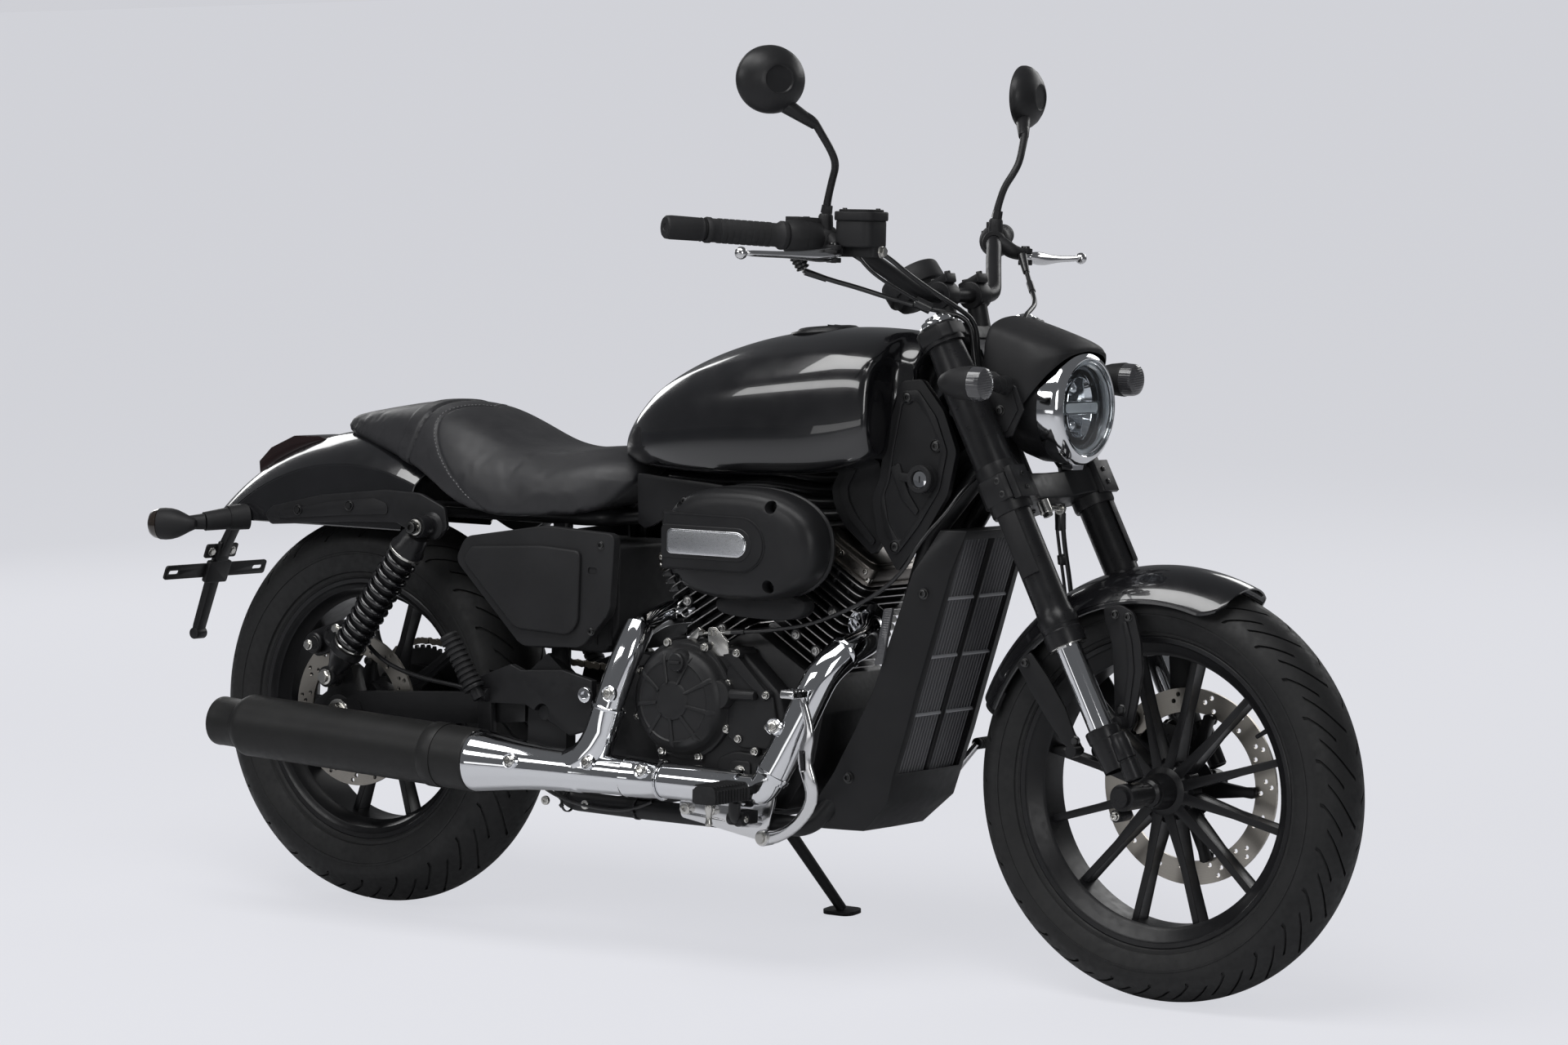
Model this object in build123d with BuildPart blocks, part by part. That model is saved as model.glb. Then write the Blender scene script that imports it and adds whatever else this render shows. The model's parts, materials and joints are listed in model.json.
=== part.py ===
from build123d import *
import os
from collections import namedtuple
from math import asin, atan2, cos, degrees, radians, sin, sqrt, tan

# Cruiser motorcycle, millimetres. It is drawn upright: +X forward, +Y to its left, +Z up,
# x = 0 midway between the axles and z = 0 under the tyres. At the end every piece is
# leaned onto the side stand and the whole is set over its own footprint.

# ---- stance
wheelbase = 1433.0
lean = 5.0                  # degrees to the left, on the side stand
rake = 27.5                 # fork and steering stem, degrees from upright
fork_spread = 110.0         # fork leg to the centre plane
stem_setback = 45.0         # steering stem behind the plane of the fork legs
seat_gap = 0.3              # between pieces that seat on each other
pin_gap = 0.5               # round a pin or shaft that turns

# ---- wheels
Wheel = namedtuple("Wheel", "x radius half_width shoulder_y shoulder_drop side_r flange_r rim_half "
                            "spokes first_spoke hub_r hub_half disc_y disc_r disc_bore")
front = Wheel(wheelbase / 2, 299, 60, 56, 33, 247, 217, 43, 12, 17, 34, 61, 58, 140, 106)
rear = Wheel(-wheelbase / 2, 310, 75, 71, 38, 250, 204, 56, 10, 0, 42, 62, -80, 120, 88)
bead_depth = 12.0           # flange height over the bead seat
flange_t = 5.0
barrel_t = 12.0
axle_r = 9.0
axle_bore_r = 5.0
disc_t = 4.5
disc_hole_r = 3.4
sprocket_r = 92.0
sprocket_y = 88.0
sprocket_t = 7.0

# ---- fork, distances along the legs from the axle
tube_r = 25.0
stanchion_r = 18.5
collar_r = 28.5
foot_r = 25.0
foot_top = 102.0
stanchion_top = 240.0
collar_bottom = 228.0
collar_top = 286.0
lower_clamp_bottom = 446.0
lower_clamp_top = 490.0
upper_clamp_bottom = 698.0
upper_clamp_top = 722.0
fork_top = 738.0
clamp_wall = 6.0
stem_r = 13.0
headstock_r = 29.0
headstock_gap = 2.0         # headstock to each clamp

# ---- handlebar
bar_r = 11.0
grip_r = 17.0
bar_clamp = (346, 0, 985)
bar_bend_low = (344, 92, 986)
bar_bend_high = (274, 200, 1062)
bar_end = (140, 438, 1075)
grip_inner_y = 277.0
grip_outer_y = 385.0
riser_y = 42.0

# ---- engine
crank = (56, 360)           # x, z of the crankshaft
vee = 31.0                  # each cylinder from upright
case_half = 94.0
barrel_start = 113.0        # along the cylinder from the crankshaft
barrel_end = 222.0
head_end = 268.0
cover_end = 296.0
fin_count = 12
fin_t = 2.6
fin_long = 122.0            # fore and aft
fin_wide = 152.0            # side to side
clutch = (-37, 380)
clutch_r = 80.0

# ---- frame
rail_r = 15.0
rail_y = 118.0
rail_z = 208.0
spine_r = 22.0
spine_z = 690.0
tank_base = spine_z + spine_r + 4
pivot = (-300, 340)         # swingarm pivot x, z
pivot_r = 11.0

# ---- rear fender
fender_r = 440.0
fender_t = 4.0
fender_half = 112.0
fender_low = 598.0
strut_t = 16.0

# ---- exhaust
muffler_r = 48.0
muffler_y = -190.0
pipe_r = 22.0

# ---- side stand, upright coordinates
stand_pivot = Vector(-78, 146, 186)
stand_foot = Vector(-12, 256, 27)
stand_axis = Vector(0, 0.90, 0.436)


def deg_dir(angle):
    return Vector(-sin(radians(angle)), 0, cos(radians(angle)))


fork_up = deg_dir(rake)
fork_ahead = Vector(cos(radians(rake)), 0, sin(radians(rake)))


def fork_plane(along, y=0.0, ahead=0.0):
    """Plane across the fork legs, its X pointing ahead and its normal up the legs."""
    origin = Vector(front.x, y, front.radius) + fork_up * along + fork_ahead * ahead
    return Plane(origin=origin, x_dir=fork_ahead, z_dir=fork_up)


def side_plane(y):
    """Plane seen from the right side: its X is forward, its Y is up."""
    return Plane(origin=(0, y, 0), x_dir=(1, 0, 0), z_dir=(0, -1, 0))


def wheel_plane(wheel, y):
    return Plane(origin=(wheel.x, y, wheel.radius), x_dir=(1, 0, 0), z_dir=(0, -1, 0))


def wheel_section(wheel):
    """Plane through the axle: its X is to the left, its Y is the radius."""
    return Plane(origin=(wheel.x, 0, wheel.radius), x_dir=(0, 1, 0), z_dir=(1, 0, 0))


def axle_axis(wheel):
    return Axis((wheel.x, 0, wheel.radius), (0, 1, 0))


def tube(points, diameter, bend=0.0, mode=Mode.ADD):
    """Round bar along straight runs with tangent bends, added to the part being built."""
    with BuildLine() as route:
        if len(points) > 2:
            FilletPolyline(*points, radius=bend)
        else:
            Line(*points)
    with BuildSketch(Plane(origin=route.line @ 0, z_dir=route.line % 0)) as section:
        Circle(diameter / 2)
    sweep(section.sketch, path=route.line, mode=mode)


def rod(start, end, radius, end_radius=None, mode=Mode.ADD):
    """Straight round bar, or a cone, between two points."""
    start, end = Vector(start), Vector(end)
    length = (end - start).length
    with BuildSketch(Plane(origin=start, z_dir=end - start)) as base:
        Circle(radius)
    if end_radius is None:
        extrude(base.sketch, amount=length, mode=mode)
    else:
        with BuildSketch(Plane(origin=end, z_dir=end - start)) as tip:
            Circle(end_radius)
        loft([base.sketch, tip.sketch], mode=mode)


def plate(outline, y_inner, y_outer, mode=Mode.ADD):
    """Flat plate with the given side outline, between two distances from the centre plane."""
    with BuildSketch(side_plane(y_inner)) as face:
        Polygon(*outline, align=None)
    extrude(face.sketch, amount=y_inner - y_outer, mode=mode)


# ================================================================ wheels
def make_tyre(wheel):
    seat_r = wheel.flange_r - bead_depth
    flange_y = wheel.rim_half + flange_t
    shoulder_r = wheel.radius - wheel.shoulder_drop
    with BuildPart() as tyre:
        with BuildSketch(wheel_section(wheel)):
            with BuildLine():
                Polyline((flange_y, wheel.flange_r), (wheel.rim_half, wheel.flange_r),
                         (wheel.rim_half, seat_r), (-wheel.rim_half, seat_r),
                         (-wheel.rim_half, wheel.flange_r), (-flange_y, wheel.flange_r))
                ThreePointArc((-flange_y, wheel.flange_r), (-wheel.half_width, wheel.side_r),
                              (-wheel.shoulder_y, shoulder_r))
                ThreePointArc((-wheel.shoulder_y, shoulder_r), (0, wheel.radius),
                              (wheel.shoulder_y, shoulder_r))
                ThreePointArc((wheel.shoulder_y, shoulder_r), (wheel.half_width, wheel.side_r),
                              (flange_y, wheel.flange_r))
            make_face()
        revolve(axis=axle_axis(wheel))
    return tyre


def make_rim(wheel, carrier_y, carrier_r, sprocket=False):
    """Cast rim, hub and spokes in one piece, with the arms that carry the brake disc."""
    seat_r = wheel.flange_r - bead_depth
    flange_y = wheel.rim_half + flange_t
    inner_r = seat_r - barrel_t
    spoke_root, spoke_tip, spoke_depth = 19, 12, 26
    with BuildPart() as rim:
        with BuildSketch(wheel_section(wheel)):
            Polygon((flange_y, wheel.flange_r), (wheel.rim_half, wheel.flange_r),
                    (wheel.rim_half, seat_r), (-wheel.rim_half, seat_r),
                    (-wheel.rim_half, wheel.flange_r), (-flange_y, wheel.flange_r),
                    (-flange_y, seat_r - 6), (-wheel.rim_half / 2, inner_r),
                    (wheel.rim_half / 2, inner_r), (flange_y, seat_r - 6), align=None)
        revolve(axis=axle_axis(wheel))
        with BuildSketch(wheel_plane(wheel, spoke_depth / 2)):
            with PolarLocations(0, wheel.spokes, start_angle=wheel.first_spoke):
                Polygon((wheel.hub_r - 4, -spoke_root / 2), (inner_r + 4, -spoke_tip / 2),
                        (inner_r + 4, spoke_tip / 2), (wheel.hub_r - 4, spoke_root / 2), align=None)
            Circle(wheel.hub_r + 22)
        extrude(amount=spoke_depth)
        with BuildSketch(wheel_plane(wheel, wheel.hub_half)):
            Circle(wheel.hub_r)
        extrude(amount=2 * wheel.hub_half)
        with BuildSketch(wheel_plane(wheel, carrier_y[1])):
            Circle(wheel.hub_r + 10)
            with PolarLocations(0, 5, start_angle=54):
                Polygon((wheel.hub_r, -13), (carrier_r, -9), (carrier_r, 9), (wheel.hub_r, 13), align=None)
        extrude(amount=carrier_y[1] - carrier_y[0])
        if sprocket:
            with BuildSketch(wheel_plane(wheel, sprocket_y + sprocket_t / 2)):
                Circle(sprocket_r)
                with PolarLocations(sprocket_r * 0.62, 5):
                    Circle(17, mode=Mode.SUBTRACT)
            extrude(amount=sprocket_t)
            with BuildSketch(wheel_plane(wheel, sprocket_y)):
                Circle(wheel.hub_r)
            extrude(amount=sprocket_y - wheel.hub_half)
        with BuildSketch(wheel_plane(wheel, 130)):
            Circle(axle_r + pin_gap)
        extrude(amount=260, mode=Mode.SUBTRACT)
    return rim


def make_disc(wheel):
    with BuildPart() as disc:
        with BuildSketch(wheel_plane(wheel, wheel.disc_y + disc_t / 2)):
            Circle(wheel.disc_r)
            Circle(wheel.disc_bore, mode=Mode.SUBTRACT)
            for row, turn in ((0.25, 0), (0.5, 8), (0.75, 4)):
                row_r = wheel.disc_bore + (wheel.disc_r - wheel.disc_bore) * row
                with PolarLocations(row_r, 15, start_angle=turn):
                    Circle(disc_hole_r, mode=Mode.SUBTRACT)
        extrude(amount=disc_t)
    return disc


front_tyre = make_tyre(front)
rear_tyre = make_tyre(rear)
front_rim = make_rim(front, (front.disc_y - disc_t / 2 - 11, front.disc_y - disc_t / 2), front.disc_bore + 3)
rear_rim = make_rim(rear, (rear.disc_y + disc_t / 2, rear.disc_y + disc_t / 2 + 17), rear.disc_bore + 3, True)
front_disc = make_disc(front)
rear_disc = make_disc(rear)

# ================================================================ fork
with BuildPart() as fork_clamps:
    for bottom, top in ((lower_clamp_bottom, lower_clamp_top), (upper_clamp_bottom, upper_clamp_top)):
        with BuildSketch(fork_plane(bottom)):
            with Locations((0, fork_spread), (0, -fork_spread)):
                Circle(tube_r + clamp_wall)
            Polygon((14, -fork_spread), (14, fork_spread), (-28, fork_spread),
                    (-stem_setback - 30, 26), (-stem_setback - 30, -26), (-28, -fork_spread), align=None)
        extrude(amount=top - bottom)
    with BuildSketch(fork_plane(lower_clamp_bottom, ahead=-stem_setback)):
        Circle(stem_r)
    extrude(amount=upper_clamp_top + 12 - lower_clamp_bottom)
    with BuildSketch(fork_plane(upper_clamp_top, ahead=-stem_setback)):
        RegularPolygon(19, 6)
    extrude(amount=14)
    with BuildSketch(fork_plane(lower_clamp_bottom)):
        with Locations((0, fork_spread), (0, -fork_spread)):
            Circle(tube_r)
    extrude(amount=upper_clamp_top - lower_clamp_bottom, mode=Mode.SUBTRACT)

with BuildPart() as fork_tubes:
    for side in (-1, 1):
        y = side * fork_spread
        for start, end, radius in ((collar_bottom, collar_bottom + 30, collar_r),
                                   (collar_bottom + 30, collar_top, tube_r + 2.5),
                                   (collar_top, fork_top, tube_r)):
            with BuildSketch(fork_plane(start, y)):
                Circle(radius)
            extrude(amount=end - start)
        with BuildSketch(fork_plane(fork_top, y)):
            RegularPolygon(15, 6)
        extrude(amount=9)
        with BuildSketch(fork_plane(collar_bottom, y)):
            Circle(stanchion_r)
        extrude(amount=stanchion_top - collar_bottom, mode=Mode.SUBTRACT)

with BuildPart() as fork_stanchions:
    for side in (-1, 1):
        with BuildSketch(fork_plane(foot_top, side * fork_spread)):
            Circle(stanchion_r)
        extrude(amount=stanchion_top - foot_top)

with BuildPart() as fork_feet:
    for side in (-1, 1):
        y = side * fork_spread
        for start, end, radius in ((20, foot_top - 34, foot_r - 2), (foot_top - 34, foot_top, foot_r + 2)):
            with BuildSketch(fork_plane(start, y)):
                Circle(radius)
            extrude(amount=end - start)
        with BuildSketch(wheel_plane(front, y + 22)):
            Circle(29)
            Polygon((-34, -8), (-24, 46), (6, 60), (26, 12), align=None)
        extrude(amount=44)
    rod((front.x, -136, front.radius), (front.x, 128, front.radius), axle_r)
    for y_inner, y_outer in ((front.hub_half + 1, fork_spread - 20), (-front.hub_half - 1, -fork_spread + 20)):
        with BuildSketch(wheel_plane(front, y_inner)):
            Circle(15)
        extrude(amount=y_inner - y_outer)
    with BuildSketch(wheel_plane(front, -124)):
        Circle(16)
    extrude(amount=12)
    with BuildSketch(wheel_plane(front, 200)):
        Circle(axle_bore_r)
    extrude(amount=400, mode=Mode.SUBTRACT)

front_caliper_angle = 152.0
caliper_half = 14.0
rub_gap = 3.0               # caliper to the faces and rim of its disc
with BuildPart() as front_caliper:
    centre_r = front.disc_r - 3
    cx = centre_r * cos(radians(front_caliper_angle))
    cz = centre_r * sin(radians(front_caliper_angle))
    with BuildSketch(wheel_plane(front, front.disc_y + caliper_half)):
        with Locations(Location((cx, cz, 0), front_caliper_angle - 90)):
            RectangleRounded(92, 44, 14)
    extrude(amount=2 * caliper_half)
    with BuildSketch(wheel_plane(front, front.disc_y + disc_t / 2 + rub_gap)):
        Circle(front.disc_r + rub_gap)
    extrude(amount=disc_t + 2 * rub_gap, mode=Mode.SUBTRACT)
    plate(((600, 348), (606, 388), (690, 382), (708, 352), (640, 340)), front.disc_y + caliper_half,
          front.disc_y + caliper_half - 6)
    rod((690, front.disc_y + 10, 366), (690, fork_spread, 366), 10)
    add(fork_feet.part, mode=Mode.SUBTRACT)

# ================================================================ front fender
front_fender_r = 317.0
front_fender_t = 3.0


def fender_ring(wheel, crown_r, half, edge_r, wall, start, end, leg_r=None):
    """Curved guard round a wheel, from one angle to another, degrees ahead of straight up."""
    section = wheel_section(wheel)
    for radius_cut, mode in ((0, Mode.ADD), (wall, Mode.SUBTRACT)):
        half_here = half - radius_cut
        edge_here = edge_r - radius_cut * 0.4
        low = (leg_r if leg_r is not None else edge_r) - (20 if radius_cut else 0)
        tilted = Plane(origin=section.origin, x_dir=(0, 1, 0),
                       z_dir=Vector(cos(radians(start)), 0, -sin(radians(start))))
        with BuildSketch(tilted) as wall_section:
            with BuildLine():
                ThreePointArc((-half_here, edge_here), (0, crown_r - radius_cut), (half_here, edge_here))
                Polyline((half_here, edge_here), (half_here, low), (-half_here, low), (-half_here, edge_here))
            make_face()
        revolve(wall_section.sketch, axis=Axis((wheel.x, 0, wheel.radius), (0, -1, 0)),
                revolution_arc=start - end, mode=mode)
        if not wall:
            break


with BuildPart() as front_fender:
    fender_ring(front, front_fender_r, 76, 272, front_fender_t, 23, -68, leg_r=264)
    for side in (-1, 1):
        y = side * 76
        plate(((698, 388), (716, 470), (700, 556), (668, 566), (640, 560), (664, 500), (672, 388)),
              y - 2.5, y + 2.5)
        plate(((500, 468), (530, 490), (592, 412), (622, 352), (604, 340), (556, 392)), y - 2.5, y + 2.5)
        for x, z in ((684, 398), (610, 352)):
            start = Vector(x, y, z)
            rod(start, start + Vector(0, side * 20, 0), 9)
    add(fork_feet.part, mode=Mode.SUBTRACT)
    add(fork_stanchions.part, mode=Mode.SUBTRACT)
    add(front_caliper.part, mode=Mode.SUBTRACT)

# ================================================================ headlight
lamp = (565, 831)           # x of the glass, z of the centre
lamp_r = 82.0
glass_r = 68.0
bezel_depth = 34.0
lamp_wall = 3.0


def lamp_plane(x):
    return Plane(origin=(x, 0, lamp[1]), x_dir=(0, 1, 0), z_dir=(1, 0, 0))


def lamp_revolve():
    revolve(axis=Axis((0, 0, lamp[1]), (1, 0, 0)))


lamp_section = Plane(origin=(lamp[0], 0, lamp[1]), x_dir=(1, 0, 0), z_dir=(0, -1, 0))
with BuildPart() as headlight_shell:
    with BuildSketch(lamp_section):
        with BuildLine():
            Line((-bezel_depth, lamp_r - lamp_wall - 5), (-bezel_depth, lamp_r - 2))
            ThreePointArc((-bezel_depth, lamp_r - 2), (-100, 66), (-130, 20))
            Polyline((-130, 20), (-130, 0), (-130 + lamp_wall, 0), (-130 + lamp_wall, 18))
            ThreePointArc((-130 + lamp_wall, 18), (-99, 62), (-bezel_depth, lamp_r - lamp_wall - 5))
        make_face()
    lamp_revolve()

with BuildPart() as lamp_bulk:
    with BuildSketch(lamp_section):
        with BuildLine():
            Line((-bezel_depth, 0), (-bezel_depth, lamp_r - 2))
            ThreePointArc((-bezel_depth, lamp_r - 2), (-100, 66), (-130, 20))
            Polyline((-130, 20), (-130, 0), (-bezel_depth, 0))
        make_face()
    lamp_revolve()

with BuildPart() as headlight_bezel:
    with BuildSketch(lamp_section):
        Polygon((-bezel_depth, lamp_r - 6), (-bezel_depth, lamp_r), (-8, lamp_r + 2), (0, lamp_r - 3),
                (3, glass_r + 4), (3, glass_r), (-3, glass_r), (-3, lamp_r - 8), align=None)
    lamp_revolve()

with BuildPart() as headlight_glass:
    with BuildSketch(lamp_section):
        with BuildLine():
            ThreePointArc((0, glass_r), (7, glass_r * 0.6), (10, 6))
            Polyline((10, 6), (10, 0), (6.5, 0), (6.5, 6))
            ThreePointArc((6.5, 6), (3.5, glass_r * 0.6), (-3, glass_r))
            Line((-3, glass_r), (0, glass_r))
        make_face()
    lamp_revolve()

with BuildPart() as headlight_reflector:
    with BuildSketch(lamp_section):
        Polygon((-5, glass_r + 4), (-5, glass_r - 3), (-26, glass_r - 10), (-42, 40), (-42, 0), (-46, 0),
                (-46, 44), (-bezel_depth + 1, lamp_r - 8 - seat_gap), (-8, lamp_r - 8 - seat_gap), align=None)
    lamp_revolve()
    with BuildSketch(lamp_plane(lamp[0] - 43)):
        Rectangle(2 * glass_r - 18, 15)
    extrude(amount=31)
    for z in (-29, 29):
        with BuildSketch(lamp_plane(lamp[0] - 43)):
            with Locations((0, z)):
                Rectangle(66, 27)
        extrude(amount=14)

cowl_wall = 4.0
CowlStation = namedtuple("CowlStation", "x half base top")
cowl_stations = (CowlStation(562, 76, 884, 918), CowlStation(490, 94, 888, 944), CowlStation(412, 80, 906, 958))
with BuildPart() as cowl:
    for inset, mode in ((0, Mode.ADD), (cowl_wall, Mode.SUBTRACT)):
        for station in cowl_stations:
            half, base = station.half - inset, station.base - inset
            x = station.x + (inset if station is cowl_stations[-1] else 0)
            with BuildSketch(Plane(origin=(x, 0, 0), x_dir=(0, 1, 0), z_dir=(1, 0, 0))):
                with BuildLine():
                    ThreePointArc((-half, base), (0, station.top - inset), (half, base))
                    Polyline((half, base), (half, base - 8 - 8 * inset), (-half, base - 8 - 8 * inset),
                             (-half, base))
                make_face()
        loft(ruled=True, mode=mode)

signal_y = 204.0
signal_z = 866.0
signal_nose = 527.0
signal_r = 25.0
signal_length = 79.0


def bullet(nose_x, y, z, facing):
    """Bullet-shaped turn signal lying along X; facing is 1 for a lens ahead, -1 behind."""
    section = Plane(origin=(nose_x, y, z), x_dir=(-facing, 0, 0), z_dir=(0, facing, 0))
    with BuildSketch(section) as profile:
        with BuildLine():
            Polyline((0, 0), (0, signal_r - 6), (5, signal_r - 1), (22, signal_r))
            ThreePointArc((22, signal_r), (54, signal_r * 0.66), (signal_length, 5))
            Polyline((signal_length, 5), (signal_length, 0), (0, 0))
        make_face()
    revolve(profile.sketch, axis=Axis((nose_x, y, z), (1, 0, 0)))


bracket_in = 90.0
bracket_out = 95.0
with BuildPart() as headlight_brackets:
    for side in (-1, 1):
        plate(((418, 872), (470, 874), (510, 858), (520, 826), (500, 790), (456, 780)),
              side * bracket_in, side * bracket_out)
        rod((506, side * bracket_in, lamp[1]), (506, side * 60, lamp[1]), 9)
    add(fork_tubes.part, mode=Mode.SUBTRACT)
    add(lamp_bulk.part, mode=Mode.SUBTRACT)

with BuildPart() as front_signals:
    for side in (-1, 1):
        bullet(signal_nose, side * signal_y, signal_z, 1)
        rod((486, side * (bracket_out + seat_gap), signal_z - 2), (486, side * signal_y, signal_z), 9)

# ================================================================ handlebar and its controls
bar_route = [(x, -y, z) for x, y, z in (bar_end, bar_bend_high, bar_bend_low)]
bar_route += [bar_bend_low, bar_bend_high, bar_end]
with BuildPart() as handlebar:
    tube(bar_route, 2 * bar_r, bend=46)
    for side in (-1, 1):
        base = fork_plane(upper_clamp_top, side * riser_y, -stem_setback + 18).origin
        rod(base, (bar_clamp[0], side * riser_y, bar_clamp[2]), 15)
        rod((bar_clamp[0], side * (riser_y - 15), bar_clamp[2]), (bar_clamp[0], side * (riser_y + 15),
                                                              bar_clamp[2]), 21)
    with BuildSketch(fork_plane(upper_clamp_top - 30)):
        Rectangle(300, 300)
    extrude(amount=30, mode=Mode.SUBTRACT)

bar_run = Vector(*bar_end) - Vector(*bar_bend_high)


def on_bar(y):
    """Point of the straight outer run of the bar, at a distance from the centre plane."""
    share = (abs(y) - bar_bend_high[1]) / (bar_end[1] - bar_bend_high[1])
    point = Vector(*bar_bend_high) + bar_run * share
    return Vector(point.X, point.Y if y > 0 else -point.Y, point.Z)


def sleeve(y_start, y_end, radius):
    """Round sleeve on both ends of the bar."""
    for side in (-1, 1):
        rod(on_bar(side * y_start), on_bar(side * y_end), radius)


perch_y = 222.0
lever_pivot = (298, 252, 1042)
lever_tip = (277, 445, 1041)
reservoir = (322, -220, 1052)
reservoir_r = 36.0
reservoir_h = 54.0
boot_top = 1100.0
with BuildPart() as levers:
    for side in (-1, 1):
        pivot_at = Vector(lever_pivot[0], side * lever_pivot[1], lever_pivot[2])
        rod(pivot_at - Vector(0, 0, 4.5), pivot_at + Vector(0, 0, 4.5), 11)
        tube([pivot_at + Vector(-2, side * 6, 0), (lever_pivot[0] + 4, side * 330, 1040),
              (lever_tip[0], side * lever_tip[1], lever_tip[2])], 9, bend=160)
        with Locations((lever_tip[0], side * lever_tip[1], lever_tip[2])):
            Sphere(8)
    for side in (-1, 1):
        with BuildSketch(Plane(origin=(lever_pivot[0], side * lever_pivot[1], lever_pivot[2] - 30))):
            Circle(4 + seat_gap)
        extrude(amount=60, mode=Mode.SUBTRACT)

with BuildPart() as bar_controls:
    sleeve(grip_inner_y, grip_outer_y, grip_r)
    sleeve(grip_outer_y + 4, bar_end[1], grip_r - 0.5)
    sleeve(grip_outer_y - 1, grip_outer_y + 5, grip_r - 4)
    sleeve(236, grip_inner_y, 20)
    sleeve(perch_y - 9, perch_y + 9, 17)
    for side in (-1, 1):
        rod(on_bar(side * perch_y), (lever_pivot[0], side * (lever_pivot[1] - 14), lever_pivot[2] + 8), 11)
        rod((lever_pivot[0], side * lever_pivot[1], lever_pivot[2] - 13),
            (lever_pivot[0], side * lever_pivot[1], lever_pivot[2] - 5), 11)
        rod((lever_pivot[0], side * lever_pivot[1], lever_pivot[2] + 5),
            (lever_pivot[0], side * lever_pivot[1], lever_pivot[2] + 13), 11)
        rod((lever_pivot[0], side * lever_pivot[1], lever_pivot[2] - 13),
            (lever_pivot[0], side * lever_pivot[1], lever_pivot[2] + 13), 4)
        rod(on_bar(side * perch_y) + Vector(2, 0, 0), (263, side * (perch_y + 1), boot_top), 12)
    rod(on_bar(-perch_y), (reservoir[0], reservoir[1], reservoir[2] + 6), 13)
    rod(reservoir, (reservoir[0], reservoir[1], reservoir[2] + reservoir_h - 9), reservoir_r - 3)
    rod((reservoir[0], reservoir[1], reservoir[2] + reservoir_h - 14),
        (reservoir[0], reservoir[1], reservoir[2] + reservoir_h), reservoir_r)
    add(handlebar.part, mode=Mode.SUBTRACT)
    add(levers.part, mode=Mode.SUBTRACT)

mirror = (238, 331, 1283)
mirror_r = 49.0
mirror_depth = 30.0
mirror_turn = 24.0          # back of the housing, degrees outward from straight ahead
glass_depth = 2.0


def mirror_plane(side, forward):
    facing = Vector(cos(radians(mirror_turn)), side * sin(radians(mirror_turn)), 0)
    return Plane(origin=Vector(mirror[0], side * mirror[1], mirror[2]) + facing * forward,
                 x_dir=(0, 0, 1), z_dir=facing)


with BuildPart() as mirrors:
    for side in (-1, 1):
        face = mirror_plane(side, 0)
        section = Plane(origin=face.origin, x_dir=face.z_dir, z_dir=face.z_dir.cross(Vector(0, 0, 1)))
        with BuildSketch(section):
            with BuildLine():
                Polyline((0, 0), (0, mirror_r - 3), (-glass_depth, mirror_r - 3), (-glass_depth, mirror_r),
                         (4, mirror_r))
                ThreePointArc((4, mirror_r), (mirror_depth * 0.72, mirror_r * 0.66), (mirror_depth, 6))
                Polyline((mirror_depth, 6), (mirror_depth, 0), (0, 0))
            make_face()
        revolve(axis=Axis(face.origin, face.z_dir))
        neck = face.origin + face.z_dir * 12 + Vector(0, -side * 22, -38)
        tube([(263, side * (perch_y + 1), boot_top + seat_gap), (272, side * 225, 1136),
              (290, side * 236, 1170), (274, side * 282, 1232), neck], 11, bend=12)
        rod((277, side * 273, 1220), neck + Vector(-4, side * 8, 10), 8, 13)
    add(bar_controls.part, mode=Mode.SUBTRACT)

pod = (270, 0, 994)
pod_r = 46.0
with BuildPart() as instrument:
    tilt = Vector(-0.6, 0, 0.8)
    rod(Vector(*pod) - tilt * 24, Vector(*pod) + tilt * 16, pod_r - 6)
    rod(Vector(*pod) - tilt * 8, Vector(*pod) + tilt * 22, pod_r)
    rod((282, 0, 984), fork_plane(upper_clamp_top - 4, 0, -stem_setback).origin, 7)
    add(fork_clamps.part, mode=Mode.SUBTRACT)

# ================================================================ engine
def vee_point(side, along, across):
    """x, z of a point of a cylinder: along its bore, and across it away from the other one."""
    return (crank[0] + side * (along * sin(radians(vee)) + across * cos(radians(vee))),
            crank[1] + along * cos(radians(vee)) - across * sin(radians(vee)))


def bore_plane(side, along):
    x, z = vee_point(side, along, 0)
    return Plane(origin=(x, 0, z), x_dir=(cos(radians(vee)), 0, -side * sin(radians(vee))),
                 z_dir=(side * sin(radians(vee)), 0, cos(radians(vee))))


case_low = 226.0
sprocket_at = (-158, 345)
sprocket_pocket_y = 78.0
front_sprocket_r = 31.0
with BuildPart() as crankcase:
    half = fin_long / 2
    plate(((-228, 300), (-222, 400), (-150, 440), vee_point(-1, barrel_start, half),
           vee_point(-1, barrel_start, -half), vee_point(1, barrel_start, -half),
           vee_point(1, barrel_start, half), (186, 372), (172, 300), (124, case_low), (-150, case_low)),
          case_half, -case_half)
    for x in (-112, 84):
        with BuildSketch(Plane.XY.offset(rail_z + rail_r + seat_gap)):
            with Locations((x, 0)):
                Rectangle(30, 2 * (rail_y + 8))
        extrude(amount=24)
    with BuildSketch(side_plane(case_half + 10)):
        with Locations((-170, 345)):
            Rectangle(124, 118)
    extrude(amount=case_half + 10 - sprocket_pocket_y, mode=Mode.SUBTRACT)
    with BuildSketch(side_plane(sprocket_y + sprocket_t / 2)):
        with Locations(sprocket_at):
            Circle(front_sprocket_r)
    extrude(amount=sprocket_y + sprocket_t / 2 - sprocket_pocket_y)

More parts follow.
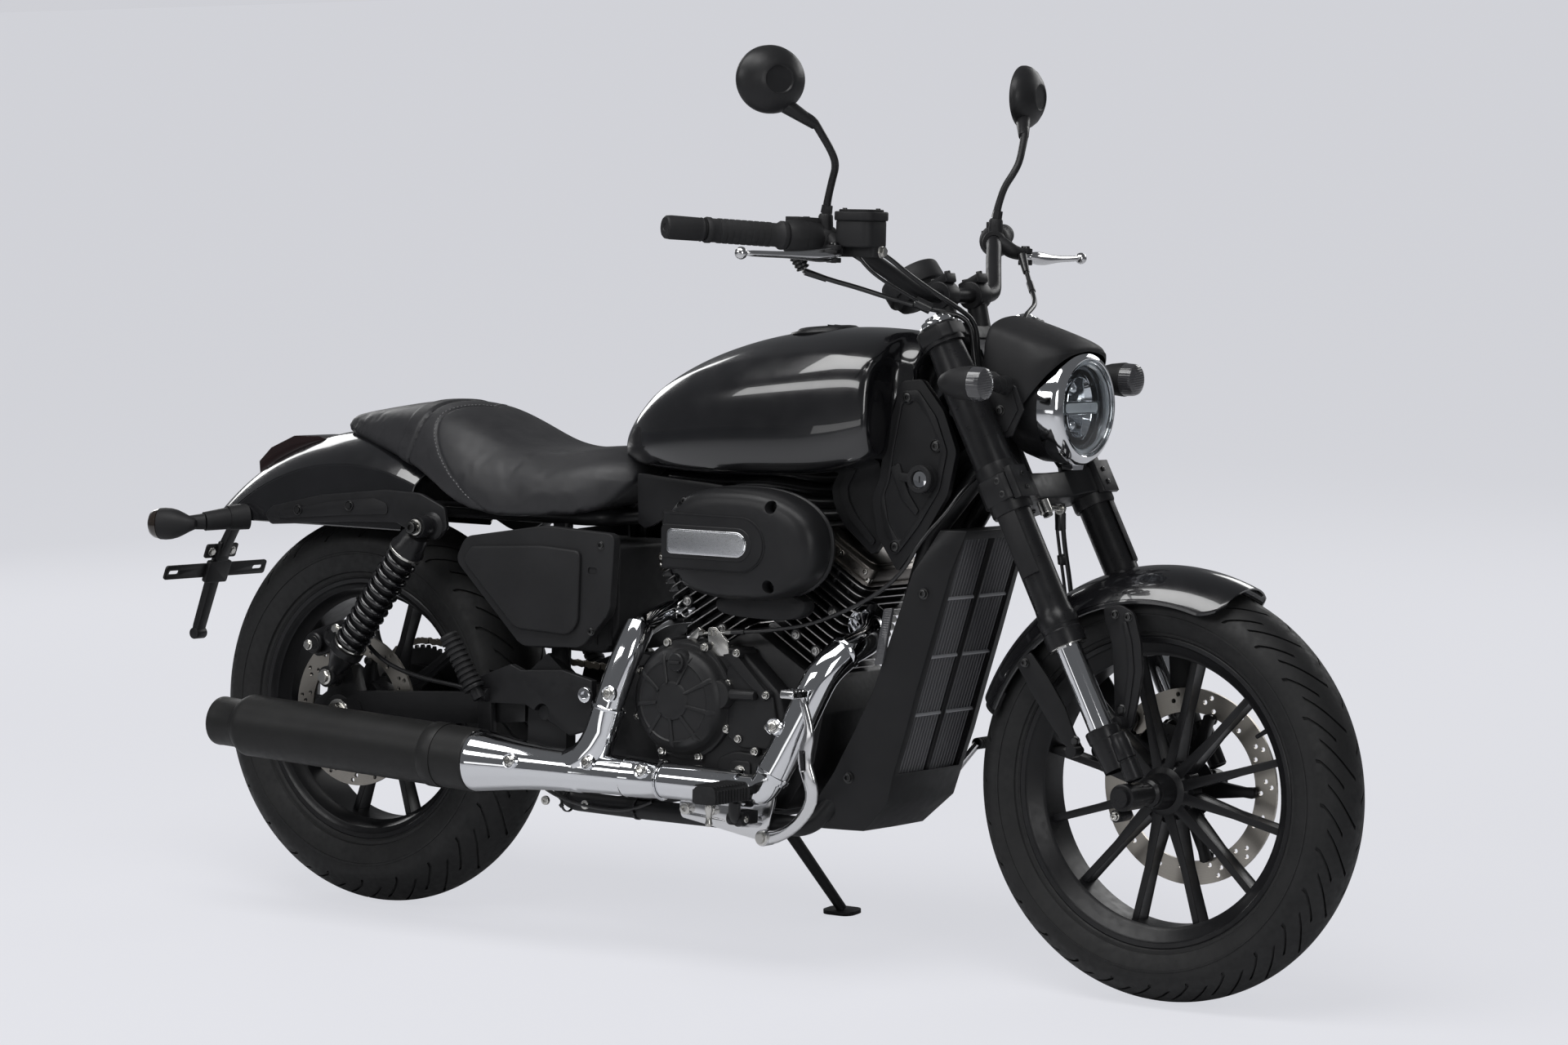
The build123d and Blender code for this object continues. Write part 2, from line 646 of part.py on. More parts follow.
with BuildPart() as engine_covers:
    for side, centre, reach, outline in (
            (-1, clutch, 71, ((-98, 318), (-20, 452), (60, 462), (132, 400), (150, 336), (112, 262), (-20, 258))),
            (1, crank, 62, ((-20, 290), (-20, 430), (60, 462), (140, 420), (150, 330), (100, 268)))):
        plate(outline, side * case_half, side * (case_half + 38))
        for start, end, radius in ((case_half, case_half + 42, clutch_r + 6),
                                   (case_half + 42, case_half + reach - 6, clutch_r),
                                   (case_half + reach - 6, case_half + reach, clutch_r - 8)):
            with BuildSketch(side_plane(side * start)):
                with Locations(centre):
                    Circle(radius)
            extrude(amount=side * (start - end))
    plate(((-205, 300), (-205, 395), (-120, 395), (-60, 380), (-60, 300), (-120, 290)), case_half + 6,
          case_half + 34)
    plate(((-104, 392), (-60, 380), (-60, 300), (-104, 292)), case_half, case_half + 8)


def make_cylinder(side):
    pitch = (head_end - barrel_start) / fin_count
    with BuildPart() as cylinder:
        with BuildSketch(bore_plane(side, barrel_start)):
            RectangleRounded(92, 112, 24)
        extrude(amount=barrel_end - barrel_start)
        with BuildSketch(bore_plane(side, barrel_end)):
            RectangleRounded(104, 128, 14)
        extrude(amount=head_end - barrel_end)
        for index in range(fin_count):
            with BuildSketch(bore_plane(side, barrel_start + pitch * (index + 0.5))):
                RectangleRounded(fin_long, fin_wide, 18)
            extrude(amount=fin_t)
        with BuildSketch(bore_plane(side, head_end)):
            RectangleRounded(fin_long - 8, fin_wide - 8, 12)
        extrude(amount=cover_end - head_end)
        top = cylinder.faces().sort_by(Axis(bore_plane(side, 0).origin, bore_plane(side, 0).z_dir))[-1]
        chamfer(top.edges(), 9)
    return cylinder


front_cylinder = make_cylinder(1)
rear_cylinder = make_cylinder(-1)

intake = (crank[0], 600)
cleaner = (87, 618)
cleaner_long = 282.0
cleaner_high = 168.0
cleaner_in = -112.0
cleaner_out = -190.0
with BuildPart() as intake_body:
    rod((intake[0], cleaner_in + seat_gap, intake[1]), (intake[0], 52, intake[1]), 27)
    rod((intake[0] - 120, 0, intake[1]), (intake[0] + 120, 0, intake[1]), 19)
    add(front_cylinder.part, mode=Mode.SUBTRACT)
    add(rear_cylinder.part, mode=Mode.SUBTRACT)
    for plane_x, turn in ((intake[0] + 88, 1), (intake[0] - 88, -1)):
        with BuildSketch(Plane(origin=(plane_x, 0, intake[1]), x_dir=(0, 1, 0), z_dir=(turn, 0, 0))):
            Rectangle(200, 200)
        extrude(amount=80, mode=Mode.SUBTRACT)

with BuildPart() as air_cleaner:
    with BuildSketch(side_plane(cleaner_in)):
        with Locations(cleaner):
            RectangleRounded(cleaner_long - 24, cleaner_high - 24, 70)
    extrude(amount=14)
    with BuildSketch(side_plane(cleaner_in - 14)):
        with Locations(cleaner):
            RectangleRounded(cleaner_long, cleaner_high, 80)
    extrude(amount=cleaner_in - 14 - cleaner_out)
    chamfer(air_cleaner.faces().sort_by(Axis.Y)[0].edges(), 14)
    with BuildSketch(side_plane(cleaner_out + 4)):
        with Locations((cleaner[0] - 20, cleaner[1])):
            RectangleRounded(200, 84, 38)
    extrude(amount=10)

# ================================================================ frame
seat_rail_z = 636.0
seat_rail_y = 90.0
seat_rail_r = 12.0
with BuildPart() as frame_spine:
    with BuildSketch(fork_plane(lower_clamp_top + headstock_gap, ahead=-stem_setback)):
        Circle(headstock_r)
    extrude(amount=upper_clamp_bottom - lower_clamp_top - 2 * headstock_gap)
    tube([(410, 0, 770), (300, 0, spine_z), (-215, 0, spine_z), (-250, 0, 660)], 2 * spine_r, bend=60)
    tube([(-550, -seat_rail_y, seat_rail_z), (-232, -seat_rail_y, seat_rail_z), (-232, seat_rail_y, seat_rail_z),
          (-550, seat_rail_y, seat_rail_z)], 2 * seat_rail_r, bend=36)
    for side in (-1, 1):
        rod((-530, side * (seat_rail_y + 4), seat_rail_z), (-530, side * fender_half, seat_rail_z), 9)
    for x in (-120, 130):
        rod((x, 0, spine_z), (x, 0, tank_base - seat_gap), 16)
    with BuildSketch(fork_plane(lower_clamp_bottom, ahead=-stem_setback)):
        Circle(stem_r + pin_gap)
    extrude(amount=upper_clamp_top - lower_clamp_bottom, mode=Mode.SUBTRACT)

down_top = (415, 28, 742)
down_mid = (340, 50, 640)
down_low = (245, 50, 320)
rail_front = (185, rail_y, rail_z)
rail_mid = (-110, rail_y, rail_z)
rail_back = (-290, 104, rail_z)
upright_top = (-300, 92, 626)
front_cut = 176.0
back_cut = -236.0
with BuildPart() as frame_loops:
    for side in (-1, 1):
        tube([(x, side * y, z) for x, y, z in (down_top, down_mid, down_low, rail_front, rail_mid, rail_back,
                                               upright_top)], 2 * rail_r, bend=44)
    add(frame_spine.part, mode=Mode.SUBTRACT)

with BuildPart() as frame_downtubes:
    add(frame_loops.part)
    split(bisect_by=Plane.YZ.offset(front_cut), keep=Keep.TOP)
    rod((258, -50, 365), (258, 50, 365), 11)

with BuildPart() as frame_lower_rails:
    add(frame_loops.part)
    split(bisect_by=Plane.YZ.offset(front_cut), keep=Keep.BOTTOM)
    split(bisect_by=Plane.YZ.offset(back_cut), keep=Keep.TOP)
    for x in (-200, 20, 140):
        rod((x, -108, rail_z - 2), (x, 108, rail_z - 2), 11)
    lug = stand_pivot - stand_axis.normalized() * 14
    rod((stand_pivot.X, 110, rail_z), lug + stand_axis.normalized() * 2, 11)
    rod(lug, stand_pivot - stand_axis.normalized() * pin_gap, 16)
    with BuildSketch(Plane(origin=lug, z_dir=stand_axis)):
        Circle(6 + pin_gap)
    extrude(amount=30, mode=Mode.SUBTRACT)

upright_in = 102.0
upright_out = 125.0
with BuildPart() as frame_uprights:
    add(frame_loops.part)
    split(bisect_by=Plane.YZ.offset(back_cut), keep=Keep.BOTTOM)
    for side in (-1, 1):
        plate(((-262, 270), (-262, 400), (-300, 430), (-336, 400), (-336, 290), (-310, 262)),
              side * upright_in, side * upright_out)
    rod((-300, -104, 500), (-300, 104, 500), 11)
    rod((pivot[0], -upright_in, pivot[1]), (pivot[0], upright_in, pivot[1]), 24, mode=Mode.SUBTRACT)
    plate(((-300, 318), (-300, 370), (-400, 370), (-400, 318)), upright_in, -upright_in, mode=Mode.SUBTRACT)
    plate(((-236, 268), (-236, 424), (-345, 424), (-345, 268)), upright_in - seat_gap, sprocket_y - 12,
          mode=Mode.SUBTRACT)
    with BuildSketch(side_plane(upright_out + 10)):
        with Locations(pivot):
            Circle(pivot_r + pin_gap)
    extrude(amount=2 * upright_out + 20, mode=Mode.SUBTRACT)

arm_in = 98.0
arm_out = 121.0
shock_top = Vector(-535, 146, 610)
shock_foot = Vector(-713, 146, 367)
with BuildPart() as swingarm:
    rod((pivot[0], -upright_in + seat_gap, pivot[1]), (pivot[0], upright_in - seat_gap, pivot[1]), 22)
    rod((pivot[0], -upright_out - 6, pivot[1]), (pivot[0], upright_out, pivot[1]), pivot_r)
    plate(((-300, 326), (-300, 362), (-345, 364), (-388, 362), (-388, 322), (-345, 322)), arm_in, -arm_in)
    for side in (-1, 1):
        plate(((-345, 322), (-345, 366), (-680, 344), (-694, 384), (-732, 384), (-742, 340), (-768, 322),
               (-766, 298), (-730, 284), (-660, 292)), side * arm_in, side * arm_out)
        rod((shock_foot.X, side * arm_out, shock_foot.Z), (shock_foot.X, side * 166, shock_foot.Z), 7)
    rod((rear.x, -138, rear.radius), (rear.x, 138, rear.radius), axle_r)
    for y_inner, y_outer in ((sprocket_y + sprocket_t / 2 + 1, arm_in), (rear.disc_y - 4, -arm_in)):
        with BuildSketch(wheel_plane(rear, y_inner)):
            Circle(15)
        extrude(amount=y_inner - y_outer)
    with BuildSketch(wheel_plane(rear, 200)):
        Circle(axle_bore_r)
    extrude(amount=400, mode=Mode.SUBTRACT)

# ================================================================ rear fender and what it carries
with BuildPart() as fender_bulk:
    fender_ring(rear, fender_r + seat_gap, fender_half + seat_gap, 387, 0, 24, -48, leg_r=200)

with BuildPart() as rear_fender:
    fender_ring(rear, fender_r, fender_half, 387, fender_t, 21, -48, leg_r=288)
    split(bisect_by=Plane.XY.offset(fender_low), keep=Keep.TOP)

strut_in = fender_half + seat_gap
with BuildPart() as fender_struts:
    for side in (-1, 1):
        plate(((-878, 612), (-862, 626), (-760, 648), (-630, 662), (-560, 660), (-510, 640), (-505, 606),
               (-540, 588), (-572, 596), (-606, 612), (-700, 608), (-866, 596)),
              side * strut_in, side * (strut_in + strut_t))
        rod((shock_top.X, side * strut_in, shock_top.Z), (shock_top.X, side * 168, shock_top.Z), 7)

spring_start = 34.0
spring_end = 262.0
coil_count = 14
with BuildPart() as rear_shocks:
    for side in (-1, 1):
        top, foot = (Vector(p.X, side * p.Y, p.Z) for p in (shock_top, shock_foot))
        run = (top - foot).normalized()
        for eye in (top, foot):
            rod((eye.X, side * (strut_in + strut_t + seat_gap), eye.Z), (eye.X, side * 163, eye.Z), 16)
        rod(foot + run * 8, foot + run * 120, 12)
        rod(foot + run * 120, top - run * 8, 17)
        rod(foot + run * spring_start, foot + run * spring_end, 20)
        pitch = (spring_end - spring_start) / coil_count
        for index in range(coil_count):
            start = foot + run * (spring_start + pitch * (index + 0.2))
            rod(start, start + run * pitch * 0.55, 26)
        for pin in (top, foot):
            with BuildSketch(side_plane(side * 200)):
                with Locations((pin.X, pin.Z)):
                    Circle(7)
            extrude(amount=side * 100, mode=Mode.SUBTRACT)

tail_half = 48.0
PolarPoint = namedtuple("PolarPoint", "angle out")     # about the rear axle; out from the fender's crown
tail_outline = (PolarPoint(122.11, 8.6), PolarPoint(117.91, 16.1), PolarPoint(111.2, 14.8), PolarPoint(104.95, 0),
                PolarPoint(99.53, -20.2), PolarPoint(100.36, -53.7), PolarPoint(125.28, -35.7))
bracket_outline = (PolarPoint(135.14, -11.8), PolarPoint(141.09, -16.5), PolarPoint(151.2, -20.6),
                   PolarPoint(168.08, -23.5), PolarPoint(168.04, -15.3), PolarPoint(151.38, -10),
                   PolarPoint(141.13, -6.5), PolarPoint(135.87, 2.3))
board_at = PolarPoint(152.43, -18.7)
fender_end = rear.x - sqrt(fender_r ** 2 - (fender_low - rear.radius) ** 2)


def about_fender(point):
    reach = fender_r + point.out
    return (rear.x + reach * cos(radians(point.angle)), rear.radius + reach * sin(radians(point.angle)))


with BuildPart() as tail_lamp:
    plate([about_fender(p) for p in tail_outline], tail_half, -tail_half)
    add(fender_bulk.part, mode=Mode.SUBTRACT)

signal_out = 200.0
with BuildPart() as rear_signals:
    for side in (-1, 1):
        stem = Vector(fender_end + 113, side * (fender_half + seat_gap), fender_low + 6)
        neck = Vector(fender_end + 85, side * 166, fender_low - 1)
        bullet(fender_end + 14, side * signal_out, fender_low - 5, -1)
        rod(stem, neck, 19, 15)
        rod(neck + (neck - stem).normalized() * -6, (fender_end + 59, side * signal_out, fender_low - 4), 9)
    add(rear_fender.part, mode=Mode.SUBTRACT)

plate_lean = 20.0
with BuildPart() as plate_bracket:
    plate([about_fender(p) for p in bracket_outline], 11, -11)
    board = Plane(origin=(about_fender(board_at)[0], 0, about_fender(board_at)[1]), x_dir=(0, 1, 0),
                  z_dir=(-cos(radians(plate_lean)), 0, sin(radians(plate_lean))))
    for up, wide, high in ((0, 240, 24), (44, 70, 26)):
        with BuildSketch(board):
            with Locations((0, up)):
                Rectangle(wide, high)
                with Locations((wide / 2 - 20, up), (-wide / 2 + 20, up)):
                    SlotOverall(24, 7, mode=Mode.SUBTRACT) if wide > 100 else Circle(3, mode=Mode.SUBTRACT)
        extrude(amount=4)
    add(rear_fender.part, mode=Mode.SUBTRACT)

rear_caliper_at = (-758, 421)
with BuildPart() as rear_caliper:
    with BuildSketch(side_plane(rear.disc_y + 22)):
        with Locations(Location((*rear_caliper_at, 0), 20)):
            RectangleRounded(82, 42, 12)
    extrude(amount=40)
    with BuildSketch(wheel_plane(rear, rear.disc_y + disc_t / 2 + rub_gap)):
        Circle(rear.disc_r + rub_gap)
    extrude(amount=disc_t + 2 * rub_gap, mode=Mode.SUBTRACT)
    plate(((-722, 352), (-700, 376), (-735, 425), (-780, 415), (-750, 390)), -91, -97.7)

chain_slack = 0.8
chain_inner = sprocket_r + chain_slack
chain_high = 11.0
chain_wide = 12.0
front_chain_r = front_sprocket_r + chain_slack
with BuildPart() as chain:
    for grow, mode in ((chain_high, Mode.ADD), (0, Mode.SUBTRACT)):
        with BuildSketch(side_plane(sprocket_y + chain_wide / 2)):
            big, small = chain_inner + grow, front_chain_r + grow
            with Locations((rear.x, rear.radius)):
                Circle(big)
            with Locations(sprocket_at):
                Circle(small)
            span = Vector(sprocket_at[0] - rear.x, sprocket_at[1] - rear.radius)
            turn = degrees(asin((big - small) / span.length))
            base = degrees(atan2(span.Y, span.X))
            corners = []
            for centre, radius, sign in (((rear.x, rear.radius), big, 1), (sprocket_at, small, 1),
                                         (sprocket_at, small, -1), ((rear.x, rear.radius), big, -1)):
                angle = radians(base + sign * (90 - turn))
                corners.append((centre[0] + radius * cos(angle), centre[1] + radius * sin(angle)))
            Polygon(*corners, align=None)
        extrude(amount=chain_wide, mode=mode)

# ================================================================ body
TankStation = namedtuple("TankStation", "x base_half half belly shoulder_half shoulder top base")
tank_stations = (
    TankStation(-226, 26, 34, 729, 26, 736, 741, tank_base + 3),
    TankStation(-165, 82, 98, 752, 76, 796, 822, tank_base),
    TankStation(-66, 118, 138, 778, 106, 852, 887, tank_base),
    TankStation(45, 124, 146, 790, 112, 882, 921, tank_base),
    TankStation(150, 118, 140, 796, 104, 894, 936, tank_base),
    TankStation(232, 98, 118, 800, 88, 892, 934, tank_base + 2),
    TankStation(260, 80, 104, 812, 80, 886, 930, 758),
)
with BuildPart() as fuel_tank:
    for s in tank_stations:
        with BuildSketch(Plane(origin=(s.x, 0, 0), x_dir=(0, 1, 0), z_dir=(1, 0, 0))):
            with BuildLine():
                Line((-s.base_half, s.base), (s.base_half, s.base))
                ThreePointArc((s.base_half, s.base), (s.half, s.belly), (s.shoulder_half, s.shoulder))
                ThreePointArc((s.shoulder_half, s.shoulder), (0, s.top), (-s.shoulder_half, s.shoulder))
                ThreePointArc((-s.shoulder_half, s.shoulder), (-s.half, s.belly), (-s.base_half, s.base))
            make_face()
    loft(ruled=True)
    with BuildSketch(Plane.XY.offset(900)):
        with Locations((140, 0)):
            Circle(36)
    extrude(amount=44)
    add(frame_spine.part, mode=Mode.SUBTRACT)

SeatStation = namedtuple("SeatStation", "x half top side base")
seat_stations = (
    SeatStation(-166, 96, 708, 690, 652),
    SeatStation(-236, 116, 713, 690, 649),
    SeatStation(-266, 126, 736, 690, 634),
    SeatStation(-320, 142, 730, 682, 630),
    SeatStation(-410, 150, 746, 690, 632),
    SeatStation(-496, 140, 780, 716, 654),
    SeatStation(-552, 128, 796, 738, 690),
    SeatStation(-650, 112, 789, 750, 712),
    SeatStation(-790, 70, 752, 742, 728),
)
with BuildPart() as seat:
    for s in seat_stations:
        with BuildSketch(Plane(origin=(s.x, 0, 0), x_dir=(0, 1, 0), z_dir=(1, 0, 0))):
            with BuildLine():
                ThreePointArc((-s.half, s.side), (0, s.top), (s.half, s.side))
                Polyline((s.half, s.side), (s.half - 4, s.base), (-s.half + 4, s.base), (-s.half, s.side))
            make_face()
    loft(ruled=True)
    with BuildSketch(Plane.XY.offset(600)):
        with Locations((-350, 0)):
            Rectangle(420, 2 * (seat_rail_y + seat_rail_r + seat_gap))
    extrude(amount=seat_rail_z + seat_rail_r + seat_gap - 600, mode=Mode.SUBTRACT)
    add(fender_bulk.part, mode=Mode.SUBTRACT)
    tube([(300, 0, spine_z), (-215, 0, spine_z), (-250, 0, 660)], 2 * (spine_r + seat_gap), bend=60,
         mode=Mode.SUBTRACT)

with BuildPart() as side_covers:
    for side in (-1, 1):
        plate(((-452, 602), (-473, 562), (-340, 438), (-222, 443), (-170, 500), (-163, 622), (-300, 626)),
              side * 127, side * 141)
        plate(((-440, 592), (-455, 563), (-350, 470), (-244, 466), (-229, 592)), side * 141, side * 148)
        for x, z in ((-385, 560), (-220, 480)):
            rod((x, side * 96.3, z), (x, side * 128, z), 7)

with BuildPart() as battery_case:
    plate(((-396, 600), (-396, 470), (-370, 430), (-215, 430), (-188, 470), (-188, 600)), 96, -96)
    add(frame_uprights.part, mode=Mode.SUBTRACT)

panel_in = 68.0
panel_out = 77.0
with BuildPart() as headstock_panels:
    for side in (-1, 1):
        plate(((298, 862), (336, 866), (374, 820), (398, 763), (384, 700), (345, 640), (300, 583),
               (262, 636), (250, 690), (262, 716), (270, 770)), side * panel_in, side * panel_out)
        rod((384, side * 20, 820), (384, side * panel_in, 820), 7)
        rod((326, side * 10, 698), (326, side * panel_in, 698), 7)
    add(frame_spine.part, mode=Mode.SUBTRACT)

# ================================================================ radiator and its shroud
grille_low = (303, 283)
grille_slope = 0.307


def grille_x(z):
    return grille_low[0] + (z - grille_low[1]) * grille_slope


ShroudStation = namedtuple("ShroudStation", "z front_x front_half rear_x rear_half")
shroud_stations = (
    ShroudStation(205, 252, 78, 160, 96),
    ShroudStation(250, 300, 88, 190, 112),
    ShroudStation(290, 311, 92, 222, 118),
    ShroudStation(416, 350, 94, 293, 124),
    ShroudStation(590, 403, 92, 352, 116),
    ShroudStation(652, 422, 80, 380, 90),
)
shroud_wall = 5.0
window_half = 80.0
window_low = 294.0
window_high = 638.0
with BuildPart() as radiator_shroud:
    for inset, mode in ((0, Mode.ADD), (shroud_wall, Mode.SUBTRACT)):
        for s in shroud_stations:
            front_half, rear_half = s.front_half - inset, s.rear_half - inset
            z = s.z + (inset if s is shroud_stations[0] else 0) - (inset if s is shroud_stations[-1] else 0)
            with BuildSketch(Plane.XY.offset(z)):
                Polygon((s.front_x - inset, -front_half), (s.front_x - inset, front_half),
                        (s.rear_x - 6 * inset, rear_half), (s.rear_x - 6 * inset, -rear_half), align=None)
        loft(ruled=True, mode=mode)
    window_middle = (window_low + window_high) / 2
    with BuildSketch(Plane(origin=(200, 0, window_middle), x_dir=(0, 1, 0), z_dir=(1, 0, 0))):
        Rectangle(2 * window_half, window_high - window_low)
    extrude(amount=300, mode=Mode.SUBTRACT)
    for index in range(-8, 9):
        y = index * window_half / 9 * 0.98
        wide = 5 if index == 0 else 1.3
        plate(((grille_x(window_low - 3) - 8, window_low - 3), (grille_x(window_low - 3) + 3, window_low - 3),
               (grille_x(window_high + 3) + 3, window_high + 3), (grille_x(window_high + 3) - 8, window_high + 3)),
              y + wide, y - wide)
    for z in (380, 466, 552):
        rod((grille_x(z) - 2, -window_half - 4, z), (grille_x(z) - 2, window_half + 4, z), 3)
    for side in (-1, 1):
        for start, end in (((318, 50, 566), (362, 104, 566)), ((240, 50, 300), (252, 110, 300))):
            rod((start[0], side * start[1], start[2]), (end[0], side * end[1], end[2]), 6)
    add(frame_downtubes.part, mode=Mode.SUBTRACT)

with BuildPart() as radiator:
    plate(((grille_x(300) - 46, 300), (grille_x(300) - 16, 300), (grille_x(628) - 16, 628),
           (grille_x(628) - 46, 628)), 74, -74)
    for z in (330, 596):
        for side in (-1, 1):
            plate(((grille_x(z) - 74, z), (grille_x(z) - 44, z), (grille_x(z) - 44, z + 16),
                   (grille_x(z) - 74, z + 16)), side * 42, side * 58)
    add(frame_downtubes.part, mode=Mode.SUBTRACT)
    add(radiator_shroud.part, mode=Mode.SUBTRACT)

# ================================================================ exhaust
pipe_y = -178.0
pipe_z = 264.0
collector_x = -100.0
cone_start = Vector(-194, pipe_y - 6, pipe_z + 1)
muffler_start = Vector(-378, muffler_y, 266)
muffler_end = Vector(-838, muffler_y, 284)
muffler_run = (muffler_end - muffler_start).normalized()
with BuildPart() as muffler:
    rod(muffler_start, muffler_end, muffler_r)
    rod(muffler_end, muffler_end + muffler_run * 12, muffler_r, 38)
    rod(muffler_end + muffler_run * 12, muffler_end + muffler_run * 62, 38)
    rod(muffler_end + muffler_run * 10, muffler_end + muffler_run * 80, 30, mode=Mode.SUBTRACT)

with BuildPart() as exhaust_headers:
    tube([(216, -30, 506), (250, -62, 488), (222, -140, 455), (150, pipe_y, 270), (118, pipe_y, pipe_z),
          (collector_x, pipe_y, pipe_z)], 2 * pipe_r, bend=24)
    tube([(-90, -30, 505), (-126, -62, 500), (-118, -150, 478), (-146, pipe_y, 345), (-168, pipe_y - 4, 280)],
         38, bend=24)
    rod((collector_x + 8, pipe_y, pipe_z), cone_start, 26, 30)
    cone_run = (muffler_start - cone_start).normalized()
    middle = cone_start + cone_run * 64
    rod(cone_start - cone_run * 8, middle, 31, 33)
    rod(middle, muffler_start + cone_run * 6, 33, muffler_r)
    split(bisect_by=Plane(origin=muffler_start - muffler_run * seat_gap, z_dir=muffler_run), keep=Keep.BOTTOM)
    add(front_cylinder.part, mode=Mode.SUBTRACT)
    add(rear_cylinder.part, mode=Mode.SUBTRACT)

# ================================================================ foot controls
bracket_gap = upright_out + seat_gap
with BuildPart() as passenger_brackets:
    for side in (-1, 1):
        plate(((-205, 396), (-262, 408), (-340, 402), (-362, 410), (-424, 386), (-432, 356), (-400, 348),
               (-330, 350), (-246, 310), (-205, 322)), side * bracket_gap, side * (bracket_gap + 13))
    plate(((-424, 372), (-400, 372), (-396, 300), (-424, 300)), -bracket_gap, -bracket_gap - 13)
    with BuildSketch(side_plane(0)):
        with Locations(pivot):
            Circle(pivot_r + 3)
    extrude(amount=200, both=True, mode=Mode.SUBTRACT)
    add(muffler.part, mode=Mode.SUBTRACT)

rider_plate_in = rail_y + rail_r + seat_gap
rider_plate_out = rider_plate_in + 6
pedal_pivot = (126, 191)
with BuildPart() as foot_controls:
    for side in (-1, 1):
        plate(((-38, 232), (96, 232), (120, 270), (138, 276), (112, 182), (70, 188), (-34, 204)),
              side * rider_plate_in, side * rider_plate_out)
        rod((104, side * rider_plate_out, 212), (112, side * 214, 222), 9)
        rod((pedal_pivot[0], side * (rider_plate_in + 1), pedal_pivot[1]),
            (pedal_pivot[0], side * 158, pedal_pivot[1]), 12)
    tube([(126, -152, 192), (186, -164, 212), (236, -186, 268), (228, -192, 345), (214, -192, 410)], 13, bend=26)
    rod((214, -190, 410), (214, -226, 410), 9)
    tube([(126, 152, 192), (236, 166, 258), (284, 172, 316)], 12, bend=50)
    rod((284, 168, 316), (284, 208, 316), 8)

peg_half_wide = 21.0
with BuildPart() as foot_pegs:
    for side in (-1, 1):
        with BuildSketch(side_plane(side * 210)):
            with Locations((122, 264)):
                RectangleRounded(2 * peg_half_wide, 30, 9)
        extrude(amount=-side * 88)
        rod((112, side * 214, 222), (120, side * 220, 252), 9)
        rod((-412, side * 157, 366), (-462, side * 166, 450), 15)
        rod((-412, side * bracket_gap, 366), (-412, side * 156, 366), 10)
    add(foot_controls.part, mode=Mode.SUBTRACT)
    add(passenger_brackets.part, mode=Mode.SUBTRACT)

# ================================================================ side stand
ground_up = Vector(0, -sin(radians(lean)), cos(radians(lean)))
foot_ground = Vector(stand_foot.X, stand_foot.Y, stand_foot.Y * tan(radians(lean)) - 0.28)
foot_plate_t = 6.0
with BuildPart() as side_stand:
    eye = stand_axis.normalized()
    rod(stand_pivot, stand_pivot + eye * 12, 15)
    rod(stand_pivot - eye * 12, stand_pivot + eye * 4, 6)
    leg_top = stand_pivot + eye * 11
    rod(leg_top, foot_ground + ground_up * foot_plate_t, 10, 8)
    with BuildSketch(Plane(origin=foot_ground, x_dir=(1, 0, 0), z_dir=ground_up)):
        RectangleRounded(56, 44, 16)
    extrude(amount=foot_plate_t)
    with BuildSketch(Plane(origin=foot_ground, x_dir=(1, 0, 0), z_dir=ground_up)):
        Rectangle(400, 400)
    extrude(amount=-40, mode=Mode.SUBTRACT)

# ================================================================ parked on the side stand
pieces = {
    "front_tyre": front_tyre, "front_rim": front_rim, "front_disc": front_disc,
    "rear_tyre": rear_tyre, "rear_rim": rear_rim, "rear_disc": rear_disc,
    "fork_clamps": fork_clamps, "fork_tubes": fork_tubes, "fork_stanchions": fork_stanchions,
    "fork_feet": fork_feet, "front_caliper": front_caliper, "front_fender": front_fender,
    "headlight_shell": headlight_shell, "headlight_bezel": headlight_bezel,
    "headlight_glass": headlight_glass, "headlight_reflector": headlight_reflector, "cowl": cowl,
    "headlight_brackets": headlight_brackets, "front_signals": front_signals, "handlebar": handlebar,
    "bar_controls": bar_controls, "levers": levers, "mirrors": mirrors,
    "instrument": instrument, "crankcase": crankcase,
    "engine_covers": engine_covers, "front_cylinder": front_cylinder, "rear_cylinder": rear_cylinder,
    "intake_body": intake_body, "air_cleaner": air_cleaner, "frame_spine": frame_spine,
    "frame_downtubes": frame_downtubes,
    "frame_lower_rails": frame_lower_rails, "frame_uprights": frame_uprights, "swingarm": swingarm,
    "rear_fender": rear_fender, "fender_struts": fender_struts, "rear_shocks": rear_shocks,
    "tail_lamp": tail_lamp, "rear_signals": rear_signals,
    "plate_bracket": plate_bracket, "rear_caliper": rear_caliper, "chain": chain, "fuel_tank": fuel_tank,
    "seat": seat, "side_covers": side_covers, "battery_case": battery_case,
    "headstock_panels": headstock_panels, "radiator_shroud": radiator_shroud, "radiator": radiator,
    "exhaust_headers": exhaust_headers, "muffler": muffler,
    "passenger_brackets": passenger_brackets, "foot_controls": foot_controls, "foot_pegs": foot_pegs,
    "side_stand": side_stand,
}
leaned = {name: piece.part.rotate(Axis.X, -lean) for name, piece in pieces.items()}
boxes = [shape.bounding_box() for shape in leaned.values()]
low = Vector(min(b.min.X for b in boxes), min(b.min.Y for b in boxes), min(b.min.Z for b in boxes))
high = Vector(max(b.max.X for b in boxes), max(b.max.Y for b in boxes), 0)
parked = Location((-(low.X + high.X) / 2, -(low.Y + high.Y) / 2, -low.Z))

if __name__ == "__main__":
    os.makedirs("parts", exist_ok=True)
    for name, shape in leaned.items():
        standing = shape.moved(parked)
        standing.label = name
        export_step(standing, f"parts/{name}.step")
    print("parked at", parked.position)
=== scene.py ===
import json
import bmesh
import bpy
from math import asin, atan2, copysign, cos, degrees, exp, hypot, pi, radians, sin, sqrt, tau
from mathutils import Matrix, Vector

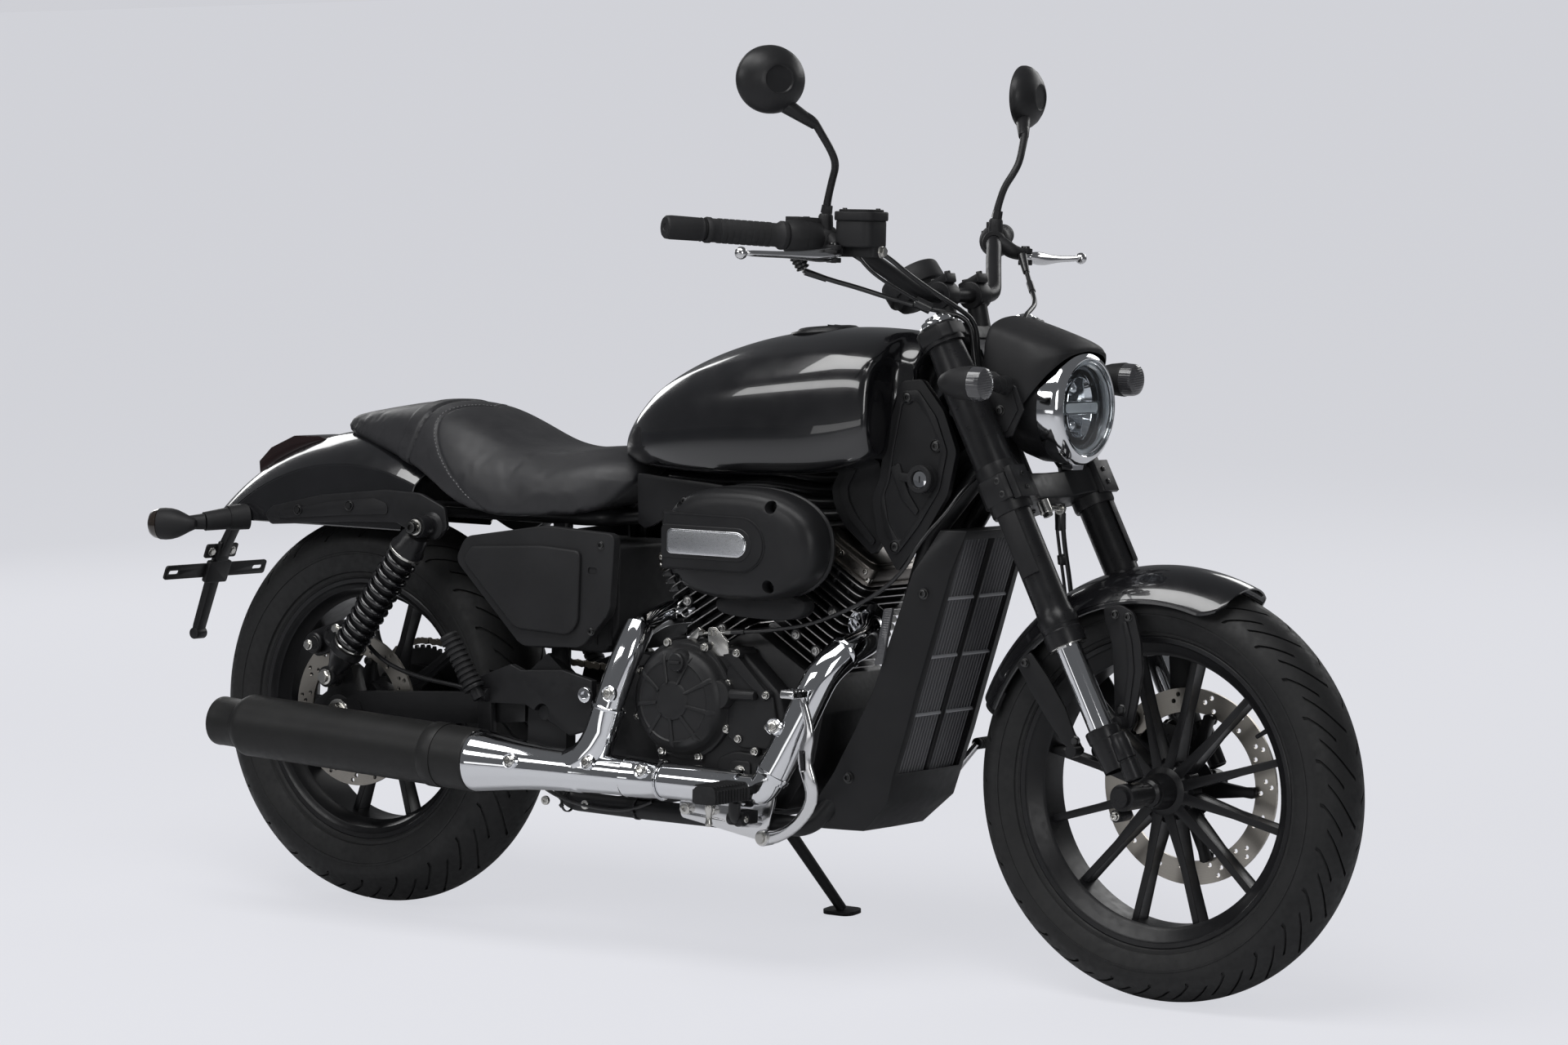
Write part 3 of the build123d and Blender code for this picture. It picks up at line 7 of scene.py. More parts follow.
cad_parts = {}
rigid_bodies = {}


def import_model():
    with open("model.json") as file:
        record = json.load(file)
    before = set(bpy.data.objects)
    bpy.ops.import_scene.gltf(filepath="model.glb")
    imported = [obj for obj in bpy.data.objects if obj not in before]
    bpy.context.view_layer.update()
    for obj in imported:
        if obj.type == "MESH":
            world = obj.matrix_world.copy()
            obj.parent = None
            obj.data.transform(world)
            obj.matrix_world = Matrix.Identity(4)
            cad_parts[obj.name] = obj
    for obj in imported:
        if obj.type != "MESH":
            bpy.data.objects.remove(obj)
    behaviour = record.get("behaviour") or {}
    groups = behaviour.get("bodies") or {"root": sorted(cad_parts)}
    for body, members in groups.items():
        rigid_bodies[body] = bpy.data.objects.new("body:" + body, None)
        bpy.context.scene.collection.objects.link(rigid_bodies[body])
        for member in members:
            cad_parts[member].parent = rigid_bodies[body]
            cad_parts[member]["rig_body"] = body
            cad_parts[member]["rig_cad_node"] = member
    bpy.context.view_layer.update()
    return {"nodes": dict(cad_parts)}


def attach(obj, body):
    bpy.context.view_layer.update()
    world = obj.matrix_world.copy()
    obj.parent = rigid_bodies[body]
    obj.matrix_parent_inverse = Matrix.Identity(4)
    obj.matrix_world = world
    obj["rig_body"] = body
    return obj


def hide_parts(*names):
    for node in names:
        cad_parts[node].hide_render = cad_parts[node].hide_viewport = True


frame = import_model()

# the bike is drawn upright in millimetres, then leaned onto its side stand
stand = {"lean": 5.0, "parked": (58.2404, -90.7291, 0.324703)}
standing = Matrix.Translation(Vector(stand["parked"]) / 1000) @ Matrix.Rotation(-radians(stand["lean"]), 4, "X")


def at(x, y, z):
    return Vector((x, y, z)) / 1000


def polar(angle):
    return Vector((cos(radians(angle)), 0, sin(radians(angle))))


alongX = Vector((1, 0, 0))
alongY = Vector((0, 1, 0))
alongZ = Vector((0, 0, 1))
forkUp = Vector((-sin(radians(27.5)), 0, cos(radians(27.5))))
forkAhead = Vector((cos(radians(27.5)), 0, sin(radians(27.5))))
frontAxle = at(716.5, 0, 299)
rearAxle = at(-716.5, 0, 310)


def onFork(along, y=0.0, ahead=0.0):
    return frontAxle + forkUp * along / 1000 + forkAhead * ahead / 1000 + alongY * y / 1000


# modelling helpers
def pickAll():
    bpy.ops.mesh.select_all(action="SELECT")


def pickNone():
    bpy.ops.mesh.select_all(action="DESELECT")


def faceOut():
    bpy.ops.mesh.normals_make_consistent(inside=False)


def leaveEditing():
    bpy.ops.object.mode_set(mode="OBJECT")


def clearPicks():
    if bpy.context.object and bpy.context.object.mode != "OBJECT":
        leaveEditing()
    bpy.ops.object.select_all(action="DESELECT")


def onlyPick(obj):
    clearPicks()
    obj.select_set(True)
    bpy.context.view_layer.objects.active = obj


def primitive(kind, name, **settings):
    clearPicks()
    getattr(bpy.ops.mesh, f"primitive_{kind}_add")(**settings)
    piece = bpy.context.object
    piece.name = piece.data.name = name
    return piece


def editing(piece, mode="FACE"):
    onlyPick(piece)
    bpy.ops.object.mode_set(mode="EDIT")
    bpy.ops.mesh.select_mode(type=mode)


# kind is verts, edges or faces; test takes the place of the element, and its normal for a face
def pick(piece, kind, test):
    mesh = bmesh.from_edit_mesh(piece.data)
    pickNone()
    for part in getattr(mesh, kind):
        if kind == "verts":
            wanted = test(part.co)
        elif kind == "edges":
            wanted = test(part.verts[0].co, part.verts[1].co)
        else:
            wanted = test(part.calc_center_median(), part.normal)
        part.select_set(bool(wanted))
    mesh.select_flush_mode()
    bmesh.update_edit_mesh(piece.data)


def addModifier(piece, kind, **settings):
    onlyPick(piece)
    modifier = piece.modifiers.new(kind.title(), kind)
    for key, value in settings.items():
        setattr(modifier, key, value)
    bpy.ops.object.modifier_apply(modifier=modifier.name)
    return piece


def bevelled(piece, width=1.0, segments=2, angle=32):
    return addModifier(piece, "BEVEL", width=width / 1000, segments=segments, limit_method="ANGLE",
                       angle_limit=radians(angle), use_clamp_overlap=True)


def subdivided(piece, levels=2):
    return addModifier(piece, "SUBSURF", levels=levels, render_levels=levels)


def cutBy(piece, *cutters):
    for cutter in cutters:
        addModifier(piece, "BOOLEAN", object=cutter, operation="DIFFERENCE", solver="EXACT")
        bpy.data.objects.remove(cutter)


def joined(name, pieces):
    clearPicks()
    for piece in pieces:
        piece.select_set(True)
    bpy.context.view_layer.objects.active = pieces[0]
    if len(pieces) > 1:
        bpy.ops.object.join()
    pieces[0].name = pieces[0].data.name = name
    return pieces[0]


def copyOf(piece, matrix):
    double = piece.copy()
    double.data = piece.data.copy()
    bpy.context.scene.collection.objects.link(double)
    double.data.transform(matrix)
    if matrix.determinant() < 0:
        double.data.flip_normals()
    return double


# copies turned about an axis, joined to the first
def around(piece, centre, axis, count, name=None):
    copies = [piece]
    for index in range(1, count):
        spin = Matrix.Rotation(radians(360.0 * index / count), 4, axis)
        copies.append(copyOf(piece, Matrix.Translation(centre) @ spin @ Matrix.Translation(-centre)))
    return joined(name or piece.name, copies)


# a line of edges through points in metres, extruded from one vertex
def drawn(name, points, closed=False):
    piece = primitive("circle", name, vertices=3, radius=0.001, location=points[0])
    bpy.ops.object.transform_apply(location=True)
    editing(piece, "VERT")
    pickAll()
    bpy.ops.mesh.merge(type="CENTER")
    for start, end in zip(points, points[1:]):
        bpy.ops.mesh.extrude_region_move(TRANSFORM_OT_translate={"value": end - start})
    if closed:
        pickAll()
        bpy.ops.mesh.edge_face_add()
    return piece


# profile rows are (along the axis, radius) in mm; spun about the axis
def lathe(name, profile, centre, axis, steps=64, turn=360.0, side=None):
    axis = axis.normalized()
    side = side or axis.orthogonal().normalized()
    piece = drawn(name, [centre + axis * a / 1000 + side * r / 1000 for a, r in profile])
    pickAll()
    bpy.ops.mesh.spin(steps=steps, angle=radians(turn), center=centre, axis=axis)
    pickAll()
    bpy.ops.mesh.remove_doubles(threshold=0.00002)
    faceOut()
    leaveEditing()
    return piece


# a flat outline in metres pushed out by a vector; corner rounds its upright edges in mm
def slab(name, outline, depth, corner=0.0):
    piece = drawn(name, outline, closed=True)
    pickAll()
    bpy.ops.mesh.extrude_region_move(TRANSFORM_OT_translate={"value": depth})
    pickAll()
    faceOut()
    if corner:
        way = depth.normalized()
        bpy.ops.mesh.select_mode(type="EDGE")
        pick(piece, "edges", lambda a, b: abs((b - a).normalized().dot(way)) > 0.99)
        bpy.ops.mesh.bevel(offset=corner / 1000, segments=4)
    leaveEditing()
    return piece


# outline rows are (x, z) in mm
def sideSlab(name, outline, yInner, yOuter, corner=0.0):
    return slab(name, [at(x, yInner, z) for x, z in outline], alongY * (yOuter - yInner) / 1000, corner)


def cylinder(name, start, end, radius, sides=32, endRadius=None):
    run = end - start
    piece = primitive("cone", name, vertices=sides, radius1=radius / 1000,
                      radius2=(radius if endRadius is None else endRadius) / 1000, depth=run.length,
                      location=(start + end) / 2, rotation=run.to_track_quat("Z", "Y").to_euler())
    bpy.ops.object.transform_apply(location=True, rotation=True)
    return piece


# a bent tube that cuts inside the corners between its points in mm, as a cable does
def wire(name, points, radius, sides=3, radii=None):
    clearPicks()
    bpy.ops.curve.primitive_nurbs_path_add()
    piece = bpy.context.object
    piece.name = piece.data.name = name
    curve = piece.data
    curve.splines.clear()
    spline = curve.splines.new("NURBS")
    spline.points.add(len(points) - 1)
    for index, (point, spot) in enumerate(zip(points, spline.points)):
        spot.co = (*(Vector(point) / 1000), 1)
        spot.radius = radii[index] if radii else 1
    spline.order_u = 3
    spline.use_endpoint_u = True
    spline.use_cyclic_u = False
    curve.resolution_u = 8
    curve.bevel_depth = radius / 1000
    curve.bevel_resolution = sides
    curve.use_fill_caps = True
    bpy.ops.object.convert(target="MESH")
    piece = bpy.context.object
    editing(piece, "VERT")
    pickAll()
    bpy.ops.mesh.remove_doubles(threshold=0.00001)
    faceOut()
    leaveEditing()
    return piece


# rings are lists of points in mm, all as long; bridged one after the other
def skinned(name, rings):
    pieces = []
    for ring in rings:
        points = [at(*p) for p in ring]
        piece = primitive("circle", name, vertices=len(points), radius=0.01)
        for vertex, place in zip(piece.data.vertices, points):
            vertex.co = place
        pieces.append(piece)
    piece = joined(name, pieces)
    editing(piece, "EDGE")
    pickAll()
    bpy.ops.mesh.bridge_edge_loops()
    pickNone()
    bpy.ops.mesh.select_non_manifold()
    bpy.ops.mesh.fill_holes(sides=0)
    pickAll()
    faceOut()
    leaveEditing()
    return piece


def smoothed(piece, angle=34):
    onlyPick(piece)
    bpy.ops.object.shade_smooth_by_angle(angle=radians(angle))


# leaned with the bike, painted, riding on its body, in place of the nodes named
def finished(piece, body, slotName, finish, *nodes, angle=34, normals=True):
    if normals:
        editing(piece)
        pickAll()
        faceOut()
        leaveEditing()
    smoothed(piece, angle)
    piece.matrix_world = standing
    bpy.context.view_layer.update()
    bpy.ops.object.transform_apply(location=True, rotation=True, scale=True)
    paint(piece, finish)
    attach(piece, body)
    if nodes:
        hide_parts(*nodes)


def paint(piece, *finishes):
    piece.data.materials.clear()
    for finish in finishes:
        piece.data.materials.append(finish)


# a CAD node whose shape is right, with its edges softened
def dressed(node, body, finish, width=1.2, segments=2):
    onlyPick(frame["nodes"][node])
    bpy.ops.object.duplicate()
    piece = bpy.context.object
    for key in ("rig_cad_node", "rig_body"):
        if key in piece:
            del piece[key]
    piece.parent = None
    piece.name = piece.data.name = node + "_worked"
    editing(piece, "VERT")
    pickAll()
    bpy.ops.mesh.remove_doubles(threshold=0.00002)
    bpy.ops.mesh.dissolve_limited(angle_limit=radians(2))
    leaveEditing()
    if width:
        bevelled(piece, width, segments, 30)
    smoothed(piece, 38)
    paint(piece, finish)
    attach(piece, body)
    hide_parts(node)


# finishes
def shaderOf(material):
    return material.node_tree.nodes["Principled BSDF"]


def finishOf(name, colour, roughness, metallic=0.0, **sockets):
    material = bpy.data.materials.new(name)
    material.use_nodes = True
    shader = shaderOf(material)
    shader.inputs["Base Color"].default_value = (*colour, 1)
    shader.inputs["Roughness"].default_value = roughness
    shader.inputs["Metallic"].default_value = metallic
    for key, value in sockets.items():
        shader.inputs[key.replace("_", " ")].default_value = value
    material.diffuse_color = (*colour, 1)
    return material


def node(material, kind, **settings):
    made = material.node_tree.nodes.new(kind)
    for key, value in settings.items():
        if key in made.inputs:
            made.inputs[key].default_value = value
        else:
            setattr(made, key, value)
    return made


def link(material, fromSocket, toSocket):
    material.node_tree.links.new(fromSocket, toSocket)


def objectPlace(material, scale=(1, 1, 1), centre=(0, 0, 0)):
    place = node(material, "ShaderNodeTexCoord")
    mapping = node(material, "ShaderNodeMapping", vector_type="POINT")
    shift = node(material, "ShaderNodeVectorMath", operation="SUBTRACT")
    shift.inputs[1].default_value = centre
    link(material, place.outputs["Object"], shift.inputs[0])
    link(material, shift.outputs[0], mapping.inputs["Vector"])
    mapping.inputs["Scale"].default_value = scale
    return mapping.outputs["Vector"]


def noise(material, scale, detail=3.0, place=None, roughness=0.5):
    made = node(material, "ShaderNodeTexNoise")
    made.inputs["Scale"].default_value = scale
    made.inputs["Detail"].default_value = detail
    made.inputs["Roughness"].default_value = roughness
    link(material, place or objectPlace(material), made.inputs["Vector"])
    return made.outputs["Fac"]


def ranged(material, source, low, high, fromLow=0.0, fromHigh=1.0):
    made = node(material, "ShaderNodeMapRange")
    link(material, source, made.inputs["Value"])
    for key, value in (("From Min", fromLow), ("From Max", fromHigh), ("To Min", low), ("To Max", high)):
        made.inputs[key].default_value = value
    return made.outputs["Result"]


def blended(material, factor, first, second):
    made = node(material, "ShaderNodeMix", data_type="RGBA")
    link(material, factor, made.inputs["Factor"])
    for socket, colour in (("A", first), ("B", second)):
        spot = [s for s in made.inputs if s.name == socket and s.type == "RGBA"][0]
        if isinstance(colour, tuple):
            spot.default_value = (*colour, 1)
        else:
            link(material, colour, spot)
    return [s for s in made.outputs if s.type == "RGBA"][0]


def bumped(material, height, strength, distance):
    made = node(material, "ShaderNodeBump")
    made.inputs["Strength"].default_value = strength
    made.inputs["Distance"].default_value = distance / 1000
    link(material, height, made.inputs["Height"])
    shader = shaderOf(material)
    previous = shader.inputs["Normal"].links
    if previous:
        link(material, previous[0].from_socket, made.inputs["Normal"])
    link(material, made.outputs["Normal"], shader.inputs["Normal"])


# broad, soft change of colour and roughness over a surface
def worn(material, colour, dustColour, low, high, scale=14.0):
    cloud = noise(material, scale, 4.0)
    tint = blended(material, ranged(material, cloud, 0, 0.5, 0.35, 0.75), colour, dustColour)
    link(material, tint, shaderOf(material).inputs["Base Color"])
    link(material, ranged(material, noise(material, scale * 5, 3.0), low, high, 0.3, 0.7),
         shaderOf(material).inputs["Roughness"])


def glossPaint():
    made = finishOf("glossBlack", (0.006, 0.006, 0.007), 0.2, Coat_Weight=1.0, Coat_Roughness=0.02,
                    Coat_IOR=1.55)
    worn(made, (0.005, 0.005, 0.006), (0.010, 0.010, 0.012), 0.16, 0.26, 6)
    bumped(made, noise(made, 420, 2), 0.03, 0.05)
    return made


def satinPaint(name="satinBlack", colour=(0.012, 0.012, 0.013), low=0.34, high=0.46, grain=0.1):
    made = finishOf(name, colour, 0.4, Specular_IOR_Level=0.3)
    lighter = tuple(c * 1.7 for c in colour)
    worn(made, colour, lighter, low, high, 18)
    bumped(made, noise(made, 1400, 2), grain, 0.12)
    return made


def mouldedPlastic(name="mouldedBlack", colour=(0.014, 0.014, 0.015), low=0.5, high=0.62):
    made = finishOf(name, colour, 0.55, Specular_IOR_Level=0.28)
    worn(made, colour, tuple(c * 1.8 for c in colour), low, high, 12)
    grain = node(made, "ShaderNodeTexVoronoi", feature="F1")
    grain.inputs["Scale"].default_value = 1300
    link(made, objectPlace(made), grain.inputs["Vector"])
    bumped(made, grain.outputs["Distance"], 0.16, 0.14)
    return made


def castBlack():
    made = finishOf("castBlack", (0.016, 0.016, 0.017), 0.42, 0.35)
    worn(made, (0.014, 0.014, 0.015), (0.032, 0.032, 0.034), 0.34, 0.52, 24)
    bumped(made, noise(made, 700, 5, roughness=0.7), 0.28, 0.25)
    return made


def chromePlate(name="chromePlate", colour=(0.83, 0.84, 0.86), low=0.03, high=0.09):
    made = finishOf(name, colour, 0.05, 1.0)
    link(made, ranged(made, noise(made, 9, 4), low, high, 0.35, 0.7), shaderOf(made).inputs["Roughness"])
    bumped(made, noise(made, 60, 2), 0.02, 0.06)
    return made


def brushedMetal(name, colour, low, high, stretch, scale=900, strength=0.12):
    made = finishOf(name, colour, 0.3, 1.0)
    lines = noise(made, scale, 3, objectPlace(made, stretch))
    tint = blended(made, ranged(made, lines, 0, 1, 0.3, 0.7), tuple(c * 0.82 for c in colour), colour)
    link(made, tint, shaderOf(made).inputs["Base Color"])
    link(made, ranged(made, lines, low, high, 0.3, 0.7), shaderOf(made).inputs["Roughness"])
    bumped(made, lines, strength, 0.05)
    return made


# turned steel, its marks in circles about the axle
def discFinish(name, centre):
    made = finishOf(name, (0.55, 0.53, 0.5), 0.3, 1.0)
    place = objectPlace(made, centre=tuple(centre))
    apart = node(made, "ShaderNodeSeparateXYZ")
    link(made, place, apart.inputs[0])
    flat = node(made, "ShaderNodeCombineXYZ")
    link(made, apart.outputs["X"], flat.inputs["X"])
    link(made, apart.outputs["Z"], flat.inputs["Z"])
    reach = node(made, "ShaderNodeVectorMath", operation="LENGTH")
    link(made, flat.outputs[0], reach.inputs[0])
    ring = node(made, "ShaderNodeCombineXYZ")
    link(made, reach.outputs["Value"], ring.inputs["X"])
    rings = noise(made, 2600, 2, ring.outputs[0])
    tint = blended(made, ranged(made, rings, 0, 1, 0.35, 0.65), (0.36, 0.33, 0.29), (0.62, 0.59, 0.54))
    link(made, tint, shaderOf(made).inputs["Base Color"])
    link(made, ranged(made, rings, 0.24, 0.42), shaderOf(made).inputs["Roughness"])
    bumped(made, rings, 0.2, 0.06)
    return made


def tyreRubber():
    made = finishOf("tyreRubber", (0.010, 0.010, 0.011), 0.6, Specular_IOR_Level=0.4)
    worn(made, (0.009, 0.009, 0.0095), (0.020, 0.020, 0.020), 0.5, 0.7, 20)
    bumped(made, noise(made, 1800, 3), 0.2, 0.15)
    return made


def softRubber(name="softRubber", colour=(0.013, 0.013, 0.014)):
    made = finishOf(name, colour, 0.68, Specular_IOR_Level=0.35)
    worn(made, colour, tuple(c * 1.9 for c in colour), 0.58, 0.74, 30)
    bumped(made, noise(made, 1500, 2), 0.15, 0.1)
    return made


# grained all over the saddle and the pillion by a cell pattern and a soft noise
def seatVinyl():
    made = finishOf("seatVinyl", (0.022, 0.022, 0.024), 0.5, Specular_IOR_Level=0.5)
    worn(made, (0.020, 0.020, 0.022), (0.034, 0.034, 0.037), 0.42, 0.56, 9)
    cells = node(made, "ShaderNodeTexVoronoi", feature="DISTANCE_TO_EDGE")
    cells.inputs["Scale"].default_value = 520
    link(made, objectPlace(made), cells.inputs["Vector"])
    creases = ranged(made, cells.outputs["Distance"], 0, 1, 0.0, 0.28)
    bumped(made, creases, 0.22, 0.22)
    bumped(made, noise(made, 260, 4), 0.1, 0.2)
    return made


def clearLens():
    made = finishOf("clearLens", (0.93, 0.96, 0.98), 0.02, Transmission_Weight=1.0, IOR=1.35)
    bumped(made, noise(made, 30, 1), 0.02, 0.05)
    return made


def smokedLens(name, colour, roughness=0.06):
    made = finishOf(name, colour, roughness, Coat_Weight=1.0, Coat_Roughness=0.02)
    worn(made, colour, tuple(min(1, c * 1.6) for c in colour), roughness, roughness + 0.06, 10)
    return made


def ribbedLens(name, colour):
    made = smokedLens(name, colour, 0.08)
    wave = node(made, "ShaderNodeTexWave", wave_type="BANDS", bands_direction="Z")
    wave.inputs["Scale"].default_value = 90
    link(made, objectPlace(made), wave.inputs["Vector"])
    bumped(made, wave.outputs["Fac"], 0.5, 0.6)
    return made


finish = {
    "gloss": glossPaint(),
    "satin": satinPaint(),
    "fork": satinPaint("forkBlack", (0.011, 0.011, 0.012), 0.26, 0.36, 0.05),
    "wheel": satinPaint("wheelBlack", (0.010, 0.010, 0.011), 0.3, 0.4, 0.08),
    "muffler": satinPaint("mufflerBlack", (0.014, 0.014, 0.014), 0.42, 0.52, 0.16),
    "plastic": mouldedPlastic(),
    "shroud": mouldedPlastic("shroudBlack", (0.012, 0.012, 0.013), 0.36, 0.46),
    "cast": castBlack(),
    "chrome": chromePlate(),
    "machined": brushedMetal("machinedEdge", (0.62, 0.61, 0.6), 0.22, 0.4, (1, 1, 1)),
    "bronzed": brushedMetal("bronzedHead", (0.25, 0.232, 0.215), 0.26, 0.42, (1, 6, 1), 500),
    "forged": chromePlate("forgedAlloy", (0.78, 0.78, 0.79), 0.10, 0.2),
    "zinc": chromePlate("zincBolt", (0.66, 0.65, 0.62), 0.16, 0.34),
    "darkBolt": chromePlate("darkBolt", (0.09, 0.09, 0.09), 0.24, 0.4),
    "chain": chromePlate("chainSteel", (0.22, 0.2, 0.17), 0.3, 0.5),
    "rubber": softRubber(),
    "tyre": tyreRubber(),
    "seat": seatVinyl(),
    "lens": clearLens(),
    "tailLens": smokedLens("tailLens", (0.012, 0.004, 0.004)),
    "signalLens": smokedLens("signalLens", (0.02, 0.014, 0.01), 0.12),
    "signalClear": ribbedLens("signalClear", (0.05, 0.05, 0.054)),
    "core": satinPaint("radiatorCore", (0.02, 0.02, 0.02), 0.4, 0.6),
    "discFront": discFinish("frontDiscSteel", standing @ frontAxle),
    "discRear": discFinish("rearDiscSteel", standing @ rearAxle),
}


# camera
view = {"from": (3895.85, -5347.07, 1528.04), "right": (0.81626, 0.57685, -0.03098),
        "up": (-0.05164, 0.12629, 0.99065), "back": (0.57537, -0.80703, 0.13288), "lens": 103.362}
bpy.ops.object.camera_add()
camera = bpy.context.object
axes = Matrix([view["right"], view["up"], view["back"]]).transposed()
camera.matrix_world = Matrix.Translation((Vector(view["from"]) + Vector(stand["parked"])) / 1000) @ axes.to_4x4()
camera.data.lens = view["lens"]
camera.data.clip_end = 100
bpy.context.scene.camera = camera


# fuel tank; smooth values between the rows of a table whose first column is x
def between(table, x):
    rows = sorted(table)
    if x <= rows[0][0]:
        return rows[0][1:]
    if x >= rows[-1][0]:
        return rows[-1][1:]
    for index in range(len(rows) - 1):
        if rows[index][0] <= x <= rows[index + 1][0]:
            break
    before, start = rows[max(index - 1, 0)], rows[index]
    end, after = rows[index + 1], rows[min(index + 2, len(rows) - 1)]
    span = end[0] - start[0]
    t = (x - start[0]) / span
    out = []
    for k in range(1, len(start)):
        slopeA = (end[k] - before[k]) / (end[0] - before[0]) * span
        slopeB = (after[k] - start[k]) / (after[0] - start[0]) * span
        out.append((2 * t ** 3 - 3 * t ** 2 + 1) * start[k] + (t ** 3 - 2 * t ** 2 + t) * slopeA
                   + (3 * t ** 2 - 2 * t ** 3) * end[k] + (t ** 3 - t ** 2) * slopeB)
    return out


def creased(piece, test, value=1.0):
    editing(piece, "EDGE")
    pick(piece, "edges", test)
    bpy.ops.transform.edge_crease(value=value)
    leaveEditing()


# a closed ring at x from its right half, listed from the top down as (y, z)
def halfRing(x, half):
    return [(x, y, z) for y, z in half] + [(x, -y, z) for y, z in reversed(half[1:-1])]


tank = {
    # x, base half, base z, half, belly z, shoulder half, shoulder z, top z
    "side": ((-229, 14, 730, 20, 735, 14, 741, 745), (-212, 40, 725, 54, 742, 42, 760, 774),
             (-170, 74, 718, 96, 752, 74, 800, 820), (-120, 100, 715, 124, 764, 92, 836, 858),
             (-60, 114, 714, 138, 776, 104, 860, 889), (20, 122, 714, 146, 788, 111, 879, 916),
             (100, 122, 716, 146, 794, 112, 891, 931), (180, 116, 719, 142, 798, 112, 899, 938),
             (240, 104, 733, 137, 804, 114, 897, 937), (262, 98, 741, 134, 808, 114, 892, 936)),
    "rings": (-229, -222, -208, -188, -160, -125, -80, -30, 30, 90, 150, 200, 236, 258),
    "neck": ((270, 94, 746, 131, 810, 112, 889, 935), (276, 84, 752, 120, 812, 104, 886, 934),
             (279, 70, 762, 92, 815, 86, 884, 933), (284, 60, 768, 72, 818, 68, 884, 932),
             (304, 54, 776, 64, 822, 60, 880, 928), (318, 50, 784, 58, 826, 54, 874, 920)),
    "cap": (118, 46),
}


def tankHalf(row):
    baseHalf, base, half, belly, shoulderHalf, shoulder, top = row
    return [(0, top), (shoulderHalf * 0.5, top - (top - shoulder) * 0.16),
            (shoulderHalf * 0.86, shoulder + (top - shoulder) * 0.3), (shoulderHalf, shoulder),
            (half * 0.93 + shoulderHalf * 0.07, shoulder - (shoulder - belly) * 0.38), (half, belly),
            (half * 0.985, belly - (belly - base) * 0.45), (baseHalf + (half - baseHalf) * 0.5, base + 10),
            (baseHalf, base), (0, base + 2)]


def makeTank():
    rings = [halfRing(x, tankHalf(between(tank["side"], x))) for x in tank["rings"]]
    rings += [halfRing(row[0], tankHalf(row[1:])) for row in tank["neck"]]
    piece = skinned("tankShell", rings)
    creased(piece, lambda a, b: min(abs(abs(p.y) - between(tank["side"], p.x * 1000)[4] / 1000)
        for p in (a, b)) < 0.001 and abs(b.x - a.x) > 0.004 and -0.13 < a.x < 0.25 and a.z > 0.82, 0.42)
    subdivided(piece, 3)
    finished(piece, "chassis", "gloss_black", finish["gloss"], "fuel_tank", angle=60)
    capX, capR = tank["cap"]
    tilt = Vector((-0.09, 0, 1)).normalized()
    seatAt = at(capX, 0, 920.5)
    cap = lathe("fillerCap", ((2, 0), (2, capR + 8), (5, capR + 10), (8, capR + 8), (8.6, capR + 2), (8.2, capR),
                              (10.5, capR - 1), (13, capR - 5), (14, capR - 12), (14.4, 0)), seatAt, tilt, 72)
    hinge = sideSlab("capKeyGate", ((capX + 4, 933.5), (capX + 30, 932), (capX + 30, 936), (capX + 4, 937)), -9, 9, 3)
    bevelled(hinge, 0.8)
    bolts = around(boltHead("capBolt", seatAt + at(capR - 9, 0, 12.6), tilt, 3.4, 2.4), seatAt, tilt, 6)
    finished(joined("fillerCap", [cap, hinge]), "chassis", "gloss_black", finish["satin"])
    finished(bolts, "chassis", "satin_black", finish["darkBolt"])


# a cap screw with a bevelled rim and a round socket
def boltHead(name, place, direction, radius, height, washer=0.0):
    direction = direction.normalized()
    side = direction.orthogonal().normalized()
    over = direction.cross(side)
    tilt = Matrix((side, over, direction)).transposed().to_euler()
    middle = place + direction * height / 2000
    piece = primitive("cylinder", name, vertices=24, radius=radius / 1000, depth=height / 1000, location=middle,
                      rotation=tilt, end_fill_type="NGON")
    bpy.ops.object.transform_apply(location=True, rotation=True)
    editing(piece)
    pick(piece, "faces", lambda c, n: n.dot(direction) > 0.9)
    bpy.ops.mesh.bevel(offset=radius * 0.14 / 1000, segments=2)
    pick(piece, "faces", lambda c, n: n.dot(direction) > 0.99 and (c - place).dot(direction) > height * 0.9 / 1000)
    bpy.ops.mesh.inset(thickness=radius * 0.38 / 1000)
    bpy.ops.mesh.extrude_region_move(TRANSFORM_OT_translate={"value": -direction * height * 0.5 / 1000})
    leaveEditing()
    if washer:
        ring = lathe(name + "Washer", ((0, radius * 0.5), (0, radius + washer), (1, radius + washer), (1.2, radius)),
                     place, direction, 24)
        piece = joined(name, [piece, ring])
    return piece


def hexBolt(name, place, direction, radius, height):
    direction = direction.normalized()
    side = direction.orthogonal().normalized()
    tilt = Matrix((side, direction.cross(side), direction)).transposed().to_euler()
    piece = primitive("cylinder", name, vertices=6, radius=radius / 1000, depth=height / 1000,
                      location=place + direction * height / 2000, rotation=tilt)
    bpy.ops.object.transform_apply(location=True, rotation=True)
    editing(piece)
    pick(piece, "faces", lambda c, n: n.dot(direction) > 0.9)
    bpy.ops.mesh.inset(thickness=radius * 0.14 / 1000)
    bpy.ops.mesh.extrude_region_move(TRANSFORM_OT_translate={"value": direction * height * 0.1 / 1000})
    leaveEditing()
    flange = lathe(name + "Flange", ((0, radius * 0.4), (0, radius * 1.35), (1.2, radius * 1.3), (2, radius * 0.95)),
                   place, direction, 24)
    return joined(name, [piece, flange])


makeTank()
print("stage: tank")


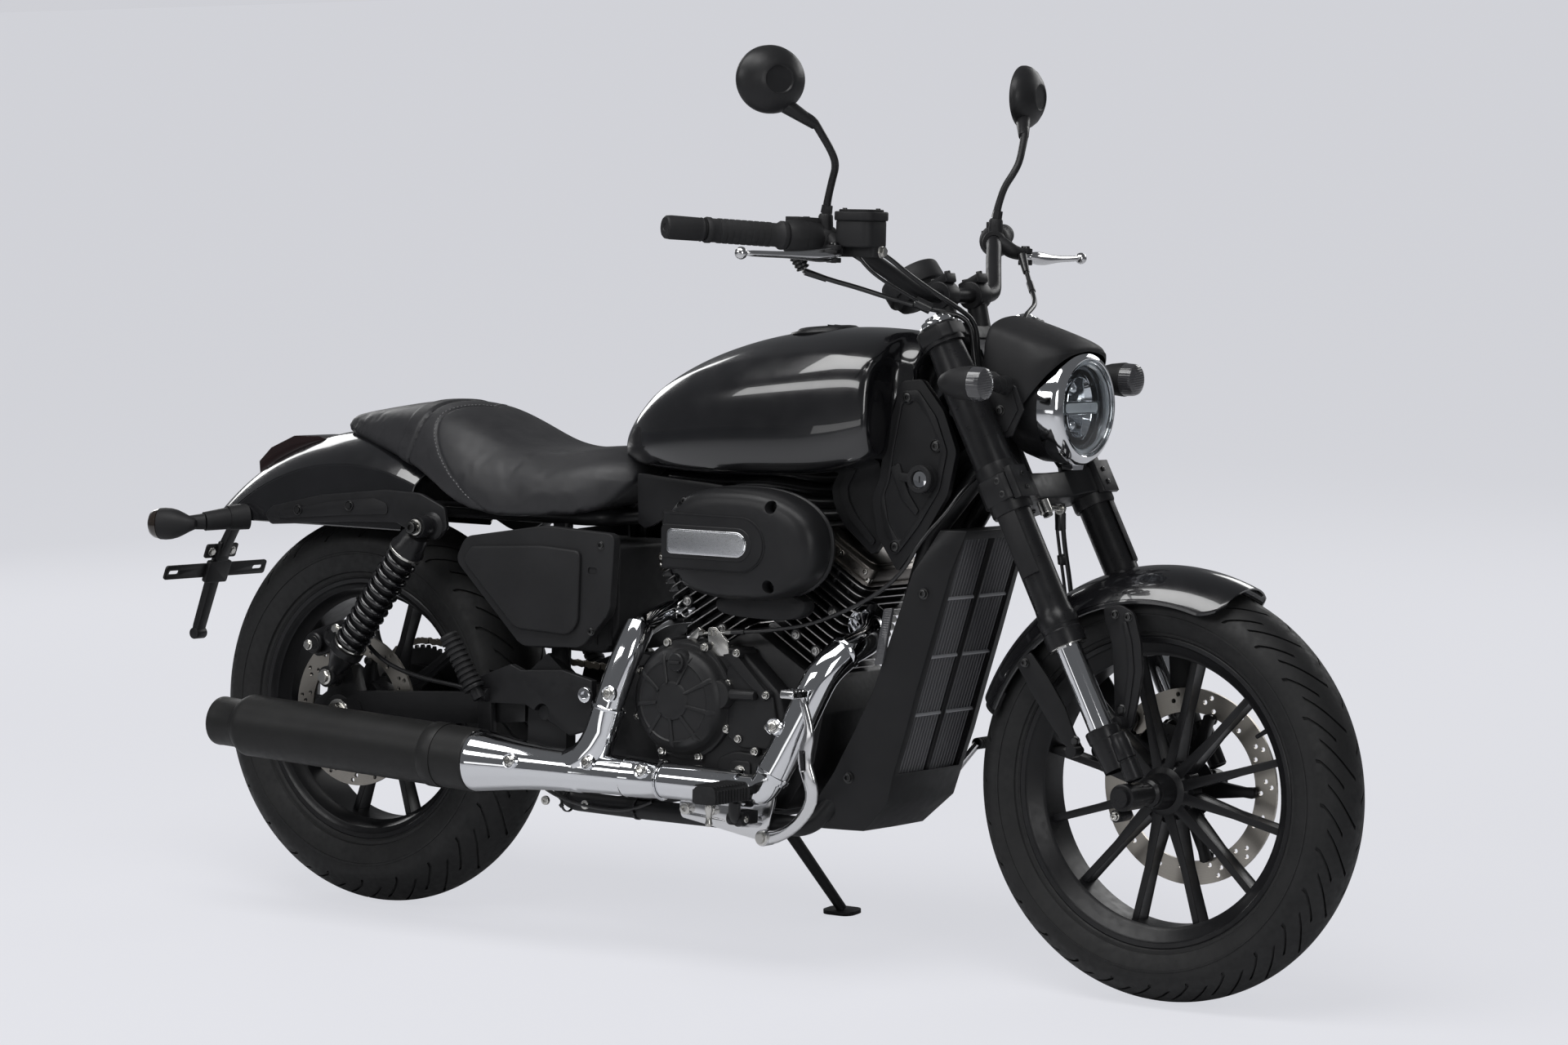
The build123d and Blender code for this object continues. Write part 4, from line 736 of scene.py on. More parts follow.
# seat
seatShape = {
    # x, half, top z, shoulder drop, base z, base half
    "rows": ((-166, 70, 724, 10, 700, 66), (-178, 92, 733, 14, 678, 88), (-205, 116, 740, 18, 650, 112),
             (-245, 132, 739, 20, 640, 128), (-311, 145, 731, 20, 634, 141), (-370, 150, 734, 22, 631, 146),
             (-414, 150, 745, 26, 630, 146), (-455, 146, 765, 32, 634, 142), (-504, 139, 787, 36, 652, 134),
             (-545, 130, 796, 34, 678, 124), (-600, 117, 795, 28, 704, 110), (-655, 100, 787, 22, 717, 92),
             (-720, 76, 776, 16, 730, 68), (-765, 54, 768, 12, 741, 46), (-790, 34, 762, 8, 748, 28),
             (-800, 16, 757, 4, 750, 12)),
    "voxel": 0.0055, "cap": 0.007, "frames": 20,
    "saddleSeam": ((0, -508), (25, -526), (49, -540), (71, -520), (90, -478), (107, -422), (112, -404)),
    "bandFront": ((0, -562), (30, -566), (58, -574), (79, -592), (95, -606)),
    "bandWide": 34.0, "middle": 690,
}


def seatHalf(row):
    half, top, drop, base, baseHalf = row
    return [(0, top), (half * 0.42, top - drop * 0.1), (half * 0.7, top - drop * 0.5),
        (half * 0.87, top - drop * 1.2), (half * 0.97, top - drop * 2.1 if top - drop * 2.1 > base + 12 else base +
        12), (half, base + (top - base) * 0.28), (half * 0.995, base + 6), (baseHalf, base),
        (baseHalf * 0.86, base + 4), (0, base + 12)]


def onSeat(piece, x, angle):
    start = at(x, 0, seatShape["middle"])
    way = Vector((0, -sin(radians(angle)), cos(radians(angle))))
    hit, spot, normal = piece.ray_cast(start, way, distance=0.4)[:3]
    return (spot, normal) if hit else (None, None)


def makeSeat():
    rings = [halfRing(row[0], seatHalf(row[1:])) for row in seatShape["rows"]]
    piece = skinned("seatCushion", rings)
    subdivided(piece, 2)
    addModifier(piece, "REMESH", mode="VOXEL", voxel_size=seatShape["voxel"])
    rest = [v.co.copy() for v in piece.data.vertices]
    onlyPick(piece)
    cloth = piece.modifiers.new("pad", "CLOTH")
    cloth.settings.use_pressure = True
    cloth.settings.uniform_pressure_force = 4
    cloth.settings.mass = 0.4
    cloth.settings.effector_weights.gravity = 0
    cloth.settings.tension_stiffness = cloth.settings.compression_stiffness = 30
    cloth.point_cache.frame_end = seatShape["frames"]
    for step in range(1, seatShape["frames"] + 1):
        bpy.context.scene.frame_set(step)
    bpy.ops.object.modifier_apply(modifier="pad")
    bpy.context.scene.frame_set(1)
    for vertex, before in zip(piece.data.vertices, rest):
        move = vertex.co - before
        if move.length > seatShape["cap"]:
            vertex.co = before + move.normalized() * seatShape["cap"]
        if before.z < 0.70 and vertex.co.z < before.z:
            vertex.co.z = before.z
    addModifier(piece, "SMOOTH", factor=0.5, iterations=3)
    subdivided(piece, 1)
    smoothed(piece, 60)
    for rows in (seatShape["saddleSeam"], seatShape["bandFront"]):
        for vertex in piece.data.vertices:
            y, z = vertex.co.y * 1000, vertex.co.z * 1000
            if z < 640 and abs(y) < 120:
                continue
            angle = abs(degrees(atan2(y, z - seatShape["middle"])))
            if angle <= rows[-1][0]:
                apart = vertex.co.x * 1000 - between(rows, angle)[0]
                if abs(apart) < 7:
                    vertex.co -= vertex.normal * 0.0024 * exp(-(apart / 2.4) ** 2)
    rows = seatShape["bandFront"]
    for vertex in piece.data.vertices:
        angle = abs(degrees(atan2(vertex.co.y * 1000, vertex.co.z * 1000 - seatShape["middle"])))
        if angle <= rows[-1][0]:
            apart = between(rows, angle)[0] - vertex.co.x * 1000
            if 0 < apart < seatShape["bandWide"]:
                rise = min(1, apart / 3, (seatShape["bandWide"] - apart) / 3)
                vertex.co += vertex.normal * 0.0022 * rise
    stitches = []
    thread = primitive("uv_sphere", "seatStitches", segments=8, ring_count=6, radius=0.0008)
    thread.data.transform(Matrix.Diagonal((1, 2.6, 1, 1)))
    for rows, shift, spread in ((seatShape["saddleSeam"], -4.5, 104), (seatShape["bandFront"], -14, 92),
                                (seatShape["bandFront"], -27, 92)):
        spots = []
        for step in range(-spread * 2, spread * 2 + 1):
            angle = step / 2
            spot, normal = onSeat(piece, between(rows, abs(angle))[0] + shift, angle)
            if spot and (not spots or (spot - spots[-1][0]).length > 0.0062):
                spots.append((spot, normal))
        for index in range(len(spots) - 1):
            spot, normal = spots[index]
            run = (spots[index + 1][0] - spot).normalized()
            side = run.cross(normal).normalized()
            turn = Matrix((side, run, side.cross(run))).transposed().to_4x4()
            stitches.append(copyOf(thread, Matrix.Translation(spot + normal * 0.0003) @ turn))
    bpy.data.objects.remove(thread)
    finished(joined("seatStitches", stitches), "chassis", "seat_vinyl", finish["thread"], normals=False)
    finished(piece, "chassis", "seat_vinyl", finish["seat"], "seat", angle=60, normals=False)


finish["thread"] = softRubber("seatThread", (0.16, 0.16, 0.165))
makeSeat()
print("stage: seat")


# fenders, struts, covers, shroud
fenders = {
    "rear": {"axle": rearAxle, "crown": 440, "half": 112, "edge": 387, "leg": 288, "floor": 598, "start": 21.0,
             "end": -48.0, "steps": 66, "round": 0.0, "skin": 2.6},
    "front": {"axle": frontAxle, "crown": 317, "half": 76, "edge": 272, "leg": 264, "floor": 0, "start": 23.0,
              "end": -68.0, "steps": 72, "round": 7.0, "skin": 2.4},
}


def fenderSection(f, angle, inset):
    rise = f["crown"] - f["edge"]
    big = (f["half"] ** 2 + rise ** 2) / (2 * rise)
    middle = f["crown"] - big
    low = max(f["leg"], (f["floor"] - f["axle"].z * 1000) / cos(radians(angle)))
    half = f["half"]
    if f["round"]:
        near = min(1.0, (f["start"] - angle) / f["round"])
        half *= 0.72 + 0.28 * sqrt(max(0, 1 - (1 - near) ** 2))
        low = max(low, middle + sqrt(big * big - half * half) - 8)
    corner = middle + sqrt(big * big - half * half)
    if low > corner - 1:
        half = sqrt(max(1, big * big - (low + 1 - middle) ** 2))
        corner = low + 1
    half, corner = half - inset, corner - inset * 0.5
    crown = f["crown"] - inset
    points = []
    for k in range(15):
        share = sin(pi / 2 * k / 14)
        y = half * share
        r = (crown - (crown - corner) * (1 - sqrt(max(0, 1 - (y / (big - inset)) ** 2))) /
            (1 - sqrt(max(1e-6, 1 - (half / (big - inset)) ** 2))))
        points.append((y, r))
    drop = corner - low - inset * 0.5
    points[-1] = (half - 1.4, points[-1][1] + 0.6)
    points += [(half, corner - min(2, drop * 0.4)), (half, corner - drop * 0.5), (half, low + min(3, drop * 0.3)),
               (half - 1.6, low + min(1, drop * 0.1))]
    return points


def makeFender(name, f):
    rings = []
    for step in range(f["steps"] + 1):
        angle = f["start"] + (f["end"] - f["start"]) * step / f["steps"]
        outer = fenderSection(f, angle, 0)
        inner = fenderSection(f, angle, f["skin"])
        ring = [(-y, r) for y, r in reversed(outer[1:])] + outer + list(reversed(inner)) + [(-y, r)
            for y, r in inner[1:]]
        turn = radians(angle)
        rings.append([(f["axle"].x * 1000 + r * sin(turn), y, f["axle"].z * 1000 + r * cos(turn)) for y, r in ring])
    return skinned(name, rings)


def makeRearFender():
    piece = makeFender("rearGuard", fenders["rear"])
    finished(piece, "chassis", "gloss_black", finish["gloss"], "rear_fender", angle=24)
    struts, bolts = [], []
    outline = ((-878, 612), (-862, 626), (-760, 648), (-630, 662), (-560, 660), (-510, 640), (-505, 606), (-540, 588),
               (-572, 596), (-606, 612), (-700, 608), (-866, 596))
    recess = ((-850, 607), (-842, 618), (-740, 638), (-650, 648), (-624, 640), (-622, 624), (-700, 619), (-840, 606))
    for side in (-1, 1):
        plate = sideSlab("fenderStrut", outline, side * 112.3, side * 120.6, 5)
        bevelled(plate, 2.2, 3, 25)
        rim = sideSlab("strutRim", recess, side * 119.6, side * 122.4, 6)
        bevelled(rim, 1.1, 2, 25)
        boss = lathe("strutBoss", ((112.4, 22), (121, 22), (124, 19), (126, 16), (126, 8), (112.4, 8)) if side > 0
            else ((-112.4, 22), (-121, 22), (-124, 19), (-126, 16), (-126, 8), (-112.4, 8)), at(-535, 0, 610), alongY,
            40)
        pin = cylinder("shockPin", at(-535, side * 118, 610), at(-535, side * 167, 610), 7, 24)
        struts += [plate, rim, boss, pin]
        for x, z in ((-806, 622), (-700, 634)):
            cup = lathe("strutCup", ((0, 8.5), (2.2, 8.5), (2.6, 7.6), (2.2, 6.6), (0.2, 6.2), (0, 8.5)) if side > 0
                else ((0, 8.5), (-2.2, 8.5), (-2.6, 7.6), (-2.2, 6.6), (-0.2, 6.2), (0, 8.5)), at(x, side * 122.4, z),
                alongY, 32)
            struts.append(cup)
            bolts.append(hexBolt("strutBolt", at(x, side * 121.4, z), alongY * side, 5.8, 4))
        bolts.append(boltHead("shockTopBolt", at(-535, side * 166, 610), alongY * side, 9, 7, washer=2))
    finished(joined("fenderStruts", struts), "chassis", "satin_black", finish["satin"], "fender_struts")
    finished(joined("strutBolts", bolts), "chassis", "satin_black", finish["darkBolt"])


def makeFrontFender():
    piece = makeFender("frontGuard", fenders["front"])
    flap = makeFender("frontFlap", {**fenders["front"], "crown": 313, "half": 70, "edge": 270, "start": -62.0,
                                    "end": -70.0, "steps": 8, "round": 0.0, "skin": 3.0})
    finished(piece, "steering", "gloss_black", finish["gloss"], "front_fender", angle=24)
    finished(flap, "steering", "gloss_black", finish["plastic"])
    stays, bolts = [], []
    for side in (-1, 1):
        ahead = sideSlab("guardStay", ((697, 389), (706, 424), (714, 470), (710, 512), (698, 552), (676, 562),
            (648, 557), (652, 538), (664, 506), (668, 462), (672, 389)), side * 73.5, side * 80, 6)
        bevelled(ahead, 2, 3, 22)
        rib = sideSlab("guardRib", ((690, 394), (697, 430), (702, 472), (697, 512), (688, 540), (681, 538),
            (688, 508), (692, 470), (686, 432), (681, 396)), side * 79.2, side * 82.4, 3)
        bevelled(rib, 1.2, 2, 25)
        behind = sideSlab("guardStay", ((506, 468), (530, 486), (560, 452), (590, 410), (604, 378), (620, 354),
            (606, 342), (584, 364), (558, 394), (530, 432)), side * 74, side * 79, 4)
        bevelled(behind, 1.5, 2, 25)
        stays += [ahead, rib, behind]
        for x, z in ((684, 398), (610, 352)):
            stays.append(cylinder("guardBoss", at(x, side * 79, z), at(x, side * 95.5, z), 9, 28))
            bolts.append(boltHead("guardBolt", at(x, side * 72.5, z), alongY * -side, 6, 5, washer=1.2))
            bolts.append(hexBolt("guardBolt", at(x, side * 82, z + (18 if z > 380 else 14)), alongY * side, 5.5, 4))
        for x, z in ((668, 548), (690, 546), (522, 470)):
            bolts.append(boltHead("guardBolt", at(x, side * 79.8, z), alongY * side, 5.4, 4.6, washer=1))
    finished(joined("guardStays", stays), "steering", "gloss_black", finish["satin"])
    finished(joined("guardBolts", bolts), "steering", "satin_black", finish["darkBolt"])


coverOutline = ((-452, 600), (-471, 563), (-340, 439), (-224, 444), (-172, 500), (-165, 618), (-300, 624))
coverFace = ((-438, 586), (-452, 564), (-348, 466), (-246, 462), (-228, 480), (-226, 590), (-300, 594))


def makeSideCovers():
    parts, bolts = [], []
    for side in (-1, 1):
        base = sideSlab("sideCover", coverOutline, side * 124, side * 141, 12)
        bevelled(base, 7, 5, 22)
        face = sideSlab("coverFace", coverFace, side * 139.5, side * 147.6, 9)
        bevelled(face, 3.4, 4, 22)
        slot = sideSlab("coverSlot", ((-214, 566), (-196, 566), (-196, 556), (-214, 556)), side * 139, side * 150, 4)
        cutBy(base, slot)
        tabs = [cylinder("coverPeg", at(x, side * 97, z), at(x, side * 126, z), 7, 24)
            for x, z in ((-385, 560), (-220, 480))]
        parts += [base, face] + tabs
        for x, z in ((-190, 600), (-206, 470)):
            bolts.append(boltHead("coverBolt", at(x, side * 140.4, z), alongY * side, 5.2, 3.6, washer=1))
    finished(joined("sideCovers", parts), "chassis", "gloss_black", finish["plastic"], "side_covers")
    finished(joined("coverBolts", bolts), "chassis", "satin_black", finish["darkBolt"])
    box = sideSlab("batteryCase", ((-394, 598), (-394, 474), (-372, 434), (-216, 433), (-190, 472), (-190, 598)), -94,
        94, 8)
    bevelled(box, 4, 3, 25)
    ribs = []
    for x in range(-370, -205, 27):
        for side in (-1, 1):
            rib = sideSlab("caseRib", ((x, 590), (x, 446), (x + 6, 446), (x + 6, 590)), side * 93, side * 95.8, 0)
            ribs.append(rib)
    finished(joined("batteryCase", [box] + ribs), "chassis", "plastic_black", finish["plastic"], "battery_case")
    fillers = []
    for side in (-1, 1):
        rows = []
        for x, low, high, out in ((-163, 632, 707, 86), (-150, 626, 708, 88), (-134, 630, 707, 90),
                (-118, 638, 706, 91), (-100, 652, 705, 92), (-70, 660, 703, 92), (-35, 664, 701, 92),
                (0, 667, 698, 92)):
            rows.append([(x, side * (out - 7), low), (x, side * out, low), (x, side * (out + 2.5), (low + high) / 2),
                         (x, side * (out + 4), high - 8), (x, side * (out + 3), high), (x, side * (out - 7), high)])
        filler = skinned("tankFiller", rows if side > 0 else [row[::-1] for row in rows])
        bevelled(filler, 1.6, 3, 40)
        fillers.append(filler)
        for x in (-146, -40):
            fillers.append(cylinder("fillerPeg", at(x, side * 21, 690), at(x, side * 87, 690), 7, 20))
    finished(joined("tankFillers", fillers), "chassis", "plastic_black", finish["shroud"])


panelOutline = ((300, 861), (335, 865), (374, 820), (397, 763), (383, 700), (345, 641), (300, 585), (263, 636),
    (252, 690), (264, 716), (272, 770))
panelRim = ((302, 846), (330, 850), (362, 812), (382, 763), (370, 706), (336, 654), (301, 612), (277, 644),
    (268, 690), (278, 714), (286, 768))


def makePanels():
    parts, bolts, locks = [], [], []
    for side in (-1, 1):
        plate = sideSlab("neckPanel", panelOutline, side * 66, side * 77, 6)
        bevelled(plate, 3.5, 4, 20)
        rim = sideSlab("neckRim", panelRim, side * 76.4, side * 79.4, 5)
        hollow = sideSlab("neckHollow", [(316 + (x - 316) * 0.84, 735 + (z - 735) * 0.86) for x, z in panelRim],
                          side * 76.9, side * 84, 5)
        cutBy(rim, hollow)
        bevelled(rim, 1.1, 2, 30)
        flange = sideSlab("neckFlange", ((209, 744), (186, 722), (175, 702), (177, 686), (184, 668), (200, 645),
            (250, 606), (276, 640), (268, 701), (252, 760)), side * 56, side * 66.5, 7)
        rib = sideSlab("flangeRib", ((212, 738), (190, 704), (196, 680), (212, 655), (250, 620), (256, 628),
            (222, 662), (208, 684), (204, 702), (224, 738)), side * 66, side * 70, 5)
        parts += [flange, rib]
        swage = sideSlab("neckSwage", ((284, 736), (300, 744), (318, 700), (336, 676), (330, 668), (306, 690)),
                         side * 76.6, side * 79.6, 4)
        bevelled(swage, 1.4, 3, 25)
        parts += [plate, rim, swage]
        for x, z in ((362, 770), (296, 622), (312, 838)):
            cup = lathe("panelCup", ((side * 76.8, 10), (side * 79.4, 9.6), (side * 79.8, 8.4), (side * 77.2, 7.4),
                                     (side * 76.8, 10)), at(x, 0, z), alongY, 36)
            parts.append(cup)
            bolts.append(boltHead("panelBolt", at(x, side * 77.4, z), alongY * side, 6.4, 3.6, washer=0.8))
    lockAt = (347, 722)
    barrel = lathe("lockBarrel", ((-76, 20), (-82, 20), (-86, 19), (-90, 20.5), (-97, 20.5), (-99, 19), (-99, 13.5),
                                  (-94, 12.5), (-94, 0)), at(lockAt[0], 0, lockAt[1]), alongY, 56)
    tab = sideSlab("lockTab", ((lockAt[0] - 44, lockAt[1] + 8), (lockAt[0] - 14, lockAt[1] + 6),
        (lockAt[0] - 14, lockAt[1] - 7), (lockAt[0] - 44, lockAt[1] - 5)), -76.5, -84, 3)
    bevelled(tab, 1.4, 2)
    locks += [barrel, tab]
    core = lathe("lockCore", ((-93.6, 12.4), (-95.6, 11.4), (-96, 6), (-96, 0)), at(lockAt[0], 0, lockAt[1]), alongY,
        40)
    slit = sideSlab("lockSlit", ((lockAt[0] - 1.1, lockAt[1] + 4.5), (lockAt[0] + 1.1, lockAt[1] + 4.5),
                                 (lockAt[0] + 1.1, lockAt[1] - 4.5), (lockAt[0] - 1.1, lockAt[1] - 4.5)), -90, -99, 0)
    cutBy(core, slit)
    for side in (-1, 1):
        parts.append(cylinder("panelPeg", at(384, side * 24, 820), at(384, side * 68, 820), 7, 20))
        parts.append(cylinder("panelPeg", at(326, side * 22, 698), at(326, side * 68, 698), 7, 20))
    finished(joined("neckPanels", parts), "chassis", "plastic_black", finish["shroud"], "headstock_panels")
    finished(joined("neckBolts", bolts), "chassis", "satin_black", finish["darkBolt"])
    finished(joined("seatLock", locks), "chassis", "plastic_black", finish["plastic"])
    finished(core, "chassis", "alloy_silver", finish["chrome"])


shroud = {"stations": ((205, 252, 78, 160, 96), (250, 299, 88, 190, 112), (290, 310, 92, 222, 118),
    (350, 330, 93.5, 258, 122), (416, 349, 94, 293, 124), (500, 375, 93.5, 322, 121), (590, 402, 92, 352, 116),
    (628, 414, 85, 370, 100), (651, 421, 80, 380, 90)), "low": (303, 283), "slope": 0.307, "window": (294, 638)}


def grilleX(z):
    return shroud["low"][0] + (z - shroud["low"][1]) * shroud["slope"]


def makeShroud():
    rings = []
    for z, frontX, frontHalf, rearX, rearHalf in shroud["stations"]:
        half = [(rearX, rearHalf), (rearX + (frontX - rearX) * 0.35, rearHalf * 0.62 + frontHalf * 0.38 + 2.5),
                (rearX + (frontX - rearX) * 0.72, rearHalf * 0.25 + frontHalf * 0.75 + 2.5), (frontX - 1, frontHalf)]
        rings.append([(x, -y, z) for x, y in half] + [(frontX + 1.5, 0, z)] + [(x, y, z) for x, y in reversed(half)])
    piece = skinned("radiatorShroud", rings)
    editing(piece, "FACE")
    pick(piece, "faces", lambda c, n: n.x < -0.6 and abs(n.y) < 0.3)
    bpy.ops.mesh.delete(type="FACE")
    leaveEditing()
    addModifier(piece, "SOLIDIFY", thickness=0.004, offset=-1)
    bevelled(piece, 3.2, 3, 32)
    low, high = shroud["window"]
    middle = (grilleX(low) + grilleX(high)) / 2
    window = primitive("cube", "grilleWindow", size=1)
    window.data.transform(Matrix.Translation(at(middle, 0, (low + high) / 2)) @
        Matrix.Diagonal((0.30, 0.160, (high - low) / 1000, 1)))
    cutBy(piece, window)
    mounts = []
    for side in (-1, 1):
        for start, end in (((318, 62, 566), (362, 104, 566)), ((240, 62, 300), (252, 110, 300))):
            mounts.append(cylinder("shroudMount", at(start[0], side * start[1], start[2]),
                at(end[0], side * end[1], end[2]), 6, 20))
    frameBars = []
    for side in (-1, 1):
        lip = [at(grilleX(z) + ahead, side * y, z) for ahead, y, z in
               ((1.5, 79.9, low), (1.5, 79.9, high), (-6, 79.9, high), (-6, 79.9, low))]
        frameBars.append(slab("grilleLip", lip, alongY * side * -0.0028, 0))
    ridge = skinned("grilleRidge", [[(grilleX(z) - 9, -wide, z), (grilleX(z) + 1.5, -wide, z),
        (grilleX(z) + 4.5, 0, z), (grilleX(z) + 1.5, wide, z), (grilleX(z) - 9, wide, z)]
        for z, wide in ((low - 2, 4), (420, 6), (high + 2, 8.5))])
    bevelled(ridge, 0.8, 2, 20)
    finished(joined("radiatorShroud", [piece, ridge] + mounts + frameBars), "chassis", "plastic_black",
        finish["shroud"], "radiator_shroud", angle=34)
    slats, bars = [], []
    for side in (-1, 1):
        for index in range(9):
            yLow, yHigh = 9 + index * 7.6, 11.5 + index * 7.9
            ring = []
            for z, y in ((low - 2, yLow), (high + 2, yHigh)):
                ring.append([(grilleX(z) - 11, side * (y - 1.0), z), (grilleX(z) - 0.4, side * (y - 1.2), z),
                             (grilleX(z) + 0.2, side * y, z), (grilleX(z) - 0.4, side * (y + 1.2), z),
                             (grilleX(z) - 11, side * (y + 1.0), z)])
            slats.append(skinned("grilleSlat", ring))
        for z in (380, 466, 552):
            bar = slab("grilleBar", [at(grilleX(z) + a, side * 7, z + b)
                for a, b in ((-10, -2.4), (0.8, -2.4), (1.6, 0), (0.8, 2.4), (-10, 2.4))], alongY * side * 0.0725, 0)
            bars.append(bar)
    finished(joined("grilleSlats", slats), "chassis", "plastic_black", finish["slat"])
    finished(joined("grilleBars", bars), "chassis", "alloy_silver", finish["slatBar"])
    core = slab("radiatorCore", [at(grilleX(z) + a, -66, z) for z, a in ((302, -46), (302, -17), (626, -17),
        (626, -46))], alongY * 0.132, 0)
    tanks = []
    for side in (-1, 1):
        tank = slab("radiatorTank", [at(grilleX(z) + a, side * 64.5, z)
            for z, a in ((301, -46), (301, -16), (627, -16), (627, -46))], alongY * side * 0.0095, 0)
        bevelled(tank, 2, 2)
        tanks.append(tank)
        for z in (330, 596):
            tanks.append(slab("radiatorStay", [at(grilleX(z) + a, side * 42, z + b)
                for a, b in ((-73, 0), (-44, 0), (-44, 16), (-73, 16))], alongY * side * 0.016, 2))
    finished(joined("radiatorCore", [core] + tanks), "chassis", "core_black", finish["core"], "radiator")
    pads, bolts = [], []
    for side in (-1, 1):
        pad = slab("shroudReflector", [at(x, side * 121, z) for x, z in ((311, 536), (326, 538), (311, 456),
            (296, 454))], alongY * side * 0.0065, 2)
        bevelled(pad, 1.2, 2)
        pads.append(pad)
        bolts.append(boltHead("shroudBolt", at(368, side * 110.5, 560), alongY * side, 6, 5, washer=2))
        bolts.append(boltHead("shroudBolt", at(246, side * 112.5, 286), alongY * side, 6.5, 5, washer=2))
    finished(joined("shroudReflectors", pads), "chassis", "lens_clear", finish["signalClear"])
    finished(joined("shroudBolts", bolts), "chassis", "satin_black", finish["darkBolt"])


finish["slat"] = finishOf("grilleSlatPaint", (0.15, 0.152, 0.16), 0.3, Coat_Weight=0.2)
finish["slatBar"] = finishOf("grilleBarPaint", (0.24, 0.245, 0.26), 0.32, Coat_Weight=0.2)
makeRearFender()
makeFrontFender()
makeSideCovers()
makePanels()
makeShroud()
print("stage: panels")


# engine
engine = {
    "crank": (56, 360), "vee": 31.0, "barrel": (113, 222), "head": 268, "cover": 296, "fins": 12,
    "finLong": 122, "finWide": 152, "clutch": (-37, 380),
    "cleaner": (87, 618), "cleanerLong": 282, "cleanerHigh": 168,
}


def veePoint(side, along, across, y):
    turn = radians(engine["vee"])
    return at(engine["crank"][0] + side * (along * sin(turn) + across * cos(turn)), y,
              engine["crank"][1] + along * cos(turn) - across * sin(turn))


def veeBox(name, side, low, high, long, wide, corner, soft=0.0):
    up = veePoint(side, 1, 0, 0) - veePoint(side, 0, 0, 0)
    outline = [veePoint(side, low, a * long / 2, y * wide / 2) for a, y in ((-1, -1), (1, -1), (1, 1), (-1, 1))]
    piece = slab(name, outline, up * (high - low), corner)
    return bevelled(piece, soft, 2, 28) if soft else piece


def makeCylinder(side, name):
    low, high = engine["barrel"]
    cores = [veeBox("barrelCore", side, low, high + 1, 92, 112, 22), veeBox("headCore", side, high, engine["head"] +
        1, 104, 128, 14)]
    edges = []
    pitch = (engine["head"] - low) / engine["fins"]
    long, wide = engine["finLong"], engine["finWide"]
    for index in range(engine["fins"]):
        start = low + pitch * (index + 0.5)
        shrink = 4 if index in (6, 7) else 0
        cores.append(veeBox("coolingFin", side, start, start + 2.6, long - 1.6 - shrink, wide - 1.6 - shrink, 17))
        edges.append(veeBox("finEdge", side, start + 0.5, start + 2.1, long - shrink, wide - shrink, 18))
    for face in (-1, 1):
        for along, across in ((205, -34), (205, 30), (140, -6), (140, 36)):
            start = veePoint(side, along, across, face * (wide / 2 - 16))
            cores.append(cylinder("finBoss", start, start + alongY * face * 0.0165, 9, 24))
            edges.append(boltHead("finBolt", start + alongY * face * 0.0163, alongY * face, 5.2, 4.4, washer=1.4))
    for across in (-30, 0, 30):
        for face in (-1, 1):
            spot = veePoint(side, 231, across, face * 62)
            cores.append(cylinder("headRib", spot, veePoint(side, 267, across, face * 62), 5.5, 12))
    box = veeBox("headCover", side, engine["head"], engine["cover"] - 1, long - 9, wide - 9, 12, 4)
    ledge = veeBox("coverLedge", side, engine["head"], engine["head"] + 6, long - 3, wide - 3, 13, 1.2)
    panels = []
    for face in (-1, 1):
        for middle in (-30, 24):
            outline = [veePoint(side, a, middle + b, face * (wide / 2 - 5)) for a, b in
                       ((276, -24), (276, 20), (283, 24), (290, 20), (291, -18), (284, -24))]
            panel = slab("coverPanel", outline, alongY * face * 0.0022, 1.5)
            bevelled(panel, 0.8, 2)
            panels.append(panel)
    crown = veeBox("coverCrown", side, engine["cover"] - 3, engine["cover"] + 1, long - 34, wide - 40, 16, 1.8)
    bolts = []
    for face in (-1, 1):
        for across in (-52, 52):
            spot = veePoint(side, 273, across, face * (wide / 2 - 10))
            bolts.append(boltHead("coverBolt", spot, veePoint(side, 1, 0, 0) - veePoint(side, 0, 0, 0), 4.6, 7,
                washer=1))
        for across in (-5, 44):
            bolts.append(boltHead("coverScrew", veePoint(side, 286, across, face * (wide / 2 - 4.6)), alongY * face,
                3.6, 2.8))
    finished(joined(name + "Fins", cores), "chassis", "machined_black", finish["cast"], name + "_cylinder")
    finished(joined(name + "FinEdges", edges), "chassis", "alloy_silver", finish["machined"])
    finished(joined(name + "HeadCover", [box, ledge, crown] + panels), "chassis", "alloy_silver", finish["bronzed"])
    finished(joined(name + "HeadBolts", bolts), "chassis", "alloy_silver", finish["zinc"])


clutchProfile = ((93, 60), (93, 89), (130, 89), (133.5, 87.5), (134, 84), (136.5, 81.5), (145, 79.5), (152, 75.5),
    (157.5, 67), (159.5, 62.5), (160.5, 61), (158.6, 59), (159, 55), (162.4, 36), (162.8, 29), (164.8, 27.6),
    (165.6, 25), (165, 22), (164.6, 0))


def domeHeight(profile, reach):
    rows = sorted((r, a) for a, r in profile if a > 120)
    for (r0, a0), (r1, a1) in zip(rows, rows[1:]):
        if r0 <= reach <= r1 and r1 > r0:
            return a0 + (a1 - a0) * (reach - r0) / (r1 - r0)
    return rows[-1][1]


